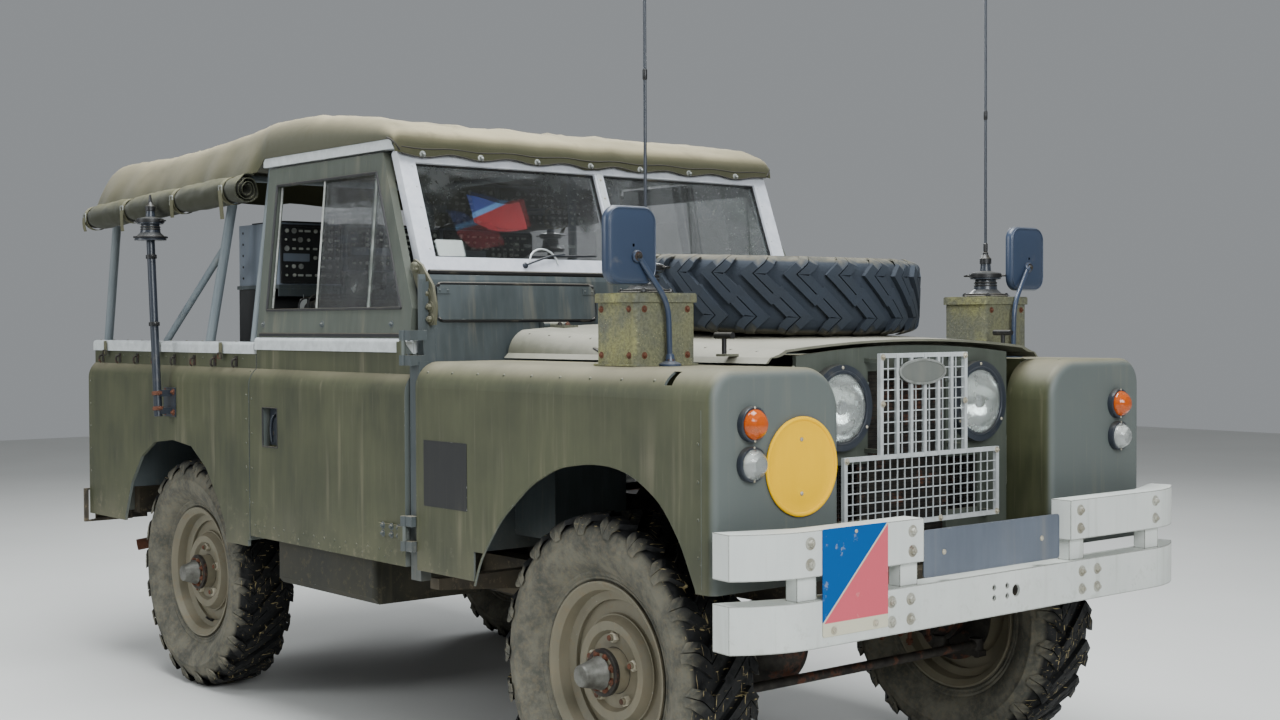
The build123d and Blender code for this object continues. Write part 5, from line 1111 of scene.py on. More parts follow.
@dataclass
class Shape:
    """A mesh that is being built up in millimetres, with a finish number on each face."""

    points: list[Vector] = field(default_factory=list, init=False)
    faces: list[tuple[int, ...]] = field(default_factory=list, init=False)
    marks: list[int] = field(default_factory=list, init=False)

    def add(self, points: Iterable[Sequence[float]], faces: Iterable[Sequence[int]],
            place: Matrix | None = None, mark: int = 0) -> "Shape":
        """Adds points and faces.

        Args:
            points: The new points, in their own frame.
            faces: Faces as numbers of those points.
            place: Where they go.
            mark: Number of the finish on them.

        Returns:
            This shape.
        """
        start = len(self.points)
        where = place or Matrix()
        self.points.extend(where @ Vector(p) for p in points)
        for face in faces:
            self.faces.append(tuple(start + i for i in face))
            self.marks.append(mark)
        return self

    def slab(self, outline: Sequence[Flat], thickness: float, place: Matrix | None = None,
             mark: int = 0) -> "Shape":
        """A flat plate from its (x, y) outline, from z = 0 up to its thickness.

        Args:
            outline: Its outline, in local X and Y.
            thickness: How thick it is.
            place: Where it goes.
            mark: Number of the finish on it.

        Returns:
            This shape.
        """
        count = len(outline)
        points = [(x, y, 0) for x, y in outline] + [(x, y, thickness) for x, y in outline]
        faces = [tuple(range(count))[::-1], tuple(range(count, 2 * count))]
        faces += [(i, (i + 1) % count, count + (i + 1) % count, count + i) for i in range(count)]
        return self.add(points, faces, place, mark)

    def box(self, low: Point, high: Point, place: Matrix | None = None, mark: int = 0) -> "Shape":
        """A box between two corners.

        Args:
            low: Its lowest corner.
            high: Its highest corner.
            place: Where it goes.
            mark: Number of the finish on it.

        Returns:
            This shape.
        """
        (x0, y0, z0), (x1, y1, z1) = low, high
        where = (place or Matrix()) @ Matrix.Translation((0, 0, z0))
        return self.slab([(x0, y0), (x1, y0), (x1, y1), (x0, y1)], z1 - z0, where, mark)

    def lathe(self, profile: Sequence[Flat], place: Matrix | None = None, steps: int = 32,
              mark: int = 0, closed: bool = False) -> "Shape":
        """A turned form about local Z.

        Args:
            profile: (radius, height) points; a radius of 0 closes an end.
            place: Where it goes.
            steps: Sides round it.
            mark: Number of the finish on it.
            closed: Whether the profile's end joins its start, as for a ring.

        Returns:
            This shape.
        """
        points: list[Point] = []
        rings: list[list[int]] = []
        for radius, height in profile:
            sides = 1 if radius < 1e-6 else steps
            rings.append([len(points)] * steps if sides == 1
                         else list(range(len(points), len(points) + steps)))
            points += [(radius * math.cos(math.tau * i / steps),
                        radius * math.sin(math.tau * i / steps), height) for i in range(sides)]
        pairs = list(zip(rings, rings[1:])) + ([(rings[-1], rings[0])] if closed else [])
        faces = []
        for a, b in pairs:
            for i in range(steps):
                j = (i + 1) % steps
                face = tuple(dict.fromkeys((a[i], a[j], b[j], b[i])))
                if len(face) > 2:
                    faces.append(face)
        if not closed:
            faces += [tuple(r) for r in (rings[0], rings[-1]) if r[0] != r[1]]
        return self.add(points, faces, place, mark)

    def tube(self, path: Sequence[Sequence[float]], radius: float | Sequence[float],
             sides: int = 10, mark: int = 0, flat: float = 1.0,
             place: Matrix | None = None) -> "Shape":
        """A bar or strip that follows a path, with closed ends.

        Args:
            path: Points along its middle.
            radius: Its radius, or one for each point.
            sides: Sides round it.
            mark: Number of the finish on it.
            flat: Thickness as a share of its width.
            place: Where it goes.

        Returns:
            This shape.
        """
        line = [Vector(p) for p in path]
        sizes = [radius] * len(line) if isinstance(radius, (int, float)) else list(radius)
        points: list[Vector] = []
        across = None
        for i, spot in enumerate(line):
            along = (line[min(i + 1, len(line) - 1)] - line[max(i - 1, 0)]).normalized()
            if across is None:
                across = along.orthogonal().normalized()
            across = (across - along * across.dot(along)).normalized()
            up = along.cross(across)
            for k in range(sides):
                turn = math.tau * (k + 0.5) / sides
                points.append(spot + sizes[i] * (across * math.cos(turn)
                                                 + up * math.sin(turn) * flat))
        faces = [tuple(range(sides))[::-1],
                 tuple(range(len(points) - sides, len(points)))]
        for i in range(len(line) - 1):
            for k in range(sides):
                m = (k + 1) % sides
                faces.append((i * sides + k, i * sides + m, (i + 1) * sides + m,
                              (i + 1) * sides + k))
        return self.add(points, faces, place, mark)

    def grid(self, rows: Sequence[Sequence[Sequence[float]]], mark: int = 0,
             wrap: bool = False) -> "Shape":
        """A sheet through rows of points, wrapped round if its rows are rings.

        Args:
            rows: Rows with as many points each.
            mark: Number of the finish on it.
            wrap: Whether each row is a ring.

        Returns:
            This shape.
        """
        wide = len(rows[0])
        points = [p for row in rows for p in row]
        faces = [(i * wide + k, i * wide + (k + 1) % wide, (i + 1) * wide + (k + 1) % wide,
                  (i + 1) * wide + k)
                 for i in range(len(rows) - 1) for k in range(wide if wrap else wide - 1)]
        return self.add(points, faces, None, mark)

    def frame(self, outer: Sequence[Flat], inner: Sequence[Flat], thickness: float,
              place: Matrix | None = None, mark: int = 0) -> "Shape":
        """A flat plate with a hole, from two outlines with as many points.

        Args:
            outer: The outer outline.
            inner: The hole's outline.
            thickness: How thick it is.
            place: Where it goes.
            mark: Number of the finish on it.

        Returns:
            This shape.
        """
        count = len(outer)
        points = [(x, y, z) for z in (0, thickness) for line in (outer, inner) for x, y in line]
        faces = []
        for i in range(count):
            j = (i + 1) % count
            a, b, c, d = 0, count, 2 * count, 3 * count
            faces += [(a + i, b + i, b + j, a + j), (c + i, c + j, d + j, d + i),
                      (a + i, a + j, c + j, c + i), (b + j, b + i, d + i, d + j)]
        return self.add(points, faces, place, mark)

    def hexagon(self, size: float, height: float, place: Matrix, mark: int = 0) -> "Shape":
        """A hexagon nut or bolt head with a chamfered top, size across its flats.

        Args:
            size: Width across its flats.
            height: How high it is.
            place: Where it goes.
            mark: Number of the finish on it.

        Returns:
            This shape.
        """
        r = size / 2 / math.cos(math.radians(30))
        return self.lathe([(r, 0), (r, height * 0.82), (r * 0.86, height), (0, height)], place, 6,
                          mark)

    def bolt(self, size: float, place: Matrix, mark: int = 0) -> "Shape":
        """A washer, a hexagon head and the end of a thread.

        Args:
            size: Width across the head's flats.
            place: Where it goes.
            mark: Number of the finish on it.

        Returns:
            This shape.
        """
        self.lathe([(size * 0.95, 0), (size * 0.95, size * 0.12), (0, size * 0.12)], place, 16,
                   mark)
        self.hexagon(size, size * 0.62, place, mark)
        return self.lathe([(size * 0.3, 0), (size * 0.3, size * 0.8), (0, size * 0.86)], place, 10,
                          mark)

    def rivet(self, radius: float, place: Matrix, mark: int = 0) -> "Shape":
        """A low domed rivet head."""
        return self.lathe([(radius, 0), (radius * 0.92, radius * 0.3), (radius * 0.6, radius * 0.55),
                           (0, radius * 0.66)], place, 10, mark)

    def move(self, place: Matrix) -> None:
        """Moves everything that is in the shape so far."""
        self.points = [place @ p for p in self.points]

    def make(self, name: str, finishes: Sequence[Finish], body: str, bevel: float = 0.0,
             crease: float = 35.0, replaces: Sequence[str] = ()) -> bpy.types.Object:
        """Turns the shape into a piece of the car.

        Args:
            name: The piece's name.
            finishes: The finishes, in the order of the marks.
            body: The body it rides on.
            bevel: Width of the bevel on its edges, in millimetres.
            crease: Edges sharper than this many degrees stay sharp.
            replaces: CAD nodes it stands for.

        Returns:
            The new object.
        """
        mesh = bpy.data.meshes.new(name)
        mesh.from_pydata([tuple(p * MM) for p in self.points], [], self.faces)
        mend(mesh)
        for finish in finishes:
            mesh.materials.append(finish.material())
        mesh.polygons.foreach_set("material_index", self.marks)
        mesh.polygons.foreach_set("use_smooth", [True] * len(mesh.polygons))
        mesh.set_sharp_from_angle(angle=math.radians(crease))
        thing = bpy.data.objects.new(name, mesh)
        bpy.context.scene.collection.objects.link(thing)
        if bevel:
            edge = thing.modifiers.new("bevel", "BEVEL")
            edge.width, edge.segments, edge.limit_method = bevel * MM, 2, "ANGLE"
            edge.angle_limit, edge.harden_normals = math.radians(crease), True
        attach(thing, body)
        if replaces:
            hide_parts(*replaces)
        LOG.info("%s: %d faces on %s", name, len(mesh.polygons), body)
        return thing


def dress_part(node: str, finish: Finish, inside: Callable[[Vector], bool]) -> None:
    """Gives part of a carried-over CAD node a second finish.

    Args:
        node: Name of the CAD node, which has been dressed already.
        finish: The second finish.
        inside: Tells from a face's middle, in millimetres, whether it wears that finish.
    """
    mesh = frame["nodes"][node].data
    mesh.materials.append(finish.material())
    number = len(mesh.materials) - 1
    for face in mesh.polygons:
        face.material_index = number if inside(face.center / MM) else face.material_index
    LOG.info("part of %s wears %s", node, finish.name)


def dress(finish: Finish, *nodes: str) -> None:
    """Gives carried-over CAD nodes a finish.

    Args:
        finish: The finish they wear.
        *nodes: Names of the CAD nodes.
    """
    for name in nodes:
        mesh = frame["nodes"][name].data
        mesh.materials.clear()
        mesh.materials.append(finish.material())
        mesh.polygons.foreach_set("material_index", [0] * len(mesh.polygons))
        LOG.info("%s wears %s", name, finish.name)


# Set


@dataclass
class Studio:
    """Floor, lights and the camera at the photograph's viewing angle."""

    eye: Point = (4.3996, -3.2884, 1.2429)
    yaw: float = 139.986
    pitch: float = -1.2549
    roll: float = -0.2421
    lens: float = 47.39
    sensor: float = 36.0
    floor_half: float = 14.0

    def build(self) -> None:
        """Makes the camera, the floor and the lights."""
        self.camera()
        self.floor()
        self.lights()

    def camera(self) -> None:
        """Places the camera from the angles found from the photograph."""
        yaw, pitch, roll = (math.radians(a) for a in (self.yaw, self.pitch, self.roll))
        ahead = Vector((math.cos(pitch) * math.cos(yaw), math.cos(pitch) * math.sin(yaw),
                        math.sin(pitch)))
        right = Vector((math.sin(yaw), -math.cos(yaw), 0))
        up = right.cross(ahead)
        right, up = (right * math.cos(roll) + up * math.sin(roll),
                     up * math.cos(roll) - right * math.sin(roll))
        data = bpy.data.cameras.new("camera")
        data.lens, data.sensor_width, data.sensor_fit = self.lens, self.sensor, "HORIZONTAL"
        data.clip_end = 200.0
        camera = bpy.data.objects.new("camera", data)
        turn = Matrix((right, up, -ahead)).transposed().to_4x4()
        camera.matrix_world = Matrix.Translation(self.eye) @ turn
        bpy.context.scene.collection.objects.link(camera)
        bpy.context.scene.camera = camera

    def floor(self) -> None:
        """A plain pale floor."""
        mesh = bpy.data.meshes.new("floor")
        h = self.floor_half
        mesh.from_pydata([(-h, -h, 0), (h, -h, 0), (h, h, 0), (-h, h, 0)], [], [(0, 1, 2, 3)])
        material = bpy.data.materials.new("floor")
        material.use_nodes = True
        graph = Graph(material.node_tree)
        shader = material.node_tree.nodes["Principled BSDF"]
        graph.feed(shader.inputs["Base Color"],
                   graph.mix(graph.cloud(0.8), tone(196, 196, 192), tone(208, 208, 204)))
        shader.inputs["Roughness"].default_value = 0.8
        mesh.materials.append(material)
        floor = bpy.data.objects.new("floor", mesh)
        bpy.context.scene.collection.objects.link(floor)

    def lights(self) -> None:
        """Soft studio light: a large sheet above, a key from the front right and a fill."""
        world = bpy.data.worlds.new("studio")
        world.use_nodes = True
        back = world.node_tree.nodes["Background"]
        back.inputs["Color"].default_value = (0.82, 0.86, 0.9, 1)
        back.inputs["Strength"].default_value = 0.34
        bpy.context.scene.world = world
        # name, place, aim, size, power
        for name, place, aim, size, power in (
            ("overhead", (0.5, -0.6, 6.0), (0, 0, 0.8), 4.4, 740),
            ("key", (6.2, -2.2, 3.4), (1.2, -0.1, 0.8), 3.0, 315),
            ("side", (-2.5, -6.5, 3.4), (-0.2, 0, 0.9), 3.2, 170),
            ("rim", (-5.0, 4.5, 4.0), (0, 0, 1.0), 3.0, 200),
        ):
            data = bpy.data.lights.new(name, "AREA")
            data.shape, data.size, data.energy = "DISK", size, power
            data.color = (0.93, 0.97, 1.0)
            light = bpy.data.objects.new(name, data)
            direction = Vector(aim) - Vector(place)
            light.matrix_world = (Matrix.Translation(place)
                                  @ direction.to_track_quat("-Z", "Y").to_matrix().to_4x4())
            bpy.context.scene.collection.objects.link(light)


# Wheels


@dataclass
class Tyre(Shape):
    """A cross-ply tyre with chevron lugs, split by a narrow cut along each lug."""

    name: str
    node: str
    body: str
    place: Matrix
    finish: Finish
    outer: float = 390.0
    half_width: float = 107.5
    lugs: int = 22
    lug_half: float = 24.0
    cut: float = 1.4
    lug_foot: float = 371.0
    tread_edge: float = 93.0
    tread_foot: float = 350.0
    # half the width that the outlines below are drawn for
    drawn_half: float = 107.5
    # outer half of the carcass: radius, height from the middle plane
    side: tuple[Flat, ...] = (
        (206.5, 55.7), (223, 57), (226.5, 60), (229, 64.5), (233, 65.5), (235, 64), (238, 66),
        (242, 70.5), (245, 70.5), (248, 70), (251, 73.5), (256, 79), (264, 86), (276, 94),
        (290, 100), (304, 104), (316, 105.5), (318, 107), (322, 107), (324, 105.5), (336, 103.5),
        (346, 100.5), (352, 97), (362, 90), (370, 80), (374, 64), (375.5, 34), (376, 0),
    )
    # lug top: height from the middle plane, radius
    crown: tuple[Flat, ...] = ((0, 390.0), (60, 389.5), (84, 387.0), (93, 381.0), (99, 370.0),
                               (104, 356.0), (107, 347.0))
    # lug path from the middle out: along the tread, height from the middle plane
    lug_path: tuple[Flat, ...] = ((33, -9), (12, 12), (-12, 36), (-34, 58), (-20, 72), (-6, 86),
                                  (-2, 93), (0, 99), (2, 104), (3, 107))

    def top_radius(self, height: float) -> float:
        """Radius of the lugs' tops at a height from the middle plane.

        Args:
            height: The height.

        Returns:
            The radius there.
        """
        height = abs(height)
        for (h0, r0), (h1, r1) in zip(self.crown, self.crown[1:]):
            if height <= h1:
                return r0 + (r1 - r0) * (height - h0) / (h1 - h0)
        return self.crown[-1][1]

    def edge(self, offset: float) -> list[Flat]:
        """The lug's path moved sideways, its corners kept sharp.

        Args:
            offset: How far it is moved.

        Returns:
            The moved path.
        """
        path = [Vector(p) for p in self.lug_path]
        moved = []
        for i, spot in enumerate(path):
            before = (spot - path[i - 1]).normalized() if i else None
            after = (path[i + 1] - spot).normalized() if i + 1 < len(path) else None
            one = before or after
            two = after or before
            bisector = (Vector((-one.y, one.x)) + Vector((-two.y, two.x))).normalized()
            stretch = min(1.6, 1 / max(0.3, bisector.dot(Vector((-one.y, one.x)))))
            moved.append(tuple(spot + bisector * offset * stretch))
        return moved

    def build(self) -> bpy.types.Object:
        """Builds the carcass and its lugs, and paints where the tread is.

        Returns:
            The tyre.
        """
        scale = self.half_width / self.drawn_half
        outer = [(r, h * scale) for r, h in self.side]
        self.lathe(outer + [(r, -h) for r, h in outer[-2::-1]], steps=120, closed=True)
        step = math.tau / self.lugs
        for way in (1, -1):
            for number in range(self.lugs):
                turn = (number + (0.5 if way < 0 else 0.0)) * step
                for inner, far in ((self.cut, self.lug_half), (-self.lug_half, -self.cut)):
                    self.strip(turn, way, self.edge(inner), self.edge(far), scale)
        self.move(self.place)
        thing = self.make(self.name, [self.finish], self.body, crease=30, replaces=[self.node])
        mark = thing.data.attributes.new("tread", "FLOAT", "POINT")
        back = self.place.inverted()
        values = []
        for vertex in thing.data.vertices:
            spot = back @ (vertex.co / MM)
            reach = math.hypot(spot.x, spot.y)
            flat = 1 - min(1.0, max(0.0, (abs(spot.z) / scale - self.tread_edge) / 4))
            values.append(min(1.0, max(0.0, (reach - self.tread_foot) / 12)) * flat)
        mark.data.foreach_set("value", values)
        return thing

    def strip(self, turn: float, way: int, near: Sequence[Flat],
              far: Sequence[Flat], scale: float) -> None:
        """One half of a lug between two edges of its path.

        Args:
            turn: Where round the tyre it is, in radians.
            way: 1 for the outer side of the tyre and -1 for the inner side.
            near: Its first edge.
            far: Its second edge.
            scale: The tyre's width as a share of the usual one.
        """
        points = []
        for (s0, h0), (s1, h1) in zip(near, far):
            ring = []
            for s, h, lift in ((s0, h0, False), (s0, h0, True), (s1, h1, True), (s1, h1, False)):
                top = self.top_radius(h)
                radius = top if lift else min(self.lug_foot, top - 8)
                angle = turn + way * s / self.outer
                ring.append((radius * math.cos(angle), radius * math.sin(angle),
                             way * min(h, self.drawn_half - 0.1) * scale))
            points.append(ring)
        first = len(self.points)
        self.grid(points, wrap=True)
        last = len(self.points) - 4
        self.faces += [tuple(first + k for k in (3, 2, 1, 0)), tuple(last + k for k in range(4))]
        self.marks += [0, 0]


# Running gear


@dataclass
class RoadWheel(Shape):
    """Fittings on a road wheel: nuts, drive flange with its bolts, cap and valve."""

    corner: str
    place: Matrix
    cap_length: float
    stud_circle: float = 82.5
    stud_top: float = 52.0
    flange_foot: float = 64.0
    flange_top: float = 76.0
    flange_radius: float = 58.0
    cap_radius: float = 26.0
    nut_foot: float = 24.0

    def build(self) -> None:
        """Makes the fittings and puts them on the wheel."""
        self.flange()
        self.cap()
        for number in range(5):
            self.nut(math.tau * number / 5 + 0.3)
        self.valve()
        self.move(self.place)
        f = Finishes
        self.make(f"wheel_fittings_{self.corner}",
                  [f.nut, f.steel, f.alloy, f.rusty, f.rubber, f.hub], f"wheel_{self.corner}",
                  bevel=0.5)

    def flange(self) -> None:
        """Drive flange cover with its eight bolts, and the dusty boss behind it."""
        r, low, high = self.flange_radius + 1.0, self.flange_foot - 1, self.flange_top + 1.2
        self.lathe([(r - 2, low), (r, low + 2), (r, high - 2), (r - 2, high), (r - 10, high),
                    (r - 12, high - 1.5), (34, high - 1.5), (33, high + 3), (29, high + 4),
                    (self.cap_radius, high + 4)], None, 48, mark=1)
        for number in range(8):
            a = math.tau * (number + 0.5) / 8
            self.bolt(12, at(45 * math.cos(a), 45 * math.sin(a), high - 1.6, rz=20), mark=3)
        self.lathe([(57.2, 24), (60, 26), (60, 30), (57.2, 32)], None, 40, mark=1)

    def cap(self) -> None:
        """Pressed conical hub cap with a rolled foot and a domed end."""
        foot, tip = self.flange_top, self.flange_top + self.cap_length
        self.lathe([(31, foot + 1), (31.5, foot + 4), (41, foot + 5), (42, foot + 8),
                    (39.5, foot + 11), (28.0, tip - 5), (26.6, tip - 0.2), (24.6, tip + 1.6),
                    (15, tip + 2.6), (0, tip + 2.8)], None, 36, mark=5)

    def nut(self, turn: float) -> None:
        """A wheel nut with its cone washer and the end of its stud.

        Args:
            turn: Where round the wheel it is, in radians.
        """
        x, y = self.stud_circle * math.cos(turn), self.stud_circle * math.sin(turn)
        foot = self.nut_foot
        self.lathe([(18, foot - 3), (18, foot), (15, foot + 3), (9, foot + 3)],
                   at(x, y, 0), 20)
        self.hexagon(25, 19, at(x, y, foot + 2, rz=math.degrees(turn) + 12))
        self.lathe([(7.4, foot + 10), (7.4, self.stud_top + 1), (6, self.stud_top + 2.5),
                    (0, self.stud_top + 2.5)], at(x, y, 0), 12, mark=3)

    def valve(self) -> None:
        """Tyre valve with its cap, through the rim near the bead."""
        path = rounded([(0, -176, 14), (0, -170, 30), (0, -160, 44)], 6)
        self.tube(path, [5.5] * 3 + [4.2] * (len(path) - 3), 10, mark=4)


@dataclass
class Underside(Shape):
    """U-bolts with their nuts on the springs, and brake pipes along the axles."""

    spring_y: float = 385.0

    def build(self) -> None:
        """Makes the U-bolts round the spring seats and the brake pipes along the axles."""
        for axle in AXLES.values():
            for side in Side:
                self.u_bolts(axle, side * self.spring_y)
            self.pipe(axle)
        self.make("axle_fittings", [Finishes.rusty, Finishes.rubber], "car", bevel=0.4)

    def u_bolts(self, x: float, y: float) -> None:
        """Two U-bolts over one spring, with nuts below.

        Args:
            x: The axle's place along the car.
            y: The spring's place in width.
        """
        for dx in (-52, 52):
            path = rounded([(x + dx, y - 40, 330), (x + dx, y - 40, 494), (x + dx, y + 40, 494),
                            (x + dx, y + 40, 330)], 16)
            self.tube(path, 6, 8)
            for dy in (-40, 40):
                self.hexagon(19, 11, at(x + dx, y + dy, 336, rz=10))

    def pipe(self, x: float) -> None:
        """Brake pipe clipped along the rear face of an axle."""
        path = [(x - 46, y, 414 + 3 * math.sin(y / 70)) for y in range(-470, 471, 47)]
        self.tube(path, 3.2, 8, mark=1)


# Hood


@dataclass
class Hood:
    """Canvas hood: roof, rolled side curtains, hem cords, turn studs and straps."""

    half: float = 742.0
    thick: float = 3.0
    pitch: float = 17.0
    roof_start: float = 262.0
    hem_cycle: float = 105.0
    roll_y: float = 786.0
    roll_radius: float = 48.0
    roll_front: float = -521.0
    roll_rear: float = -1757.0
    roll_core: float = 13.0
    roll_turns: float = 3.1
    roll_pitch: float = 12.5
    hoop_places: tuple[float, ...] = (-498.0, -747.0, -1735.0)
    strap_places: tuple[float, ...] = (-618.0, -985.0, -1395.0, -1735.0)
    # along the car, height of the roof's foot, height of its top, width of the turned corner
    sections: tuple[tuple[float, ...], ...] = (
        (288.0, 1723, 1725, 8), (287.0, 1737, 1741, 12), (285.0, 1751, 1758, 16),
        (281.0, 1763, 1776, 22), (273.0, 1769, 1789, 26), (262.0, 1770.6, 1798, 30),
        (195.0, 1770.6, 1828, 50), (60.0, 1770.6, 1851, 54), (-90.0, 1770.6, 1872, 58),
        (-230.0, 1770.6, 1886, 60), (-330.0, 1770.6, 1889, 60), (-494.0, 1770.6, 1888, 60),
        (-524.0, 1722, 1886, 62), (-620.0, 1719, 1876, 66), (-747.0, 1714, 1865, 66),
        (-900.0, 1709, 1856, 72), (-1080.0, 1704, 1848, 80), (-1250.0, 1698, 1845, 84),
        (-1500.0, 1690, 1847, 96), (-1735.0, 1684, 1850, 110), (-1775.0, 1682, 1849, 110),
        (-1790.0, 1681, 1841, 104), (-1799.0, 1681, 1824, 90), (-1803.0, 1680, 1798, 70),
        (-1805.0, 1680, 1766, 40), (-1806.0, 1679, 1738, 20),
    )
    # turn studs along the front hem, in width
    studs: tuple[float, ...] = (-649.0, -447.0, -240.0, -35.0, 166.0, 373.0, 580.0)

    def build(self) -> None:
        rows = self.roof_rows()
        roof = self.shell(rows, self.thick).make("hood_roof", [Finishes.canvas], "car",
                                                 crease=60, replaces=["canvas_hood"])
        trims = [self.seams(rows), self.front_hem(), self.hoop_caps()]
        for side in Side:
            roll = self.shell(self.roll_rows(side), self.thick * 0.8).make(
                f"rolled_curtain_{side.word}", [Finishes.curtain], "car", crease=60)
            straps = self.straps(side)

    def at_x(self, x: float) -> tuple[float, float, float]:
        """Foot height, top height and corner width of the roof at a place along the car.

        Args:
            x: The place along the car.

        Returns:
            The three sizes.
        """
        for a, b in zip(self.sections, self.sections[1:]):
            if a[0] >= x >= b[0]:
                t = (a[0] - x) / max(1e-6, a[0] - b[0])
                return tuple(a[i] + (b[i] - a[i]) * t for i in (1, 2, 3))
        end = self.sections[-1] if x < 0 else self.sections[0]
        return end[1:]

    def roof_rows(self) -> list[list[Vector]]:
        """Rows of points across the roof, from the front hem to the rear hem.

        Returns:
            The rows.
        """
        front, rear = self.sections[:6], self.sections[20:]
        places = [s[0] for s in front]
        while places[-1] - self.pitch > rear[0][0]:
            places.append(places[-1] - self.pitch)
        places += [s[0] for s in rear]
        return [self.section(x) for x in places]

    def slack(self, x: float) -> float:
        """How far the cloth may sag at a place: none at a hoop, all of it between two."""
        near = min(abs(x - h) for h in self.hoop_places + (self.roof_start,))
        return min(1.0, near / 170.0)

    def section(self, x: float) -> list[Vector]:
        """Points across the roof at one place along the car.

        Args:
            x: The place along the car.

        Returns:
            The points, from the left foot to the right one.
        """
        foot, top, turn = self.at_x(x)
        behind = min(1.0, max(0.0, (-505 - x) / 40))
        hem = max(0.0, 1 - abs(x - 288) / 4) + max(0.0, 1 - abs(x + 1806) / 6)
        spots = []
        for k in range(11):
            a = math.pi / 2 * k / 10
            flare = behind * 22 * max(0.0, 1 - a / 0.75) ** 1.5
            wave = behind * 7 * math.sin(x / 47 + 1.3 * math.sin(x / 130)) * math.cos(a) ** 2
            lip = behind * 5 * math.sin(x / 23) * max(0.0, 1 - a / 0.35)
            spots.append((self.half - turn + turn * math.cos(a) + flare + wave * 0.7,
                          foot + (top - foot) * math.sin(a) + lip))
        inner = self.half - turn
        count = 26
        middle = [(inner - 2 * inner * k / count, top) for k in range(1, count)]
        line = spots + middle + [(-y, z) for y, z in spots[::-1]]
        row = []
        for y, z in line:
            across = max(0.0, 1 - (y / (self.half - 20)) ** 2)
            z -= self.slack(x) * across * (5 if x > -500 else 11)
            fold = noise.noise(Vector((x / 120, y / 210, 1.7))) * 9
            fold += noise.noise(Vector(((x + 0.6 * y) / 46, (y - 0.4 * x) / 200, 4.1))) * 9
            fold += noise.noise(Vector(((x - 0.8 * y) / 60, (y + 0.7 * x) / 240, 6.4))) * 7
            fold += noise.noise(Vector((x / 24, y / 30, 9.2))) * 1.8
            z += fold * across ** 0.5 * (0.25 + 0.75 * self.slack(x)) - 2.5 * across
            if hem and x > 0:
                near = min(abs(y - s) for s in self.studs)
                z += hem * (3 - 6 * math.cos(math.pi * min(1.0, near / self.hem_cycle)))
            elif hem:
                z += hem * 5 * math.sin(y / 52)
            row.append(Vector((x, y, z)))
        return row

    def shell(self, rows: Sequence[Sequence[Vector]], thick: float) -> Shape:
        """Closes a sheet of rows to a cloth of its own thickness.

        Args:
            rows: The cloth's upper side.
            thick: The cloth's thickness.

        Returns:
            The closed shape.
        """
        under = []
        last, end = len(rows) - 1, len(rows[0]) - 1
        for i, row in enumerate(rows):
            line = []
            for k, spot in enumerate(row):
                along = rows[min(i + 1, last)][k] - rows[max(i - 1, 0)][k]
                across = row[min(k + 1, end)] - row[max(k - 1, 0)]
                normal = along.cross(across).normalized()
                line.append(spot + normal * thick)
            under.append(line)
        shape = Shape()
        shape.grid(rows)
        shape.grid([line[::-1] for line in under])
        wide, base = end + 1, len(rows) * (end + 1)
        edges = [((i, 0), (i + 1, 0)) for i in range(last)]
        edges += [((last, k), (last, k + 1)) for k in range(end)]
        edges += [((i, end), (i - 1, end)) for i in range(last, 0, -1)]
        edges += [((0, k), (0, k - 1)) for k in range(end, 0, -1)]
        for (i, k), (j, m) in edges:
            shape.faces.append((i * wide + k, base + i * wide + end - k,
                                base + j * wide + end - m, j * wide + m))
            shape.marks.append(0)
        return shape

    def roll_axis(self, x: float) -> float:
        """Height of the middle of a rolled curtain."""
        return 1642 + (x + 1755) / 1257 * 36

    def squeeze(self, x: float) -> float:
        """How much the straps pull a roll in at a place along it."""
        pull = sum(math.exp(-((x - s) / 36) ** 2) for s in self.strap_places)
        return 1 - 0.17 * min(1.0, pull)

    def roll_turn(self, share: float) -> float:
        """Radius of a rolled curtain as a share of its way from its core to its outer edge."""
        return self.roll_core + (self.roll_radius - self.roll_core) * share

    def roll_rows(self, side: Side) -> list[list[Vector]]:
        """Rows along a rolled curtain, each a spiral in the car's cross-section.

        Args:
            side: The side of the car.

        Returns:
            The rows.
        """
        count = 76
        rows = []
        x = self.roll_front
        while x >= self.roll_rear:
            row = []
            loose = max(0.0, 1 - (self.roll_front - x) / 110)
            for k in range(count + 1):
                share = k / count
                angle = math.radians(118) - (1 - share) * self.roll_turns * math.tau
                cos, sin = math.cos(angle), math.sin(angle)
                radius = self.roll_turn(share) * self.squeeze(x)
                lump = noise.noise(Vector((x / 70, 2 * cos, 2 * sin + side)))
                fold = noise.noise(Vector((x / 26, 3 * cos, 3 * sin + 7)))
                radius += share * (4.5 * lump + 2.0 * fold)
                radius -= 3 * share * loose * math.sin(angle * 3 + x / 40)
                drop = 4 * math.sin(math.pi * share) * loose
                row.append(Vector((x + 9 * loose * math.sin(angle + 1),
                                   side * (self.roll_y + radius * cos),
                                   self.roll_axis(x) - drop + radius * sin * 0.97)))
            rows.append(row if side > 0 else row[::-1])
            x -= self.roll_pitch
        return rows

    def seams(self, rows: Sequence[Sequence[Vector]]) -> bpy.types.Object:
        """Doubled seams that run along the roof, and the patches over the hoops.

        Args:
            rows: The roof's rows of points.

        Returns:
            The piece.
        """
        shape = Shape()
        for k in (14, 24, 33):
            self.tape(shape, [row[k] for row in rows[5:-4]], Vector((0, 0, 1)), 12.0, 1.1)
        for x in self.hoop_places[:2] + (-1725.0,):
            row = self.section(x)
            self.tape(shape, row[8:-8], Vector((0, 0, 1)), 24.0, 0.9)
        for k, way in ((0, 1), (len(rows[0]) - 1, -1)):
            edge = [row[k] for row in rows if row[k].x < -524]
            self.tape(shape, edge, Vector((0, way, 0.2)).normalized(), 11.0, 1.3)
        return shape.make("hood_seams", [Finishes.canvas], "car", crease=50)

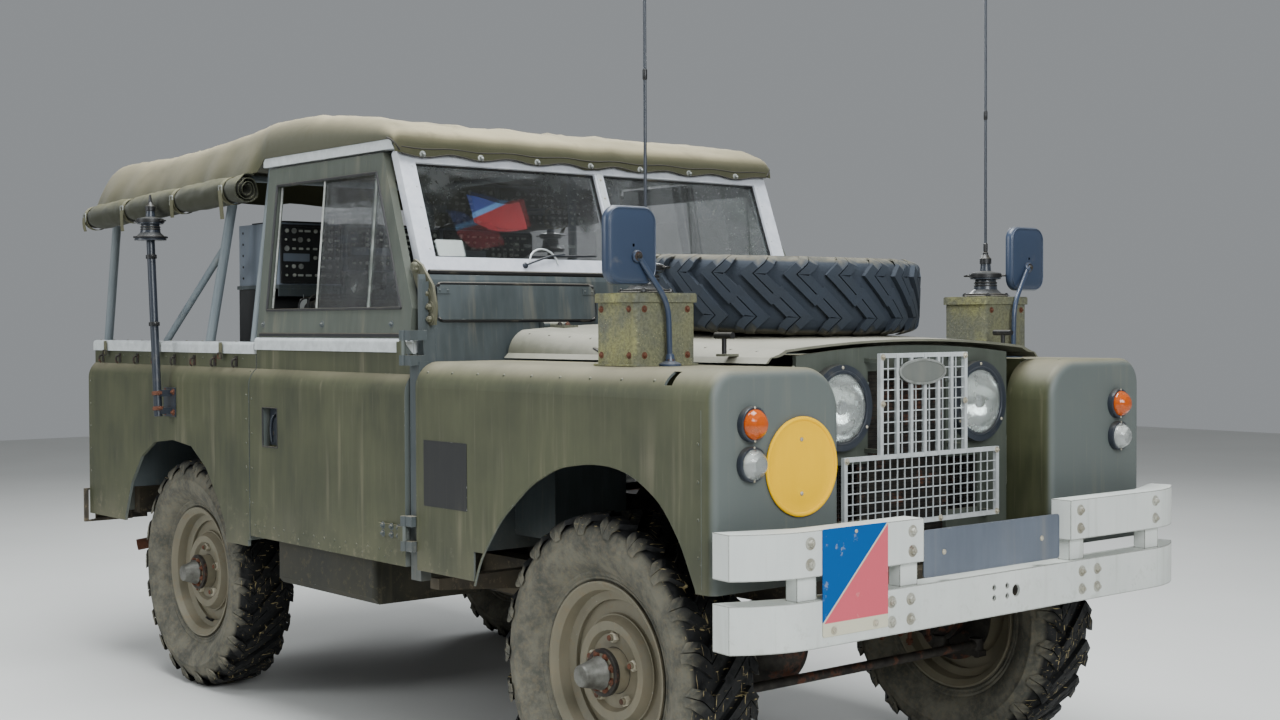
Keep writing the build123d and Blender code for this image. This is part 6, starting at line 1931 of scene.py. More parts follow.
    def tape(self, shape: Shape, path: Sequence[Vector], out: Vector, half: float,
             lift: float) -> None:
        """A flat doubled strip of cloth that follows a path on the hood.

        Args:
            shape: The shape it is added to.
            path: Points along its middle, on the cloth.
            out: Which way is out of the cloth.
            half: Half its width.
            lift: How far it stands proud.
        """
        rows = []
        for i, spot in enumerate(path):
            along = (path[min(i + 1, len(path) - 1)] - path[max(i - 1, 0)]).normalized()
            across = along.cross(out).normalized()
            rows.append([spot + across * half * s + out * h for s, h in
                         ((-1, -1.5), (-0.93, lift * 0.8), (-0.5, lift), (0, lift * 0.7),
                          (0.5, lift), (0.93, lift * 0.8), (1, -1.5))])
        shape.grid(rows)

    def front_hem(self) -> bpy.types.Object:
        """Two dark cords drawn along the front hem, and the turn studs that hold it.

        Returns:
            The piece.
        """
        shape = Shape()
        for height, reach in ((1746, 288.5), (1724, 291)):
            path = []
            for step in range(-36, 37):
                y = step * 20.0
                near = min(abs(y - s) for s in self.studs)
                z = height + 3 - 6 * math.cos(math.pi * min(1.0, near / self.hem_cycle))
                path.append((reach, y, z if height < 1740 else height + 0.4 * (z - height)))
            shape.tube(path, 2.1, 6, mark=1)
        for y in self.studs:
            place = facing((289, y, 1729), (1, 0, -0.05))
            shape.lathe([(11, -1), (11, 1.5), (9, 2.5), (0, 2.5)], place, 18)
            shape.box((-3, -7, 2), (3, 7, 9), place @ at(rz=24))
            shape.lathe([(4, 2), (4, 12), (2.6, 14), (0, 14)], place, 12)
        for side in Side:
            path = rounded([(255, side * 747, 1774), (283, side * 748, 1766),
                            (292, side * 726, 1738)], 14)
            shape.tube(path, 3.0, 6, mark=1)
        return shape.make("hood_hem", [Finishes.alloy, Finishes.rope], "car", bevel=0.4)

    def hoop_caps(self) -> bpy.types.Object:
        """Small cone caps over the ends of the middle hoop's top.

        Returns:
            The piece.
        """
        shape = Shape()
        for side in Side:
            z = self.at_x(-1250)[1]
            shape.lathe([(26, 0), (24, 4), (14, 12), (6, 26), (0, 29)],
                        at(-1250, side * 600, z - 6), 20)
        return shape.make("hood_cone_caps", [Finishes.canvas], "car", crease=50)

    def straps(self, side: Side) -> bpy.types.Object:
        """Webbing straps round a rolled curtain, each with a buckle and a hanging tail.

        Args:
            side: The side of the car.

        Returns:
            The piece.
        """
        shape = Shape()
        for number, x in enumerate(self.strap_places):
            middle = Vector((x, side * self.roll_y, self.roll_axis(x)))
            reach = self.roll_radius * self.squeeze(x) + 4.5
            loop = []
            for step in range(29):
                a = math.tau * step / 28
                spot = middle + Vector((0, side * reach * math.cos(a),
                                        reach * math.sin(a) * 0.97))
                loop.append((spot, Vector((0, side * math.cos(a), math.sin(a)))))
            rows = [[spot + Vector((dx, 0, 0)) + out * h for dx, h in
                     ((-13, 0), (-13, 1.8), (13, 1.8), (13, 0))] for spot, out in loop]
            shape.grid(rows, wrap=True)
            self.tail(shape, middle, reach, side, number)
        return shape.make(f"curtain_straps_{side.word}", [Finishes.webbing, Finishes.alloy], "car",
                          crease=50)

    def tail(self, shape: Shape, middle: Vector, reach: float, side: Side, number: int) -> None:
        """A buckle on the outer side of a roll, and the strap's loose end below it.

        Args:
            shape: The shape it is added to.
            middle: Middle of the roll there.
            reach: How far out the strap lies.
            side: The side of the car.
            number: Which strap it is on.
        """
        out = Vector((0, side, 0))
        foot = middle + out * (reach + 2)
        ring = soft_rectangle(34, 24, 4, 3)
        place = facing(foot, tuple(out)) @ at(rz=90 if side > 0 else -90)
        shape.frame(ring, shrunk(ring, (0.74, 0.66)), 2.6, place, mark=1)
        long = (92, 58, 74, 50)[number]
        rows = []
        for step in range(9):
            t = step / 8
            spot = foot + Vector((5 * math.sin(2.6 * t + number), side * (2 - 7 * t * t),
                                  -long * t))
            rows.append([spot + Vector((dx, side * h, 0)) for dx, h in
                         ((-12, 0), (-12, 1.7), (12, 1.7), (12, 0))])
        shape.grid(rows, wrap=True)


# Front


@dataclass
class FrontPlates(Shape):
    """Blank number plate, two-colour plate and round yellow plate, each with its fixings."""

    number_low: Flat = (-278.0, 647.0)
    number_high: Flat = (242.0, 759.0)
    sign_low: Flat = (-622.0, 552.0)
    sign_high: Flat = (-410.0, 790.0)
    disc: Point = (1694.3, -537.0, 914.0)
    disc_radius: float = 112.0

    def build(self) -> None:
        """Makes the three plates over their CAD solids."""
        f = Finishes
        self.plate(self.number_low, self.number_high, 1831.0, 4.2, 9, 0)
        self.plate(self.sign_low, self.sign_high, 1840.3, 3.4, 5, 1)
        self.rolled_disc()
        self.make("blank_plates", [f.plate, f.sign, f.yellow, f.nut, f.bumper], "car", bevel=0.5,
                  replaces=["plates"])

    def plate(self, low: Flat, high: Flat, x: float, thick: float, corner: float,
              mark: int) -> None:
        """A flat plate across the front, with a raised edge and two bolts near its foot or ends.

        Args:
            low: Its lowest width and height.
            high: Its highest width and height.
            x: Where its back is.
            thick: Its thickness.
            corner: Radius of its corners.
            mark: Number of its finish.
        """
        wide, tall = high[0] - low[0], high[1] - low[1]
        place = at(x, (low[0] + high[0]) / 2, (low[1] + high[1]) / 2) @ FORWARD
        outline = soft_rectangle(wide, tall, corner)
        self.slab(outline, thick * 0.8, place, mark)
        inner = soft_rectangle(wide - 5, tall - 5, corner - 2)
        if mark == 0:
            self.frame(outline, inner, thick, place, 0)
            for y in (-wide * 0.36, wide * 0.36):
                self.rivet(7, place @ at(y, 0, thick * 0.8), 3)
            for y in (-wide / 2 + 78, wide / 2 - 82):
                self.box((y - 16, -tall / 2 + 6, -14), (y + 16, tall / 2 - 6, -0.3), place, 4)
        else:
            for y in (-wide * 0.34, wide * 0.30):
                self.bolt(10, place @ at(y, -tall / 2 + 13, thick * 0.8), 3)
            self.rivet(5, place @ at(0, tall / 2 - 12, thick * 0.8), 3)

    def rolled_disc(self) -> None:
        """Pressed round plate with a rolled rim, a slight dish and two rivets."""
        place = facing((self.disc[0] - 2.7, *self.disc[1:]), (1, 0, 0))
        r = self.disc_radius
        profile = [(0, -0.3), (r - 2, -0.3), (r + 2, 1.5), (r + 3, 4.5), (r + 1.6, 7.4),
                   (r - 2, 8.6), (r - 5.4, 7.2), (r - 7, 4.4), (r - 9, 3.2), (r - 30, 2.8),
                   (0, 2.7)]
        self.lathe(profile, place, 72, mark=2)
        for z in (-62, 62):
            self.rivet(5.5, place @ at(0, z, 2.8), 3)


@dataclass
class Lamps(Shape):
    """What shows in and on the lamps: reflectors, bulbs, rims and rim screws."""

    y: float = 265.0
    z: float = 1033.0
    glass_x: float = 1557.3

    def build(self) -> None:
        """Makes the headlamps' insides and the screws of every lamp."""
        for side in Side:
            self.headlamp(facing((self.glass_x, side * self.y, self.z), (1, 0, 0)))
            for y, z in ((696, 1017), (698, 928)):
                self.small(facing((1705.3, side * y, z), (1, 0, 0)))
            for z in (700, 790, 880):
                self.small(facing((-1779.3, side * 720, z), (-1, 0, 0)), 35.5)
        f = Finishes
        self.make("lamp_fittings", [f.reflector, f.clear, f.nut, f.plastic, f.alloy], "car",
                  bevel=0.3)

    def headlamp(self, place: Matrix) -> None:
        """Reflector bowl, bulb with its shield, and rim with three screws.

        Args:
            place: Middle of the glass, with local Z forward.
        """
        bowl = [(8, -60), (30, -56), (52, -44), (68, -28), (79, -10), (82.5, -2), (83.2, -1),
                (83.4, -3), (80, -12), (69, -30), (52.5, -46), (30, -58), (8, -62)]
        self.lathe(bowl, place, 56, 0, closed=True)
        self.lathe([(0, -58), (7, -58), (7, -34), (10, -24), (10, -16), (6, -9), (0, -7)], place,
                   20, 1)
        self.lathe([(0, 2), (16, 0), (17, -3), (14, -5), (0, -4)], place, 24, 0)
        self.lathe([(84.4, 10.2), (87, 13.4), (91, 13), (94, 10.4), (88, 9.6)], place, 72, 3,
                   closed=True)
        for number in range(3):
            a = math.tau * number / 3 + math.pi / 2
            self.rivet(4.5, place @ at(99 * math.cos(a), 99 * math.sin(a), 11.2), 2)

    def small(self, place: Matrix, radius: float = 37.0) -> None:
        """Rubber lip round a small lamp's lens, with two screws through it.

        Args:
            place: Middle of the lens, with local Z out of it.
            radius: The lens's radius.
        """
        self.lathe([(radius + 3.2, -13), (radius + 3.4, -2), (radius + 1.5, 1.6),
                    (radius - 2.4, 2.2), (radius - 2.6, 0)], place, 40, 3)
        for a in (math.pi / 2, -math.pi / 2):
            self.rivet(3, place @ at((radius + 0.4) * math.cos(a), (radius + 0.4) * math.sin(a),
                                     1.6), 2)


@dataclass
class Grille(Shape):
    """Blank oval badge plate and screws on the grille."""

    x: float = 1603.2

    def build(self) -> None:
        """Makes the badge place and the frame's fixings."""
        badge = at(self.x - 2, -14, 1118) @ FORWARD
        outline = oval(178, 66, 44)
        self.slab(outline, 6.5, badge, 1)
        self.frame(outline, shrunk(outline, (0.93, 0.82)), 9.0, badge, 0)
        # width and height of each fixing
        for y, z in ((-158, 1156), (158, 1156), (-288, 905), (288, 905), (-288, 743), (288, 743),
                     (-60, 743), (60, 743), (-158, 1040), (158, 1040)):
            self.bolt(9, at(self.x - 0.4, y, z) @ FORWARD, 2)
        f = Finishes
        self.make("grille_fittings", [f.alloy, f.badge, f.nut], "car", bevel=0.4)


@dataclass
class Bumpers(Shape):
    """Bolts on the front bumpers, and the rear corners' bolts."""

    def build(self) -> None:
        """Makes the bolts on both bumpers."""
        front, rear = Skin("front_bumpers"), Skin("rear_bumperettes")
        # width, height
        for y, z in ((323, 716), (323, 762), (658, 716), (658, 762), (395, 560), (395, 606),
                     (330, 560), (330, 606)):
            for side in Side:
                for seat in front.seats([(1900, side * y, z)], (-1, 0, 0)):
                    self.bolt(15, seat @ at(rz=17 * side), 0)
        for side in Side:
            starts = [(-1900, side * y, z) for y in (700, 770) for z in (545, 595)]
            for seat in rear.seats(starts, (1, 0, 0)):
                self.bolt(13, seat, 1)
        f = Finishes
        self.make("bumper_bolts", [f.bumper_bolt, f.rusty], "car", bevel=0.3)


# Body


@dataclass
class Rivets:
    """Rows of rivets and bolts along the seams of the body."""

    radius: float = 4.2

    def build(self) -> None:
        """Makes one piece of rivets for each body that has any."""
        f = Finishes
        fixed, doors = Shape(), {side: Shape() for side in Side}
        wings, tub, front = Skin("wings"), Skin("tub"), Skin("radiator_panel")
        caps, bulk = Skin("cappings"), Skin("bulkhead")
        for side in Side:
            out, into = side * 1000, (0, -side, 0)
            self.row(fixed, wings, [(484, out, z) for z in range(700, 1090, 76)], into)
            self.row(fixed, wings, [(x, out, 1112) for x in range(540, 1500, 118)], into)
            self.row(fixed, wings, [(1646, out, z) for z in range(640, 1060, 84)], into)
            self.row(fixed, wings, [(x, side * 508, 1400) for x in range(560, 1660, 120)],
                     (0, 0, -1))
            self.row(fixed, tub, [(x, out, 1133) for x in range(-1720, -500, 72)], into)
            self.row(fixed, tub, [(-496, out, z) for z in range(640, 1100, 76)], into)
            self.row(fixed, tub, [(-1748, out, z) for z in range(700, 1120, 84)], into)
            self.row(fixed, caps, [(x, side * 776, 1400) for x in range(-1730, -500, 122)],
                     (0, 0, -1))
            self.row(fixed, front, [(1700, side * y, 1090) for y in (150, 330, 380)], (-1, 0, 0))
            skin = Skin(f"door_{side.word}")
            self.row(doors[side], skin, [(x, out, 612) for x in range(-440, 440, 62)], into)
            self.row(doors[side], skin, [(x, out, 592) for x in range(-410, 440, 124)], into)
            self.row(doors[side], skin, [(-458, out, z) for z in range(680, 1120, 110)], into)
        self.row(fixed, bulk, [(620, y, 1300) for y in (-745, -735, 735, 745)], (-1, 0, 0))
        fixed.make("body_rivets", [f.body], "car")
        for side, shape in doors.items():
            shape.make(f"door_rivets_{side.word}", [f.body], f"door_{side.word}")

    def row(self, shape: Shape, skin: Skin, starts: Sequence[Point], direction: Point) -> None:
        """Rivets where lines from the given points meet the sheet.

        Args:
            shape: The shape they are added to.
            skin: The nodes they sit on.
            starts: Where each line starts.
            direction: Which way the lines go.
        """
        for seat in skin.seats(starts, direction):
            shape.rivet(self.radius, seat)


@dataclass
class WingFittings(Shape):
    """Load panel, seams and edge beads of the wings."""

    panel_low: Flat = (539.0, 752.0)
    panel_high: Flat = (745.0, 930.0)
    nose_seam_x: float = 1655.0

    def build(self) -> None:
        """Makes the panel on the right wing, and the seams and beads on both."""
        f = Finishes
        skin = Skin("wings")
        (x0, z0), (x1, z1) = self.panel_low, self.panel_high
        x, z = (x0 + x1) / 2, (z0 + z1) / 2
        met = skin.touch((x, -1000, z), (0, 1, 0))
        self.slab(soft_rectangle(x1 - x0, z1 - z0, 3), 0.9, at(x, met[0].y, z, rx=90))
        for side in Side:
            out, into = side * 1000, (0, -side, 0)
            self.seam(skin, [(self.nose_seam_x, out, z) for z in range(655, 1060, 9)], into)
            self.seam(skin, [(505, out, z) for z in range(650, 1100, 9)], into, 5.0)
            self.bead(side)
        self.make("wing_fittings", [f.black, f.body, f.rubber], "car", crease=40)

    def seam(self, skin: Skin, starts: Sequence[Point], direction: Point,
             half: float = 3.0) -> None:
        """A lapped seam that follows the sheet.

        Args:
            skin: The node it lies on.
            starts: Where each line to the sheet starts.
            direction: Which way the lines go.
            half: Half its width.
        """
        rows = []
        for start in starts:
            met = skin.touch(start, direction)
            if met:
                spot, out = met
                across = Vector((0, 0, 1)).cross(out).normalized()
                rows.append([spot + across * half * s + out * h for s, h in
                             ((-1, -0.4), (-0.8, 0.8), (0.6, 0.8), (1, -0.4))])
        self.grid(rows, mark=1)

    def bead(self, side: Side) -> None:
        """A turned edge round the wheel arch, just inside the wing's side.

        Args:
            side: The side of the car.
        """
        # forward of the axle, height
        arch = ((-426, 560), (-397, 632), (-307, 743), (-177, 842), (-62, 893), (60, 910),
                (150, 908), (230, 887), (318, 836), (386, 752), (435, 653))
        axle = AXLES["front"]
        path = rounded([(axle + x, side * 808.5, z + 1.5) for x, z in arch], 40, 4)
        self.tube(path, 3.4, 8, mark=1)


@dataclass
class DoorFittings(Shape):
    """Lever, lock, hinge bolts, top strip and window channels of one door."""

    side: Side
    top_foot: float = 1203.0
    top_y: float = 785.0
    top_lean: float = 5.0

    def build(self) -> None:
        """Makes the fittings, which all ride on the door."""
        f = Finishes
        self.lever()
        self.hinges()
        self.top_strip()
        self.seals()
        self.make(f"door_fittings_{self.side.word}",
                  [f.plastic, f.nut, f.body, f.alloy, f.rubber, f.front],
                  f"door_{self.side.word}", bevel=0.4)

    def out(self, x: float, y: float, z: float) -> Point:
        """A point at a distance out from the middle of the car, on this side."""
        return (x, self.side * y, z)

    def lever(self) -> None:
        """Black pan with the pull lever and its pivot."""
        s = self.side
        self.box(self.out(-381, 785, 868), self.out(-294, 788.5, 981))
        rim = [(-385, 863), (-290, 863), (-290, 985), (-385, 985)]
        path = [self.out(x, 811.6, z) for x, z in rim + rim[:1]]
        self.tube(path, 2.6, 6, mark=4)
        bar = rounded([(-330, s * 790, 962), (-330, s * 806, 955), (-334, s * 809, 920),
                       (-337, s * 804, 880)], 10)
        self.tube(bar, [8, 9, 9.5] + [10] * (len(bar) - 4) + [7], 8, mark=0, flat=0.45)
        self.lathe([(12, 0), (12, 5), (9, 7), (0, 7)], facing((-330, s * 788, 964), (0, s, 0)), 20)
        self.lathe([(8, 0), (8, 4), (6.5, 5), (0, 5)], facing((-362, s * 788, 905), (0, s, 0)), 18,
                   mark=1)

    def hinges(self) -> None:
        """Bolts through the hinge straps, and the pins' ends."""
        skin = Skin(f"door_{self.side.word}")
        for z, places in ((670, (418, 380, 335)), (1178, (432,))):
            for x in places:
                starts = [self.out(x, 1000, z + dz) for dz in (-11, 11)]
                for seat in skin.seats(starts, (0, -self.side, 0)):
                    self.bolt(11, seat @ at(rz=x), 5)
            for dz in (-34, 34):
                place = at(458, self.side * 827, z + dz, rx=0 if dz > 0 else 180)
                self.lathe([(9, -6), (9, 0), (6, 3), (0, 3)], place, 14, mark=5)

    def top_strip(self) -> None:
        """Rubber drip strip and bolts where the door top stands on the door."""
        skin = Skin(f"door_top_{self.side.word}")
        rows = []
        for x in range(-452, 392, 24):
            met = skin.touch(self.out(x, 1000, 1212), (0, -self.side, 0))
            if met:
                rows.append([met[0] + Vector((0, 0, dz)) + met[1] * h for dz, h in
                             ((-6, -0.5), (-5, 2.4), (3, 2.4), (6, -0.5))])
        self.grid(rows, mark=4)
        starts = [self.out(x, 1000, 1243) for x in (-430, -60, 330)]
        for seat in skin.seats(starts, (0, -self.side, 0)):
            self.bolt(11, seat, 5)

    def lean(self, x: float, upright: float, proud: float) -> Point:
        """A point on the door top's outer face, given the height it had before it leaned.

        Args:
            x: Its place along the car.
            upright: Its height before the top leaned.
            proud: How far it is out of the face.

        Returns:
            The point.
        """
        tilt = math.radians(self.top_lean)
        rise = upright - self.top_foot
        y = self.top_y - rise * math.sin(tilt) + proud * math.cos(tilt)
        z = self.top_foot + rise * math.cos(tilt) + proud * math.sin(tilt)
        return (x, self.side * y, z)

    def seals(self) -> None:
        """Dark channel round the window, and the bright edge strips of the sliding panes."""
        window = ((-414, 1288), (-402, 1681), (194, 1681), (376, 1288))
        for a, b in zip(window, window[1:] + window[:1]):
            path = [self.lean(a[0] + (b[0] - a[0]) * t / 6, a[1] + (b[1] - a[1]) * t / 6, 0.4)
                    for t in range(7)]
            self.tube(path, 4.2, 6, mark=4)
        for x in (-118, 184):
            low, high = self.lean(x, 1290, -9), self.lean(x, 1679, -9)
            self.tube([low, high], 3.4, 6, mark=3, flat=0.7)
        self.tube([self.lean(-404, 1296, -14), self.lean(-394, 1676, -14)], 3.4, 6, mark=3)


@dataclass
class Windscreen:
    """Glazing seals, wipers, hinge brackets, card and pennant of the windscreen."""

    foot: Point = (403.0, 0.0, 1390.0)
    rake: float = -20.5
    low: float = 46.0
    high: float = 337.0
    inner: float = 17.0
    outer: float = 671.0
    wiper_right: float = -365.0
    wiper_left: float = 190.0

    @property
    def place(self) -> Matrix:
        """The leaned frame: X out of the glass, Y across, Z up along it."""
        return at(*self.foot, ry=self.rake)

    def on(self, x: float, y: float, z: float) -> Vector:
        """A point of the leaned frame."""
        return self.place @ Vector((x, y, z))

    def build(self) -> None:
        """Makes the fittings of the windscreen."""
        f = Finishes
        shape = Shape()
        for side in Side:
            self.seal(shape, side)
            self.bracket(shape, side)
            self.wiper(shape, side)
        self.centre_strip(shape)
        shape.make("windscreen_fittings", [f.rubber, f.galvanised, f.plastic, f.nut, f.front,
                                           f.hinge], "car", bevel=0.4)
        card = Shape()
        card.slab(soft_rectangle(92, 50, 4), 0.8, self.place @ at(-20.5, -600, 82) @ FORWARD)
        self.pennant(card)
        card.make("screen_card_and_pennant", [f.card, f.flag], "car", crease=60)

    def seal(self, shape: Shape, side: Side) -> None:
        """Black rubber round one pane, front and back.

        Args:
            shape: The shape it is added to.
            side: The side of the car.
        """
        corners = [(self.inner, self.low), (self.outer, self.low), (self.outer, self.high),
                   (self.inner, self.high)]
        for x in (-11.5, -19.5):
            path = [self.on(x, side * y, z) for y, z in corners + corners[:1]]
            for a, b in zip(path, path[1:]):
                shape.tube([a, b], 3.6, 6)
        for y in (self.inner - 9, self.outer + 12):
            for z in range(70, 330, 64):
                shape.rivet(3.4, self.place @ at(-0.2, side * y, z, ry=90), 1)
        for y in range(60, 660, 120):
            shape.rivet(3.4, self.place @ at(-0.2, side * y, self.high + 21, ry=90), 1)

    def bracket(self, shape: Shape, side: Side) -> None:
        """Side hinge plate between bulkhead and windscreen frame, with its bolts.

        Args:
            shape: The shape it is added to.
            side: The side of the car.
        """
        outline = [(462, 1238), (504, 1240), (512, 1290), (494, 1350), (440, 1408), (404, 1424),
                   (384, 1404), (410, 1352), (448, 1300)]
        place = Matrix(((1, 0, 0, 0), (0, 0, -side, side * 752), (0, 1, 0, 0), (0, 0, 0, 1)))
        shape.slab(outline, 7.5, place, 5)
        for x, z in ((486, 1256), (484, 1290), (470, 1326), (446, 1360), (418, 1394)):
            shape.bolt(17, facing((x, side * 752, z), (0, side, 0)), 5)
        pin = facing((412, side * 750, 1402), (0, side, 0))
        shape.lathe([(13, 0), (13, 12), (9, 15), (0, 15)], pin, 20, mark=5)

    def wiper(self, shape: Shape, side: Side) -> None:
        """Wiper arm and blade parked along the foot of a pane.

        Args:
            shape: The shape it is added to.
            side: The side of the car.
        """
        start = self.wiper_right if side is Side.RIGHT else self.wiper_left
        shape.lathe([(9, -12), (9, 3), (6, 6), (0, 6)], self.place @ at(2, start, 24, ry=90), 18,
                    mark=2)
        arm = [self.on(8, start, 24), self.on(11, start + 90, 52), self.on(9, start + 150, 60)]
        shape.tube(rounded(arm, 20), 3.0, 8, mark=2)
        blade = [self.on(-6 + 1.2 * math.sin(t / 10 * math.pi), start + 20 + 26 * t, 55 + 0.8 * t)
                 for t in range(11)]
        shape.tube(blade, 3.6, 6)
        shape.tube([p + Vector((4, 0, 1)) for p in blade], 2.2, 6, mark=2)
        if side is Side.RIGHT:
            loop = [self.on(3 + 3 * math.sin(a / 3), start + 70 - 52 * math.cos(a / 10 * math.pi),
                            30 + 46 * math.sin(a / 10 * math.pi)) for a in range(11)]
            shape.tube(loop, 3.0, 8, mark=1)

    def centre_strip(self, shape: Shape) -> None:
        """Clamping strip down the middle post, with screws.

        Args:
            shape: The shape it is added to.
        """
        shape.box((-0.2, -10, 44), (3.2, 10, 340), self.place, 1)
        for z in range(70, 340, 62):
            shape.rivet(4, self.place @ at(3.1, 0, z, ry=90), 3)

    def pennant(self, shape: Shape) -> None:
        """A plain two-colour pennant hung behind the right pane.

        Args:
            shape: The shape it is added to.
        """
        rows = []
        for i in range(13):
            t = i / 12
            rows.append([self.on(-64 + 7 * math.sin(6 * t + 2 * s), -470 + 190 * t,
                                 275 - 92 * s - 22 * math.sin(2.4 * t))
                         for s in (0, 0.25, 0.5, 0.75, 1)])
        shape.grid(rows, mark=1)


@dataclass
class Scuttle(Shape):
    """Seals, hinges and screws round the vent flaps, and the dark strip under the screen."""

    def build(self) -> None:
        """Makes the rubber round each flap and the strip over them."""
        f = Finishes
        skin = Skin("vent_flaps", "bulkhead")
        for side in Side:
            outline = soft_rectangle(554 + 10, 97 + 8, 26)
            middle = (side * 445, 1303.5)
            rows = []
            for y, z in outline + outline[:1]:
                met = skin.touch((700, middle[0] + y, middle[1] + z), (-1, 0, 0))
                if met:
                    rows.append(met[0] + met[1] * 0.5)
            self.tube(rows, 4.4, 8)
            starts = [(700, side * y, 1336) for y in (190, 700)]
            for seat in skin.seats(starts, (-1, 0, 0)):
                self.box((-22, -9, 0), (22, 9, 2.2), seat, 1)
                for x in (13, -13):
                    self.rivet(3.4, seat @ at(x, 0, 2.2), 1)
        path = [(430, y, 1388) for y in range(-722, 723, 38)]
        self.tube(path, 8.0, 8, mark=0, flat=0.8)
        self.make("scuttle_seals", [f.rubber, f.front], "car", bevel=0.3)


@dataclass
class Mirror(Shape):
    """A wing mirror: domed head, glass, clamp and bent arm on a flanged foot."""

    side: Side
    head: Point = (1342.0, 752.0, 1426.0)
    width: float = 150.0
    height: float = 184.0
    corner: float = 36.0
    arm: tuple[Point, ...] = ((1374.0, 655.0, 1141.0), (1374.0, 660.0, 1290.0),
                              (1362.0, 735.0, 1392.0))

    def build(self) -> bpy.types.Object:
        """Makes the mirror.

        Returns:
            The mirror.
        """
        s = self.side
        middle = at(self.head[0], s * self.head[1], self.head[2]) @ FORWARD
        outline = soft_rectangle(self.width, self.height, self.corner, 7)
        # how far forward, and the share of the outline
        layers = ((-8, 0.96), (-11, 0.975), (-12, 1.0), (-8, 1.015), (2, 1.01), (7, 0.985),
                  (10.5, 0.93), (12.5, 0.82), (14, 0.6), (14.8, 0.3), (15, 0.04))
        rows = [[middle @ Vector((x * share, y * share, deep)) for x, y in outline]
                for deep, share in layers]
        self.grid(rows, wrap=True)
        self.slab(shrunk(outline, (0.955, 0.955)), 1.2, middle @ at(0, 0, -9.6), 1)
        ring = [middle @ Vector((x * 0.94, y * 0.95, 10.0)) for x, y in outline]
        self.tube(ring + ring[:1], 2.2, 6)
        path = rounded([(x, s * y, z) for x, y, z in self.arm], 40, 8)
        self.tube(path, 6.8, 12)
        tip = Vector(path[-1])
        self.lathe([(15, -4), (15, 8), (12, 11), (0, 12)], middle @ at(-s * 8, -26, 13), 20)
        self.tube([tip, middle @ Vector((-s * 8, -26, 22))], [8, 10], 10)
        self.bolt(12, middle @ at(-s * 8, -26, 24), 2)
        foot = at(self.arm[0][0], s * self.arm[0][1], 1140.2)
        self.lathe([(27, 0), (27, 5), (22, 8), (12, 12), (10, 26), (7, 30)], foot, 28)
        self.hexagon(22, 10, foot @ at(0, 0, 8), 2)
        for x in (-19, 19):
            self.rivet(3.6, foot @ at(x, 0, 6), 2)
        f = Finishes
        return self.make(f"mirror_{s.word}", [f.mirror_case, f.mirror, f.steel], "car", bevel=0.5,
                         replaces=["mirrors"])


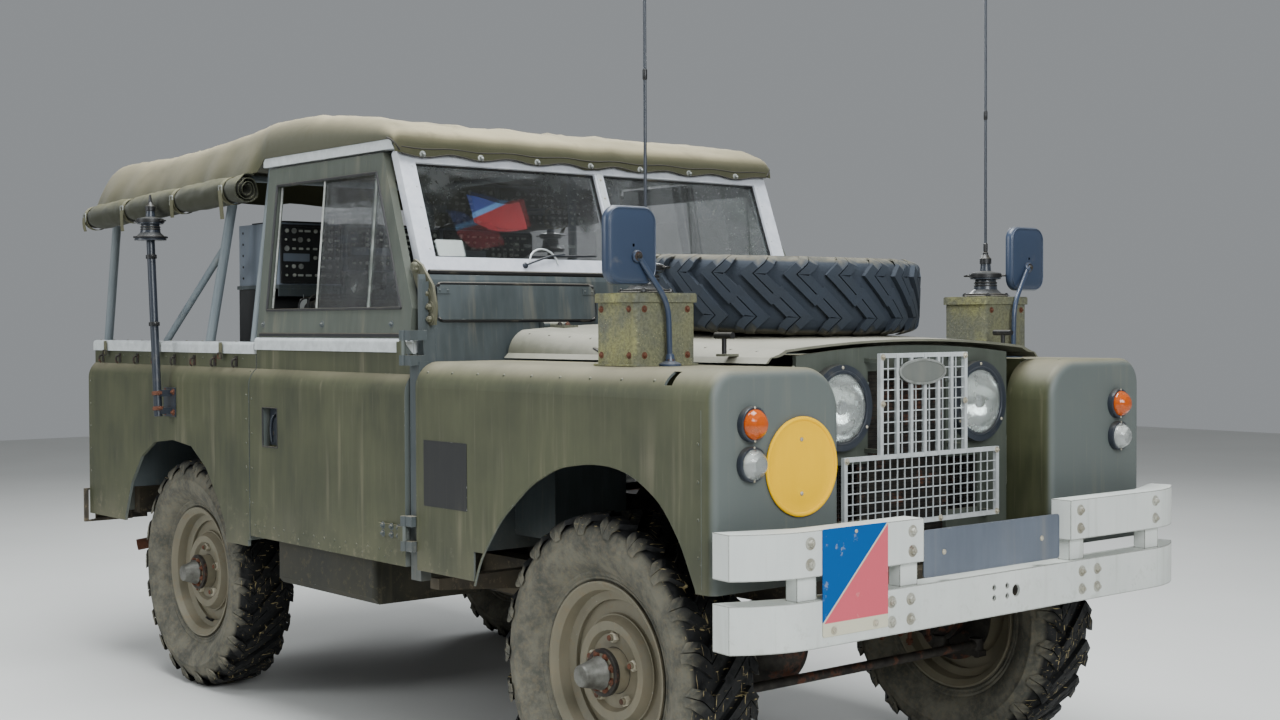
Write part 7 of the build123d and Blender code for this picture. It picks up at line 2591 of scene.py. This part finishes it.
@dataclass
class AerialFittings(Shape):
    """Lids, bolts and clamps of the aerial boxes, bells, whips and rear poles."""

    box_x: tuple[float, float] = (1204.0, 1354.0)
    box_y: tuple[float, float] = (553.0, 746.0)
    box_z: tuple[float, float] = (1140.3, 1310.3)

    def build(self) -> None:
        """Makes the fittings on both sides of the car."""
        for side in Side:
            self.case(side)
            self.bell(at(1279, side * 649.5, 1310.6), 3.0)
            self.whip((1279, side * 649.5))
            self.pole(side)
        f = Finishes
        self.make("aerial_fittings", [f.box, f.rubber, f.rusty, f.tar, f.alloy], "car",
                  bevel=0.5)

    def case(self, side: Side) -> None:
        """A lid with a lapped edge, a seam, feet and rusty bolts on the front and side.

        Args:
            side: The side of the car.
        """
        (x0, x1), (y0, y1), (z0, z1) = self.box_x, self.box_y, self.box_z
        cx, cy = (x0 + x1) / 2, side * (y0 + y1) / 2
        outer = soft_rectangle(x1 - x0 + 9, y1 - y0 + 9, 12, 5)
        inner = soft_rectangle(x1 - x0 - 0.5, y1 - y0 - 0.5, 8, 5)
        self.frame(outer, inner, 20, at(cx, cy, z1 - 18), 0)
        self.slab(soft_rectangle(x1 - x0 + 5, y1 - y0 + 5, 11, 5), 3.0, at(cx, cy, z1 + 1.5), 0)
        self.frame(soft_rectangle(x1 - x0 + 14, y1 - y0 + 14, 12, 5), inner, 5,
                   at(cx, cy, z0 + 0.1), 0)
        self.lathe([(64, 0), (64, 3), (60, 5), (54, 5)], at(cx, cy, z1 + 4.4), 40, 1)
        for a in range(4):
            turn = math.radians(45 + 90 * a)
            self.bolt(11, at(cx + 60 * math.cos(turn), cy + 60 * math.sin(turn), z1 + 7), 3)
        for dy in (-68, 68):
            for z in (z0 + 26, z1 - 34):
                self.bolt(9, facing((x1 - 0.3, cy + dy, z), (1, 0, 0)), 2)
        for dx in (-52, 52):
            for z in (z0 + 26, z1 - 34):
                self.bolt(9, facing((cx + dx, side * (y1 - 0.3), z), (0, side, 0)), 2)

    def bell(self, foot: Matrix, grow: float) -> None:
        """Ribs, a clamp band and wing nuts on a rubber bell.

        Args:
            foot: Its foot, with local Z up.
            grow: How far its lowest rib stands out more.
        """
        self.lathe([(51, 6), (56 + grow, 8), (56 + grow, 13), (50, 14)], foot, 40, 1)
        for low in (34, 42):
            self.lathe([(31, low), (33.5, low + 1.5), (33.5, low + 4.5), (31, low + 6)], foot, 32,
                       1)
        self.lathe([(44.5, 60), (46.8, 61), (46.8, 71), (44.5, 72)], foot, 40, 3)
        self.lathe([(14, 100), (17, 101), (17, 116), (12, 120), (6, 132), (4.5, 134)], foot, 24, 3)
        for a in (20, 200):
            turn = math.radians(a)
            place = foot @ at(48 * math.cos(turn), 48 * math.sin(turn), 66, rz=a) @ at(ry=90)
            self.lathe([(3, -4), (3, 12), (0, 12)], place, 8, 3)
            for way in (-1, 1):
                self.tube([place @ Vector((0, way * 3, 6)), place @ Vector((0, way * 9, 10)),
                           place @ Vector((0, way * 12, 14))], [3, 4.4, 2.4], 8, 3, 0.4)

    def whip(self, spot: Flat) -> None:
        """Ferrules between a whip's sections and the small ball at its tip.

        Args:
            spot: Its place along and across the car.
        """
        for z, r in ((1420, 8), (1445, 6.4), (1830, 5.8), (2235, 5.4)):
            self.lathe([(4.2, 0), (r, 3), (r, 24), (4.2, 27)], at(*spot, z), 14, 3)
        self.lathe([(4.1, 0), (5.4, 2), (5.4, 6), (2.5, 8), (0, 8.2)], at(*spot, 2606), 14, 4)

    def pole(self, side: Side) -> None:
        """Clamps on a rear aerial pole, and the bell's ribs at its top.

        Args:
            side: The side of the car.
        """
        low, high = Vector((-1053, side * 856.3, 932)), Vector((-1101, side * 856.3, 1537))
        along = (high - low).normalized()
        for t, mark in ((0.045, 2), (0.13, 2), (0.52, 3), (0.9, 3)):
            place = facing(tuple(low + (high - low) * t), tuple(along))
            self.lathe([(14.2, -7), (18.5, -6), (18.5, 6), (14.2, 7)], place, 24, mark)
            self.box((-30, -4, -5), (-15, 4, 5), place @ at(rz=90 * side), mark)
            self.bolt(9, place @ at(rz=90 * side) @ at(-24, 4, 0, rx=-90), mark)
        for x, z in ((-1085, 945), (-1085, 1015), (-1021, 945), (-1021, 1015)):
            self.bolt(12, facing((x, side * 816.3, z), (0, side, 0)), 2)
        bell = facing(tuple(high + along * -4), (0, 0, 1))
        self.bell(bell, 1.5)
        tip = [high + Vector((0, 0, 100 + 26 * t)) for t in range(3)]
        self.tube(tip, [9, 7, 3], 10, 3)


@dataclass
class SpareMount(Shape):
    """Clamp that holds the spare wheel, and the bonnet's small fittings."""

    x: float = 1075.0
    z: float = 1323.0
    tilt: float = 2.4

    @property
    def place(self) -> Matrix:
        """The middle of the spare wheel, with local Z along its axis."""
        return at(self.x, 0, self.z, ry=self.tilt)

    def build(self) -> None:
        """Makes the clamp plate, its studs, the hinge straps' bolts and the bonnet's edges."""
        place = self.place
        self.lathe([(84, -14), (84, -8), (70, -6), (52, 2), (38, 18), (20, 22), (20, 30),
                    (0, 30)], place, 40, 0)
        self.lathe([(9, 28), (9, 46), (6, 48), (0, 48)], place, 14, 1)
        for way in (-1, 1):
            self.tube([place @ Vector((way * t, 0, 34 + t * 0.3)) for t in (6, 20, 44, 62)],
                      [9, 8, 7, 4], 10, 1, 0.5)
        for number in range(3):
            a = math.tau * number / 3 + 0.5
            spot = place @ at(66 * math.cos(a), 66 * math.sin(a), -6)
            self.hexagon(22, 16, spot, 1)
            self.lathe([(6, 14), (6, 26), (0, 27)], spot, 10, 1)
        skin = Skin("bonnet")
        for side in Side:
            for seat in skin.seats([(x, side * 330, 1500) for x in (516, 552)], (0, 0, -1)):
                self.bolt(12, seat, 1)
            starts = [(x, side * 470, 1500) for x in range(560, 1540, 92)]
            for seat in skin.seats(starts, (0, 0, -1)):
                self.rivet(4, seat, 2)
        f = Finishes
        self.make("spare_clamp_and_bonnet_bolts", [f.wheel, f.steel, f.bonnet], "bonnet",
                  bevel=0.5)


@dataclass
class BodyHooks:
    """Cleats under the cappings, webbing buckles, sill angle and rear chains."""

    def build(self) -> None:
        """Makes the cleats, buckles and sill angle, and the tailgate chains."""
        shape, skin = Shape(), Skin("tub")
        for side in Side:
            for x in range(-1690, -560, 154):
                y = skin.touch((x, side * 1000, 1124), (0, -side, 0))[0].y
                shape.box((x - 9, min(y - side, y + side * 2.4), 1108),
                          (x + 9, max(y - side, y + side * 2.4), 1142), None, 1)
                hook = rounded([(x, y + side, 1134), (x, y + side * 15, 1130),
                                (x, y + side * 16, 1112), (x, y + side * 9, 1106)], 7)
                shape.tube(hook, 3.6, 8, 1)
            for x in (-700, -1180, -1640):
                self.buckle(shape, x, side)
            angle = [(x, side * 806, z) for x, z in ((-478, 571), (-628, 571))]
            shape.tube(angle, 5, 6, 1, 0.6)
        f = Finishes
        shape.make("body_cleats", [f.body, f.steel, f.webbing], "car", bevel=0.5)
        self.chains()

    def buckle(self, shape: Shape, x: float, side: Side) -> None:
        """A short webbing tab with a buckle below the capping.

        Args:
            shape: The shape it is added to.
            x: Its place along the car.
            side: The side of the car.
        """
        y = side * 797
        rows = [[(x + dx, y + side * h, z) for dx, h in ((-11, 0), (-11, 2.4), (11, 2.4), (11, 0))]
                for z in (1186, 1160, 1136)]
        shape.grid(rows, 2, wrap=True)
        ring = soft_rectangle(30, 22, 4, 3)
        shape.frame(ring, shrunk(ring, (0.7, 0.6)), 3, facing((x, y + side * 3, 1142),
                                                              (0, side, 0)), 1)

    def chains(self) -> None:
        """Short chains that hold the tailgate, laid along its top when it is shut."""
        shape = Shape()
        for side in Side:
            for number in range(9):
                t = number / 8
                spot = (-1776 - 2 * math.sin(math.pi * t), side * (622 - 96 * t),
                        1086 - 34 * math.sin(math.pi * t))
                turn = at(*spot, rx=90 * (number % 2), rz=90)
                ring = [Vector((7.5 * math.cos(a), 4.6 * math.sin(a), 0)) for a in
                        [math.tau * i / 10 for i in range(11)]]
                shape.tube([turn @ p for p in ring], 1.7, 6)
        shape.make("tailgate_chains", [Finishes.steel], "tailgate")


@dataclass
class RadioFittings(Shape):
    """Panels, knobs, sockets, handles and slots of the radio sets behind the cab."""

    front_x: float = -588.0
    side_y: float = 390.0
    # width and height limits of each set in the rack
    units: tuple[tuple[float, ...], ...] = (
        (-380, -10, 1210, 1405), (10, 380, 1210, 1405), (-380, -130, 1005, 1195),
        (-110, 130, 1005, 1195), (150, 380, 1005, 1195),
    )
    high: float = 1420.0
    shelf_y: float = -644.0
    shelf_z: float = 1362.0
    upper_top: float = 1578.0
    upper_back: float = -884.0

    def build(self) -> None:
        """Makes the faces of the sets."""
        for limits in self.units:
            self.unit(*limits)
        for side in Side:
            self.flank(side)
        self.upper_sets()
        f = Finishes
        self.make("radio_fittings",
                  [f.radio, f.knob, f.black, f.alloy, f.card, f.front, f.case], "car", bevel=0.6)

    def unit(self, y0: float, y1: float, z0: float, z1: float) -> None:
        """One set's face, with its rim, knobs, sockets and handles.

        Args:
            y0: Its lowest width.
            y1: Its highest width.
            z0: Its lowest height.
            z1: Its highest height.
        """
        place = at(self.front_x, (y0 + y1) / 2, (z0 + z1) / 2) @ FORWARD
        wide, tall = y1 - y0, z1 - z0
        outer = soft_rectangle(wide, tall, 10)
        self.slab(outer, 5, place, 0)
        self.frame(outer, soft_rectangle(wide - 18, tall - 18, 6), 11, place, 0)
        dice = random.Random(int(y0 * 7 + z0))
        for column in range(int(wide // 48)):
            for row in range(3):
                x = -wide / 2 + 36 + column * 46
                y = -tall / 2 + 36 + row * (tall - 72) / 2
                kind = dice.random()
                spot = place @ at(x, y, 5)
                if kind < 0.5:
                    r = 8 + 5 * dice.random()
                    self.lathe([(r, 0), (r, 4), (r * 0.8, 6), (r * 0.74, 14), (0, 15)], spot, 16,
                               1 if dice.random() < 0.55 else 2)
                elif kind < 0.75:
                    self.lathe([(10, 0), (10, 6), (7, 6), (7, 2), (0, 2)], spot, 16, 3)
                elif kind < 0.9:
                    self.slab(soft_rectangle(30, 12, 2), 1.6, spot, 4)
        for x in (-wide / 2 + 10, wide / 2 - 10):
            path = rounded([(x, -tall * 0.3, 8), (x, -tall * 0.3, 34), (x, tall * 0.3, 34),
                            (x, tall * 0.3, 8)], 12)
            self.tube([place @ Vector(p) for p in path], 4, 8, 3)

    def panel(self, y0: float, y1: float, z0: float, z1: float, x0: float) -> None:
        """A black face with rows of small knobs and slots, and a grey label plate.

        Args:
            y0: Its lowest width.
            y1: Its highest width.
            z0: Its lowest height.
            z1: Its highest height.
            x0: Where its face is along the car.
        """
        place = at(x0, (y0 + y1) / 2, (z0 + z1) / 2) @ FORWARD
        wide, tall = y1 - y0, z1 - z0
        self.frame(soft_rectangle(wide, tall, 8), soft_rectangle(wide - 12, tall - 12, 5), 7,
                   place, 2)
        dice = random.Random(int(y0 * 3 + z0))
        for row in range(6):
            y = tall / 2 - 20 - row * (tall - 36) / 5.4
            if row == 3:
                self.slab(soft_rectangle(wide * 0.42, 26, 3), 2.2, place @ at(-wide * 0.24, y), 6)
            for column in range(int(wide // 27)):
                x = -wide / 2 + 20 + column * 27 + 5 * dice.random()
                kind = dice.random()
                if (row == 3 and x < 0) or x > wide / 2 - 14:
                    continue
                spot = place @ at(x, y, 0)
                if kind < 0.45:
                    r = 3.5 + 4 * dice.random()
                    self.lathe([(r, 0), (r, 5), (r * 0.7, 7), (0, 8)], spot, 12, 1)
                elif kind < 0.75:
                    self.slab(soft_rectangle(9 + 14 * dice.random(), 7, 2), 2.5, spot, 1)
                elif kind < 0.9:
                    self.lathe([(9, 0), (9, 4), (6, 4), (6, 1), (0, 1)], spot, 14, 3)

    def upper_sets(self) -> None:
        """A second tier of sets up to the hood, its outer one on a shelf beside the rack."""
        shelf_y, shelf_z = self.shelf_y, self.shelf_z
        top, back = self.upper_top, self.upper_back
        front, case_x, rack_y = self.front_x, self.front_x - 6, -self.side_y
        for y0, y1, z0 in ((shelf_y + 4, -402, shelf_z + 12), (-388, -14, self.high + 2),
                           (-4, 388, self.high + 2)):
            outline = soft_rectangle(case_x - back, y1 - y0, 14)
            spot = at((case_x + back) / 2, (y0 + y1) / 2, z0)
            self.slab(outline, top - z0, spot, 6)
            self.box((case_x, y0 + 5, z0 + 5), (case_x + 1.5, y1 - 5, top - 5), None, 2)
            self.panel(y0 + 4, y1 - 4, z0 + 4, top - 6, case_x + 1.5)
            for z in range(int(z0) + 26, int(top) - 20, 38):
                for x in (back + 40, case_x - 30):
                    self.rivet(4.5, facing((x, y0, z), (0, -1, 0)), 2)
            self.slab(soft_rectangle(case_x - back - 60, y1 - y0 - 60, 20), 8,
                      at((case_x + back) / 2, (y0 + y1) / 2, top), 2)
        # shelf with a turned-down edge, on a locker that stands on the wheel box
        self.box((back, shelf_y, shelf_z), (front, rack_y - 0.5, shelf_z + 12), None, 5)
        self.box((front - 4, shelf_y, shelf_z - 26), (front, rack_y - 0.5, shelf_z), None, 5)
        self.box((back + 4, shelf_y + 6, 882), (case_x - 56, -462, shelf_z - 0.5), None, 2)
        self.box((back + 4, -461.5, 1120), (case_x - 40, rack_y - 4, shelf_z - 0.5), None, 2)
        for z in (1180, 1290):
            self.tube(rounded([(case_x - 56, -600, z), (case_x - 36, -600, z),
                               (case_x - 36, -500, z), (case_x - 56, -500, z)], 10), 4, 8, 1)
        # blank tag on a cord under the shelf
        self.tube([(front + 3, -556, shelf_z - 20), (front + 4, -556, shelf_z - 34)], 0.8, 6, 4)
        tag = facing((front + 3, -556, shelf_z - 52), (1, 0, 0))
        self.slab(soft_rectangle(26, 36, 4), 1.2, tag, 4)

    def flank(self, side: Side) -> None:
        """Cooling slots and a pale plate on the side of the rack.

        Args:
            side: The side of the car.
        """
        y = side * (self.side_y + 0.2)
        for row in range(7):
            for column in range(5):
                x, z = -650 - column * 52, 1060 + row * 46
                self.box((x - 18, min(y, y + side * 2), z - 4),
                         (x + 18, max(y, y + side * 2), z + 4), None,
                         2 if (row + column) % 3 else 3)
        self.slab(soft_rectangle(40, 54, 5), 1.5, facing((-700, y + side * 3, 1010), (0, side, 0)),
                  4)


@dataclass
class CabFittings(Shape):
    """Instruments, pedals, switches, gaiters and grips in the cab."""

    panel_x: float = 291.0

    def build(self) -> None:
        """Makes the instruments and the controls' small parts."""
        turn = Matrix(((0, 0, -1, 0), (-1, 0, 0, 0), (0, 1, 0, 0), (0, 0, 0, 1)))
        place = Matrix.Translation((self.panel_x, 0, 1267)) @ turn
        for x in (-78, 22):
            self.dial(place @ at(x, 8, 0))
        for number, x in enumerate((-128, -128, -28, -28, 100, 120)):
            spot = place @ at(x, 26 - 44 * (number % 2), 0)
            self.lathe([(9, 0), (9, 3), (5, 4), (4, 14), (0, 16)], spot, 14, 3)
        for x, y in ((-142, 44), (142, 44), (-142, -44), (142, -44)):
            self.rivet(4, place @ at(x, y, 0), 3)
        for y in (-475, -395, -300):
            self.pedal(y)
        for x, y in ((234, 0), (164, -60), (254, -110)):
            self.lathe([(44, 0), (40, 5), (30, 9), (26, 17), (19, 20), (15, 28), (11.5, 30)],
                       at(x, y, 761.5), 28, 2)
        self.wheel_grips()
        f = Finishes
        self.make("cab_fittings", [f.radio, f.dial, f.rubber, f.alloy, f.steel], "car", bevel=0.4)

    def dial(self, place: Matrix) -> None:
        """An instrument with a bezel, a pale ring of marks and a needle.

        Args:
            place: Middle of its back, with local Z out of it.
        """
        self.lathe([(43, 0), (43, 5), (39, 8), (36.5, 5), (36.5, 2.5), (0, 2.5)], place, 44, 0)
        for number in range(19):
            a = math.radians(-45 + 15 * number)
            long = 7 if number % 3 == 0 else 4
            self.box((30 - long, -0.7, 2.6), (31, 0.7, 3.2), place @ at(rz=math.degrees(a)), 1)
        self.box((-4, -0.8, 3.4), (25, 0.8, 4.2), place @ at(rz=120), 1)
        self.lathe([(4, 2.6), (4, 5), (0, 5.5)], place, 14, 3)

    def pedal(self, y: float) -> None:
        """A pendant pedal with a ribbed pad.

        Args:
            y: Its place in width.
        """
        path = rounded([(440, y, 930), (420, y, 830), (404, y, 760)], 40)
        self.tube(path, 8, 10, 4)
        place = at(400, y, 742, ry=-38)
        self.box((-7, -30, -34), (0, 30, 34), place, 4)
        for z in range(-28, 30, 9):
            self.box((-11, -28, z), (-6.9, 28, z + 4.6), place, 2)

    def wheel_grips(self) -> None:
        """Indicator arm and its clamp on the steering column."""
        along = Vector((-0.800313, 0, 0.599582))
        hub = Vector((90, -395, 1225))
        clamp = facing(tuple(hub - along * 96), tuple(along))
        self.lathe([(27, -16), (30, -12), (30, 12), (27, 16)], clamp, 24, 2)
        arm = rounded([clamp @ Vector((0, 24, 0)), clamp @ Vector((8, 110, 30)),
                       clamp @ Vector((8, 168, 40))], 30)
        self.tube(arm, [4] * (len(arm) - 2) + [6, 6], 8, 3)


@dataclass
class Seat:
    """One pad of the seats: a crowned vinyl form with welted edges, filled by simulation."""

    name: str
    size: Point
    place: Matrix
    cap: float = 0.012
    voxel: float = 0.0098
    pressure: float = 4.0
    frames: int = 20

    def build(self) -> bpy.types.Object:
        """Returns:
            The pad.
        """
        pad = self.form()
        self.swell(pad)
        self.welt()
        return pad

    def form(self) -> bpy.types.Object:
        """The pad before it is filled: a rounded box with pulled-in sides.

        Returns:
            The pad, not yet filled.
        """
        sx, sy, sz = (s / 2 - 6 for s in self.size)
        shape = Shape()
        rows = []
        outline = soft_rectangle(sx * 2, sy * 2, 30, 6)
        for z, share in ((-1, 0.9), (-0.94, 0.97), (-0.6, 1.0), (0, 0.985), (0.6, 1.0),
                         (0.94, 0.97), (1, 0.9)):
            rows.append([self.place @ Vector((x * share, y * share, z * sz)) for x, y in outline])
        shape.grid(rows, wrap=True)
        for way, ring in ((-1, rows[0]), (1, rows[-1])):
            middle = self.place @ Vector((0, 0, way * sz * 1.06))
            inner = [middle + (p - middle) * 0.55 for p in ring]
            shape.grid([ring, inner], wrap=True)
            shape.add(inner + [middle], [(i, (i + 1) % len(ring), len(ring))
                                         for i in range(len(ring))])
        pad = shape.make(self.name, [Finishes.vinyl], "car", crease=80, replaces=["seats"])
        mend(pad.data, 0.0002)
        return pad

    def swell(self, pad: bpy.types.Object) -> None:
        """Fills the pad with a short cloth simulation whose result is kept on the mesh.

        Args:
            pad: The pad, which takes the filled mesh.
        """
        scene = bpy.context.scene
        trial = bpy.data.objects.new(self.name + "_trial", pad.data.copy())
        scene.collection.objects.link(trial)
        mesh = trial.modifiers.new("remesh", "REMESH")
        mesh.mode, mesh.voxel_size = "VOXEL", self.voxel
        start = self.baked(trial)
        trial.modifiers.clear()
        trial.data = start.copy()
        cloth = trial.modifiers.new("cloth", "CLOTH")
        cloth.settings.use_pressure = True
        cloth.settings.uniform_pressure_force = self.pressure
        cloth.settings.effector_weights.gravity = 0.0
        cloth.settings.quality = 4
        cloth.point_cache.frame_start, cloth.point_cache.frame_end = 1, self.frames
        for number in range(1, self.frames + 1):
            scene.frame_set(number)
        swollen = self.baked(trial)
        for was, now in zip(start.vertices, swollen.vertices):
            move = now.co - was.co
            if move.length > self.cap:
                now.co = was.co + move.normalized() * self.cap
        for polygon in swollen.polygons:
            polygon.use_smooth = True
        swollen.materials.clear()
        swollen.materials.append(Finishes.vinyl.material())
        pad.data = swollen
        bpy.data.objects.remove(trial)
        scene.frame_set(1)
        smooth = pad.modifiers.new("smooth", "SUBSURF")
        smooth.levels = smooth.render_levels = 1

    def baked(self, thing: bpy.types.Object) -> bpy.types.Mesh:
        """The mesh that a thing's modifiers give at this frame."""
        graph = bpy.context.evaluated_depsgraph_get()
        return bpy.data.meshes.new_from_object(thing.evaluated_get(graph))

    def welt(self) -> None:
        """Piping along both edges of the pad."""
        shape = Shape()
        sx, sy, sz = self.size
        outline = soft_rectangle(sx - 8, sy - 8, 32, 6)
        for level in (-1, 1):
            path = [self.place @ Vector((x, y, level * (sz / 2 - 13))) for x, y in outline]
            shape.tube(path + path[:1], 3.2, 6)
        shape.make(self.name + "_piping", [Finishes.rubber], "car")


@dataclass
class FeederLead:
    """The short feeder lead that loops over the right wing into the aerial box."""

    radius: float = 0.0035
    x: float = 1.2037
    # forward of the box, width, height
    route: tuple[Point, ...] = (
        (0.0, -0.600, 1.152), (-0.045, -0.598, 1.152), (-0.092, -0.618, 1.160),
        (-0.112, -0.655, 1.178), (-0.082, -0.690, 1.182), (-0.040, -0.686, 1.166),
        (-0.008, -0.668, 1.156),
    )

    def build(self) -> None:
        """Makes the lead as one smooth spline, and its glands."""
        curve = bpy.data.curves.new("feeder_cable", "CURVE")
        curve.dimensions, curve.resolution_u = "3D", 16
        curve.bevel_depth, curve.bevel_resolution, curve.use_fill_caps = self.radius, 4, True
        line = curve.splines.new("NURBS")
        line.points.add(len(self.route) - 1)
        for point, (x, y, z) in zip(line.points, self.route):
            point.co = (self.x + x, y, z, 1.0)
        line.order_u, line.use_endpoint_u = 3, True
        curve.materials.append(Finishes.rubber.material())
        lead = bpy.data.objects.new("feeder_cable", curve)
        bpy.context.scene.collection.objects.link(lead)
        LOG.info("feeder_cable: %d points on car", len(self.route))
        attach(lead, "car")
        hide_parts("feeder_lead")
        glands = self.glands()
        self.length(curve)

    def length(self, curve: bpy.types.Curve) -> float:
        """Length of the spline's line.

        Args:
            curve: The lead's curve.

        Returns:
            The length, in metres.
        """
        bare = curve.copy()
        bare.bevel_depth = 0.0
        thing = bpy.data.objects.new("measure", bare)
        mesh = bpy.data.meshes.new_from_object(thing)
        total = sum((mesh.vertices[a].co - mesh.vertices[b].co).length
                    for a, b in (edge.vertices for edge in mesh.edges))
        bpy.data.objects.remove(thing)
        return round(total, 4)

    def glands(self) -> bpy.types.Object:
        """A rubber gland where each end goes in.

        Returns:
            The piece.
        """
        shape = Shape()
        for y, z, turn in ((-600, 1152, (-1, 0, 0)), (-668, 1156, (-0.9, -0.45, 0.25))):
            shape.lathe([(9, -1), (9, 3), (7.5, 5), (5.2, 16), (3.7, 22), (3.7, 0)],
                        facing((self.x / MM, y, z), turn), 20)
        return shape.make("feeder_glands", [Finishes.rubber], "car", crease=50)


@dataclass
class RadiatorCore(Shape):
    """Dark radiator behind the grille, with its fins, tubes, frame and a dark plate behind them."""

    x: float = 1536.0
    half: float = 286.0
    low: float = 668.0
    high: float = 1150.0

    def build(self) -> bpy.types.Object:
        """Makes the core behind the panel's opening.

        Returns:
            The piece.
        """
        x, half, low, high = self.x, self.half, self.low, self.high
        for number in range(46):
            z = low + 8 + number * (high - low - 16) / 45
            wide = half if z < 930 else 172
            self.box((x - 26, -wide, z), (x, wide, z + 1.4))
        for number in range(34):
            y = -half + 9 + number * (2 * half - 18) / 33
            top = high if abs(y) < 170 else 925
            self.box((x - 22, y - 1.5, low), (x - 3, y + 1.5, top), None, 1)
        for side in Side:
            self.box((x - 34, min(side * half, side * (half - 14)), low - 8),
                     (x + 4, max(side * half, side * (half - 14)), 930), None, 1)
        self.box((x - 34, -half, low - 16), (x + 4, half, low - 1), None, 1)
        self.box((x - 40, -half, low - 10), (x - 34, half, 1060), None, 2)
        f = Finishes
        return self.make("radiator_core", [f.fins, f.steel, f.rubber], "car")


def main() -> None:
    """Builds every part of the scene in order."""
    Studio().build()
    FeederLead().build()
    f = Finishes
    dress(f.body, "wings", "door_right", "door_left", "tub", "tailgate")
    dress(f.front, "bulkhead", "vent_flaps", "cab_floor", "load_floor", "seat_box")
    dress(f.panel, "radiator_panel", "door_top_left", "door_top_right")
    dress(f.bonnet, "bonnet")
    dress(f.wheel, "rim_front_right", "rim_front_left", "rim_rear_right", "rim_rear_left",
          "spare_rim")
    dress(f.bumper, "front_bumpers")
    dress(f.chassis, "chassis_frame", "rear_bumperettes")
    dress(f.tank, "fuel_tanks")
    dress(f.steel, "front_axle", "rear_axle", "springs_and_dampers", "transmission",
          "engine_block", "knuckle_right", "knuckle_left", "track_rod")
    dress(f.rusty, "exhaust", "tow_pintle")
    dress(f.galvanised, "cappings", "grille")
    dress(f.frame, "windscreen_frame")
    dress(f.tar, "bonnet_catches")
    dress(f.hoop, "hood_frame")
    dress_part("hood_frame", f.galvanised,
               lambda p: p.z > 1738 and abs(p.y) > 700 and p.x > -490)
    for node in ("door_left", "door_right"):
        dress_part(node, f.galvanised, lambda p: p.z > 1166.5 and abs(p.y) < 800)
    dress(f.plastic, "lamp_bodies", "mirrors", "aerials", "cab_controls", "steering_wheel")
    dress(f.glass, "door_glass_left", "door_glass_right")
    dress(f.screen, "windscreen_glass")
    dress(f.clear, "clear_lenses")
    dress(f.amber, "amber_lenses")
    dress(f.red, "red_lenses")
    dress(f.box, "aerial_boxes")
    dress(f.radio, "radio_sets")
    # end of the car and length of its hub caps
    for end, cap in (("front", 64.0), ("rear", 51.0)):
        for side in Side:
            corner = f"{end}_{side.word}"
            place = at(AXLES[end], side * HALF_TRACK, WHEEL_HEIGHT, rx=-90 * side)
            Tyre(f"tread_{corner}", f"tyre_{corner}", f"wheel_{corner}", place, f.tyre).build()
            RoadWheel(corner, place, cap).build()
    mount = SpareMount()
    Tyre("tread_spare", "spare_tyre", "bonnet", mount.place, f.spare, half_width=101.5).build()
    Underside().build()
    Hood().build()
    FrontPlates().build()
    Lamps().build()
    Grille().build()
    Bumpers().build()
    Rivets().build()
    WingFittings().build()
    for side in Side:
        DoorFittings(side).build()
    Windscreen().build()
    Scuttle().build()
    RadiatorCore().build()
    mount.build()
    AerialFittings().build()
    BodyHooks().build()
    RadioFittings().build()
    CabFittings().build()
    for side in Side:
        Mirror(side).build()
    # width of each seat's middle, its width
    for word, y, wide in (("right", -430, 440), ("middle", 0, 300), ("left", 430, 440)):
        Seat(f"seat_cushion_{word}", (420, wide, 95), at(-143, y, 897.8)).build()
        back = at(-369, y, 940.7, ry=-8) @ Matrix.Translation((0, 0, 200)) @ at(ry=90)
        Seat(f"seat_back_{word}", (400, wide, 90), back).build()


if __name__ == "__main__":
    logging.basicConfig(level=logging.INFO, format="%(name)s: %(message)s")
    main()
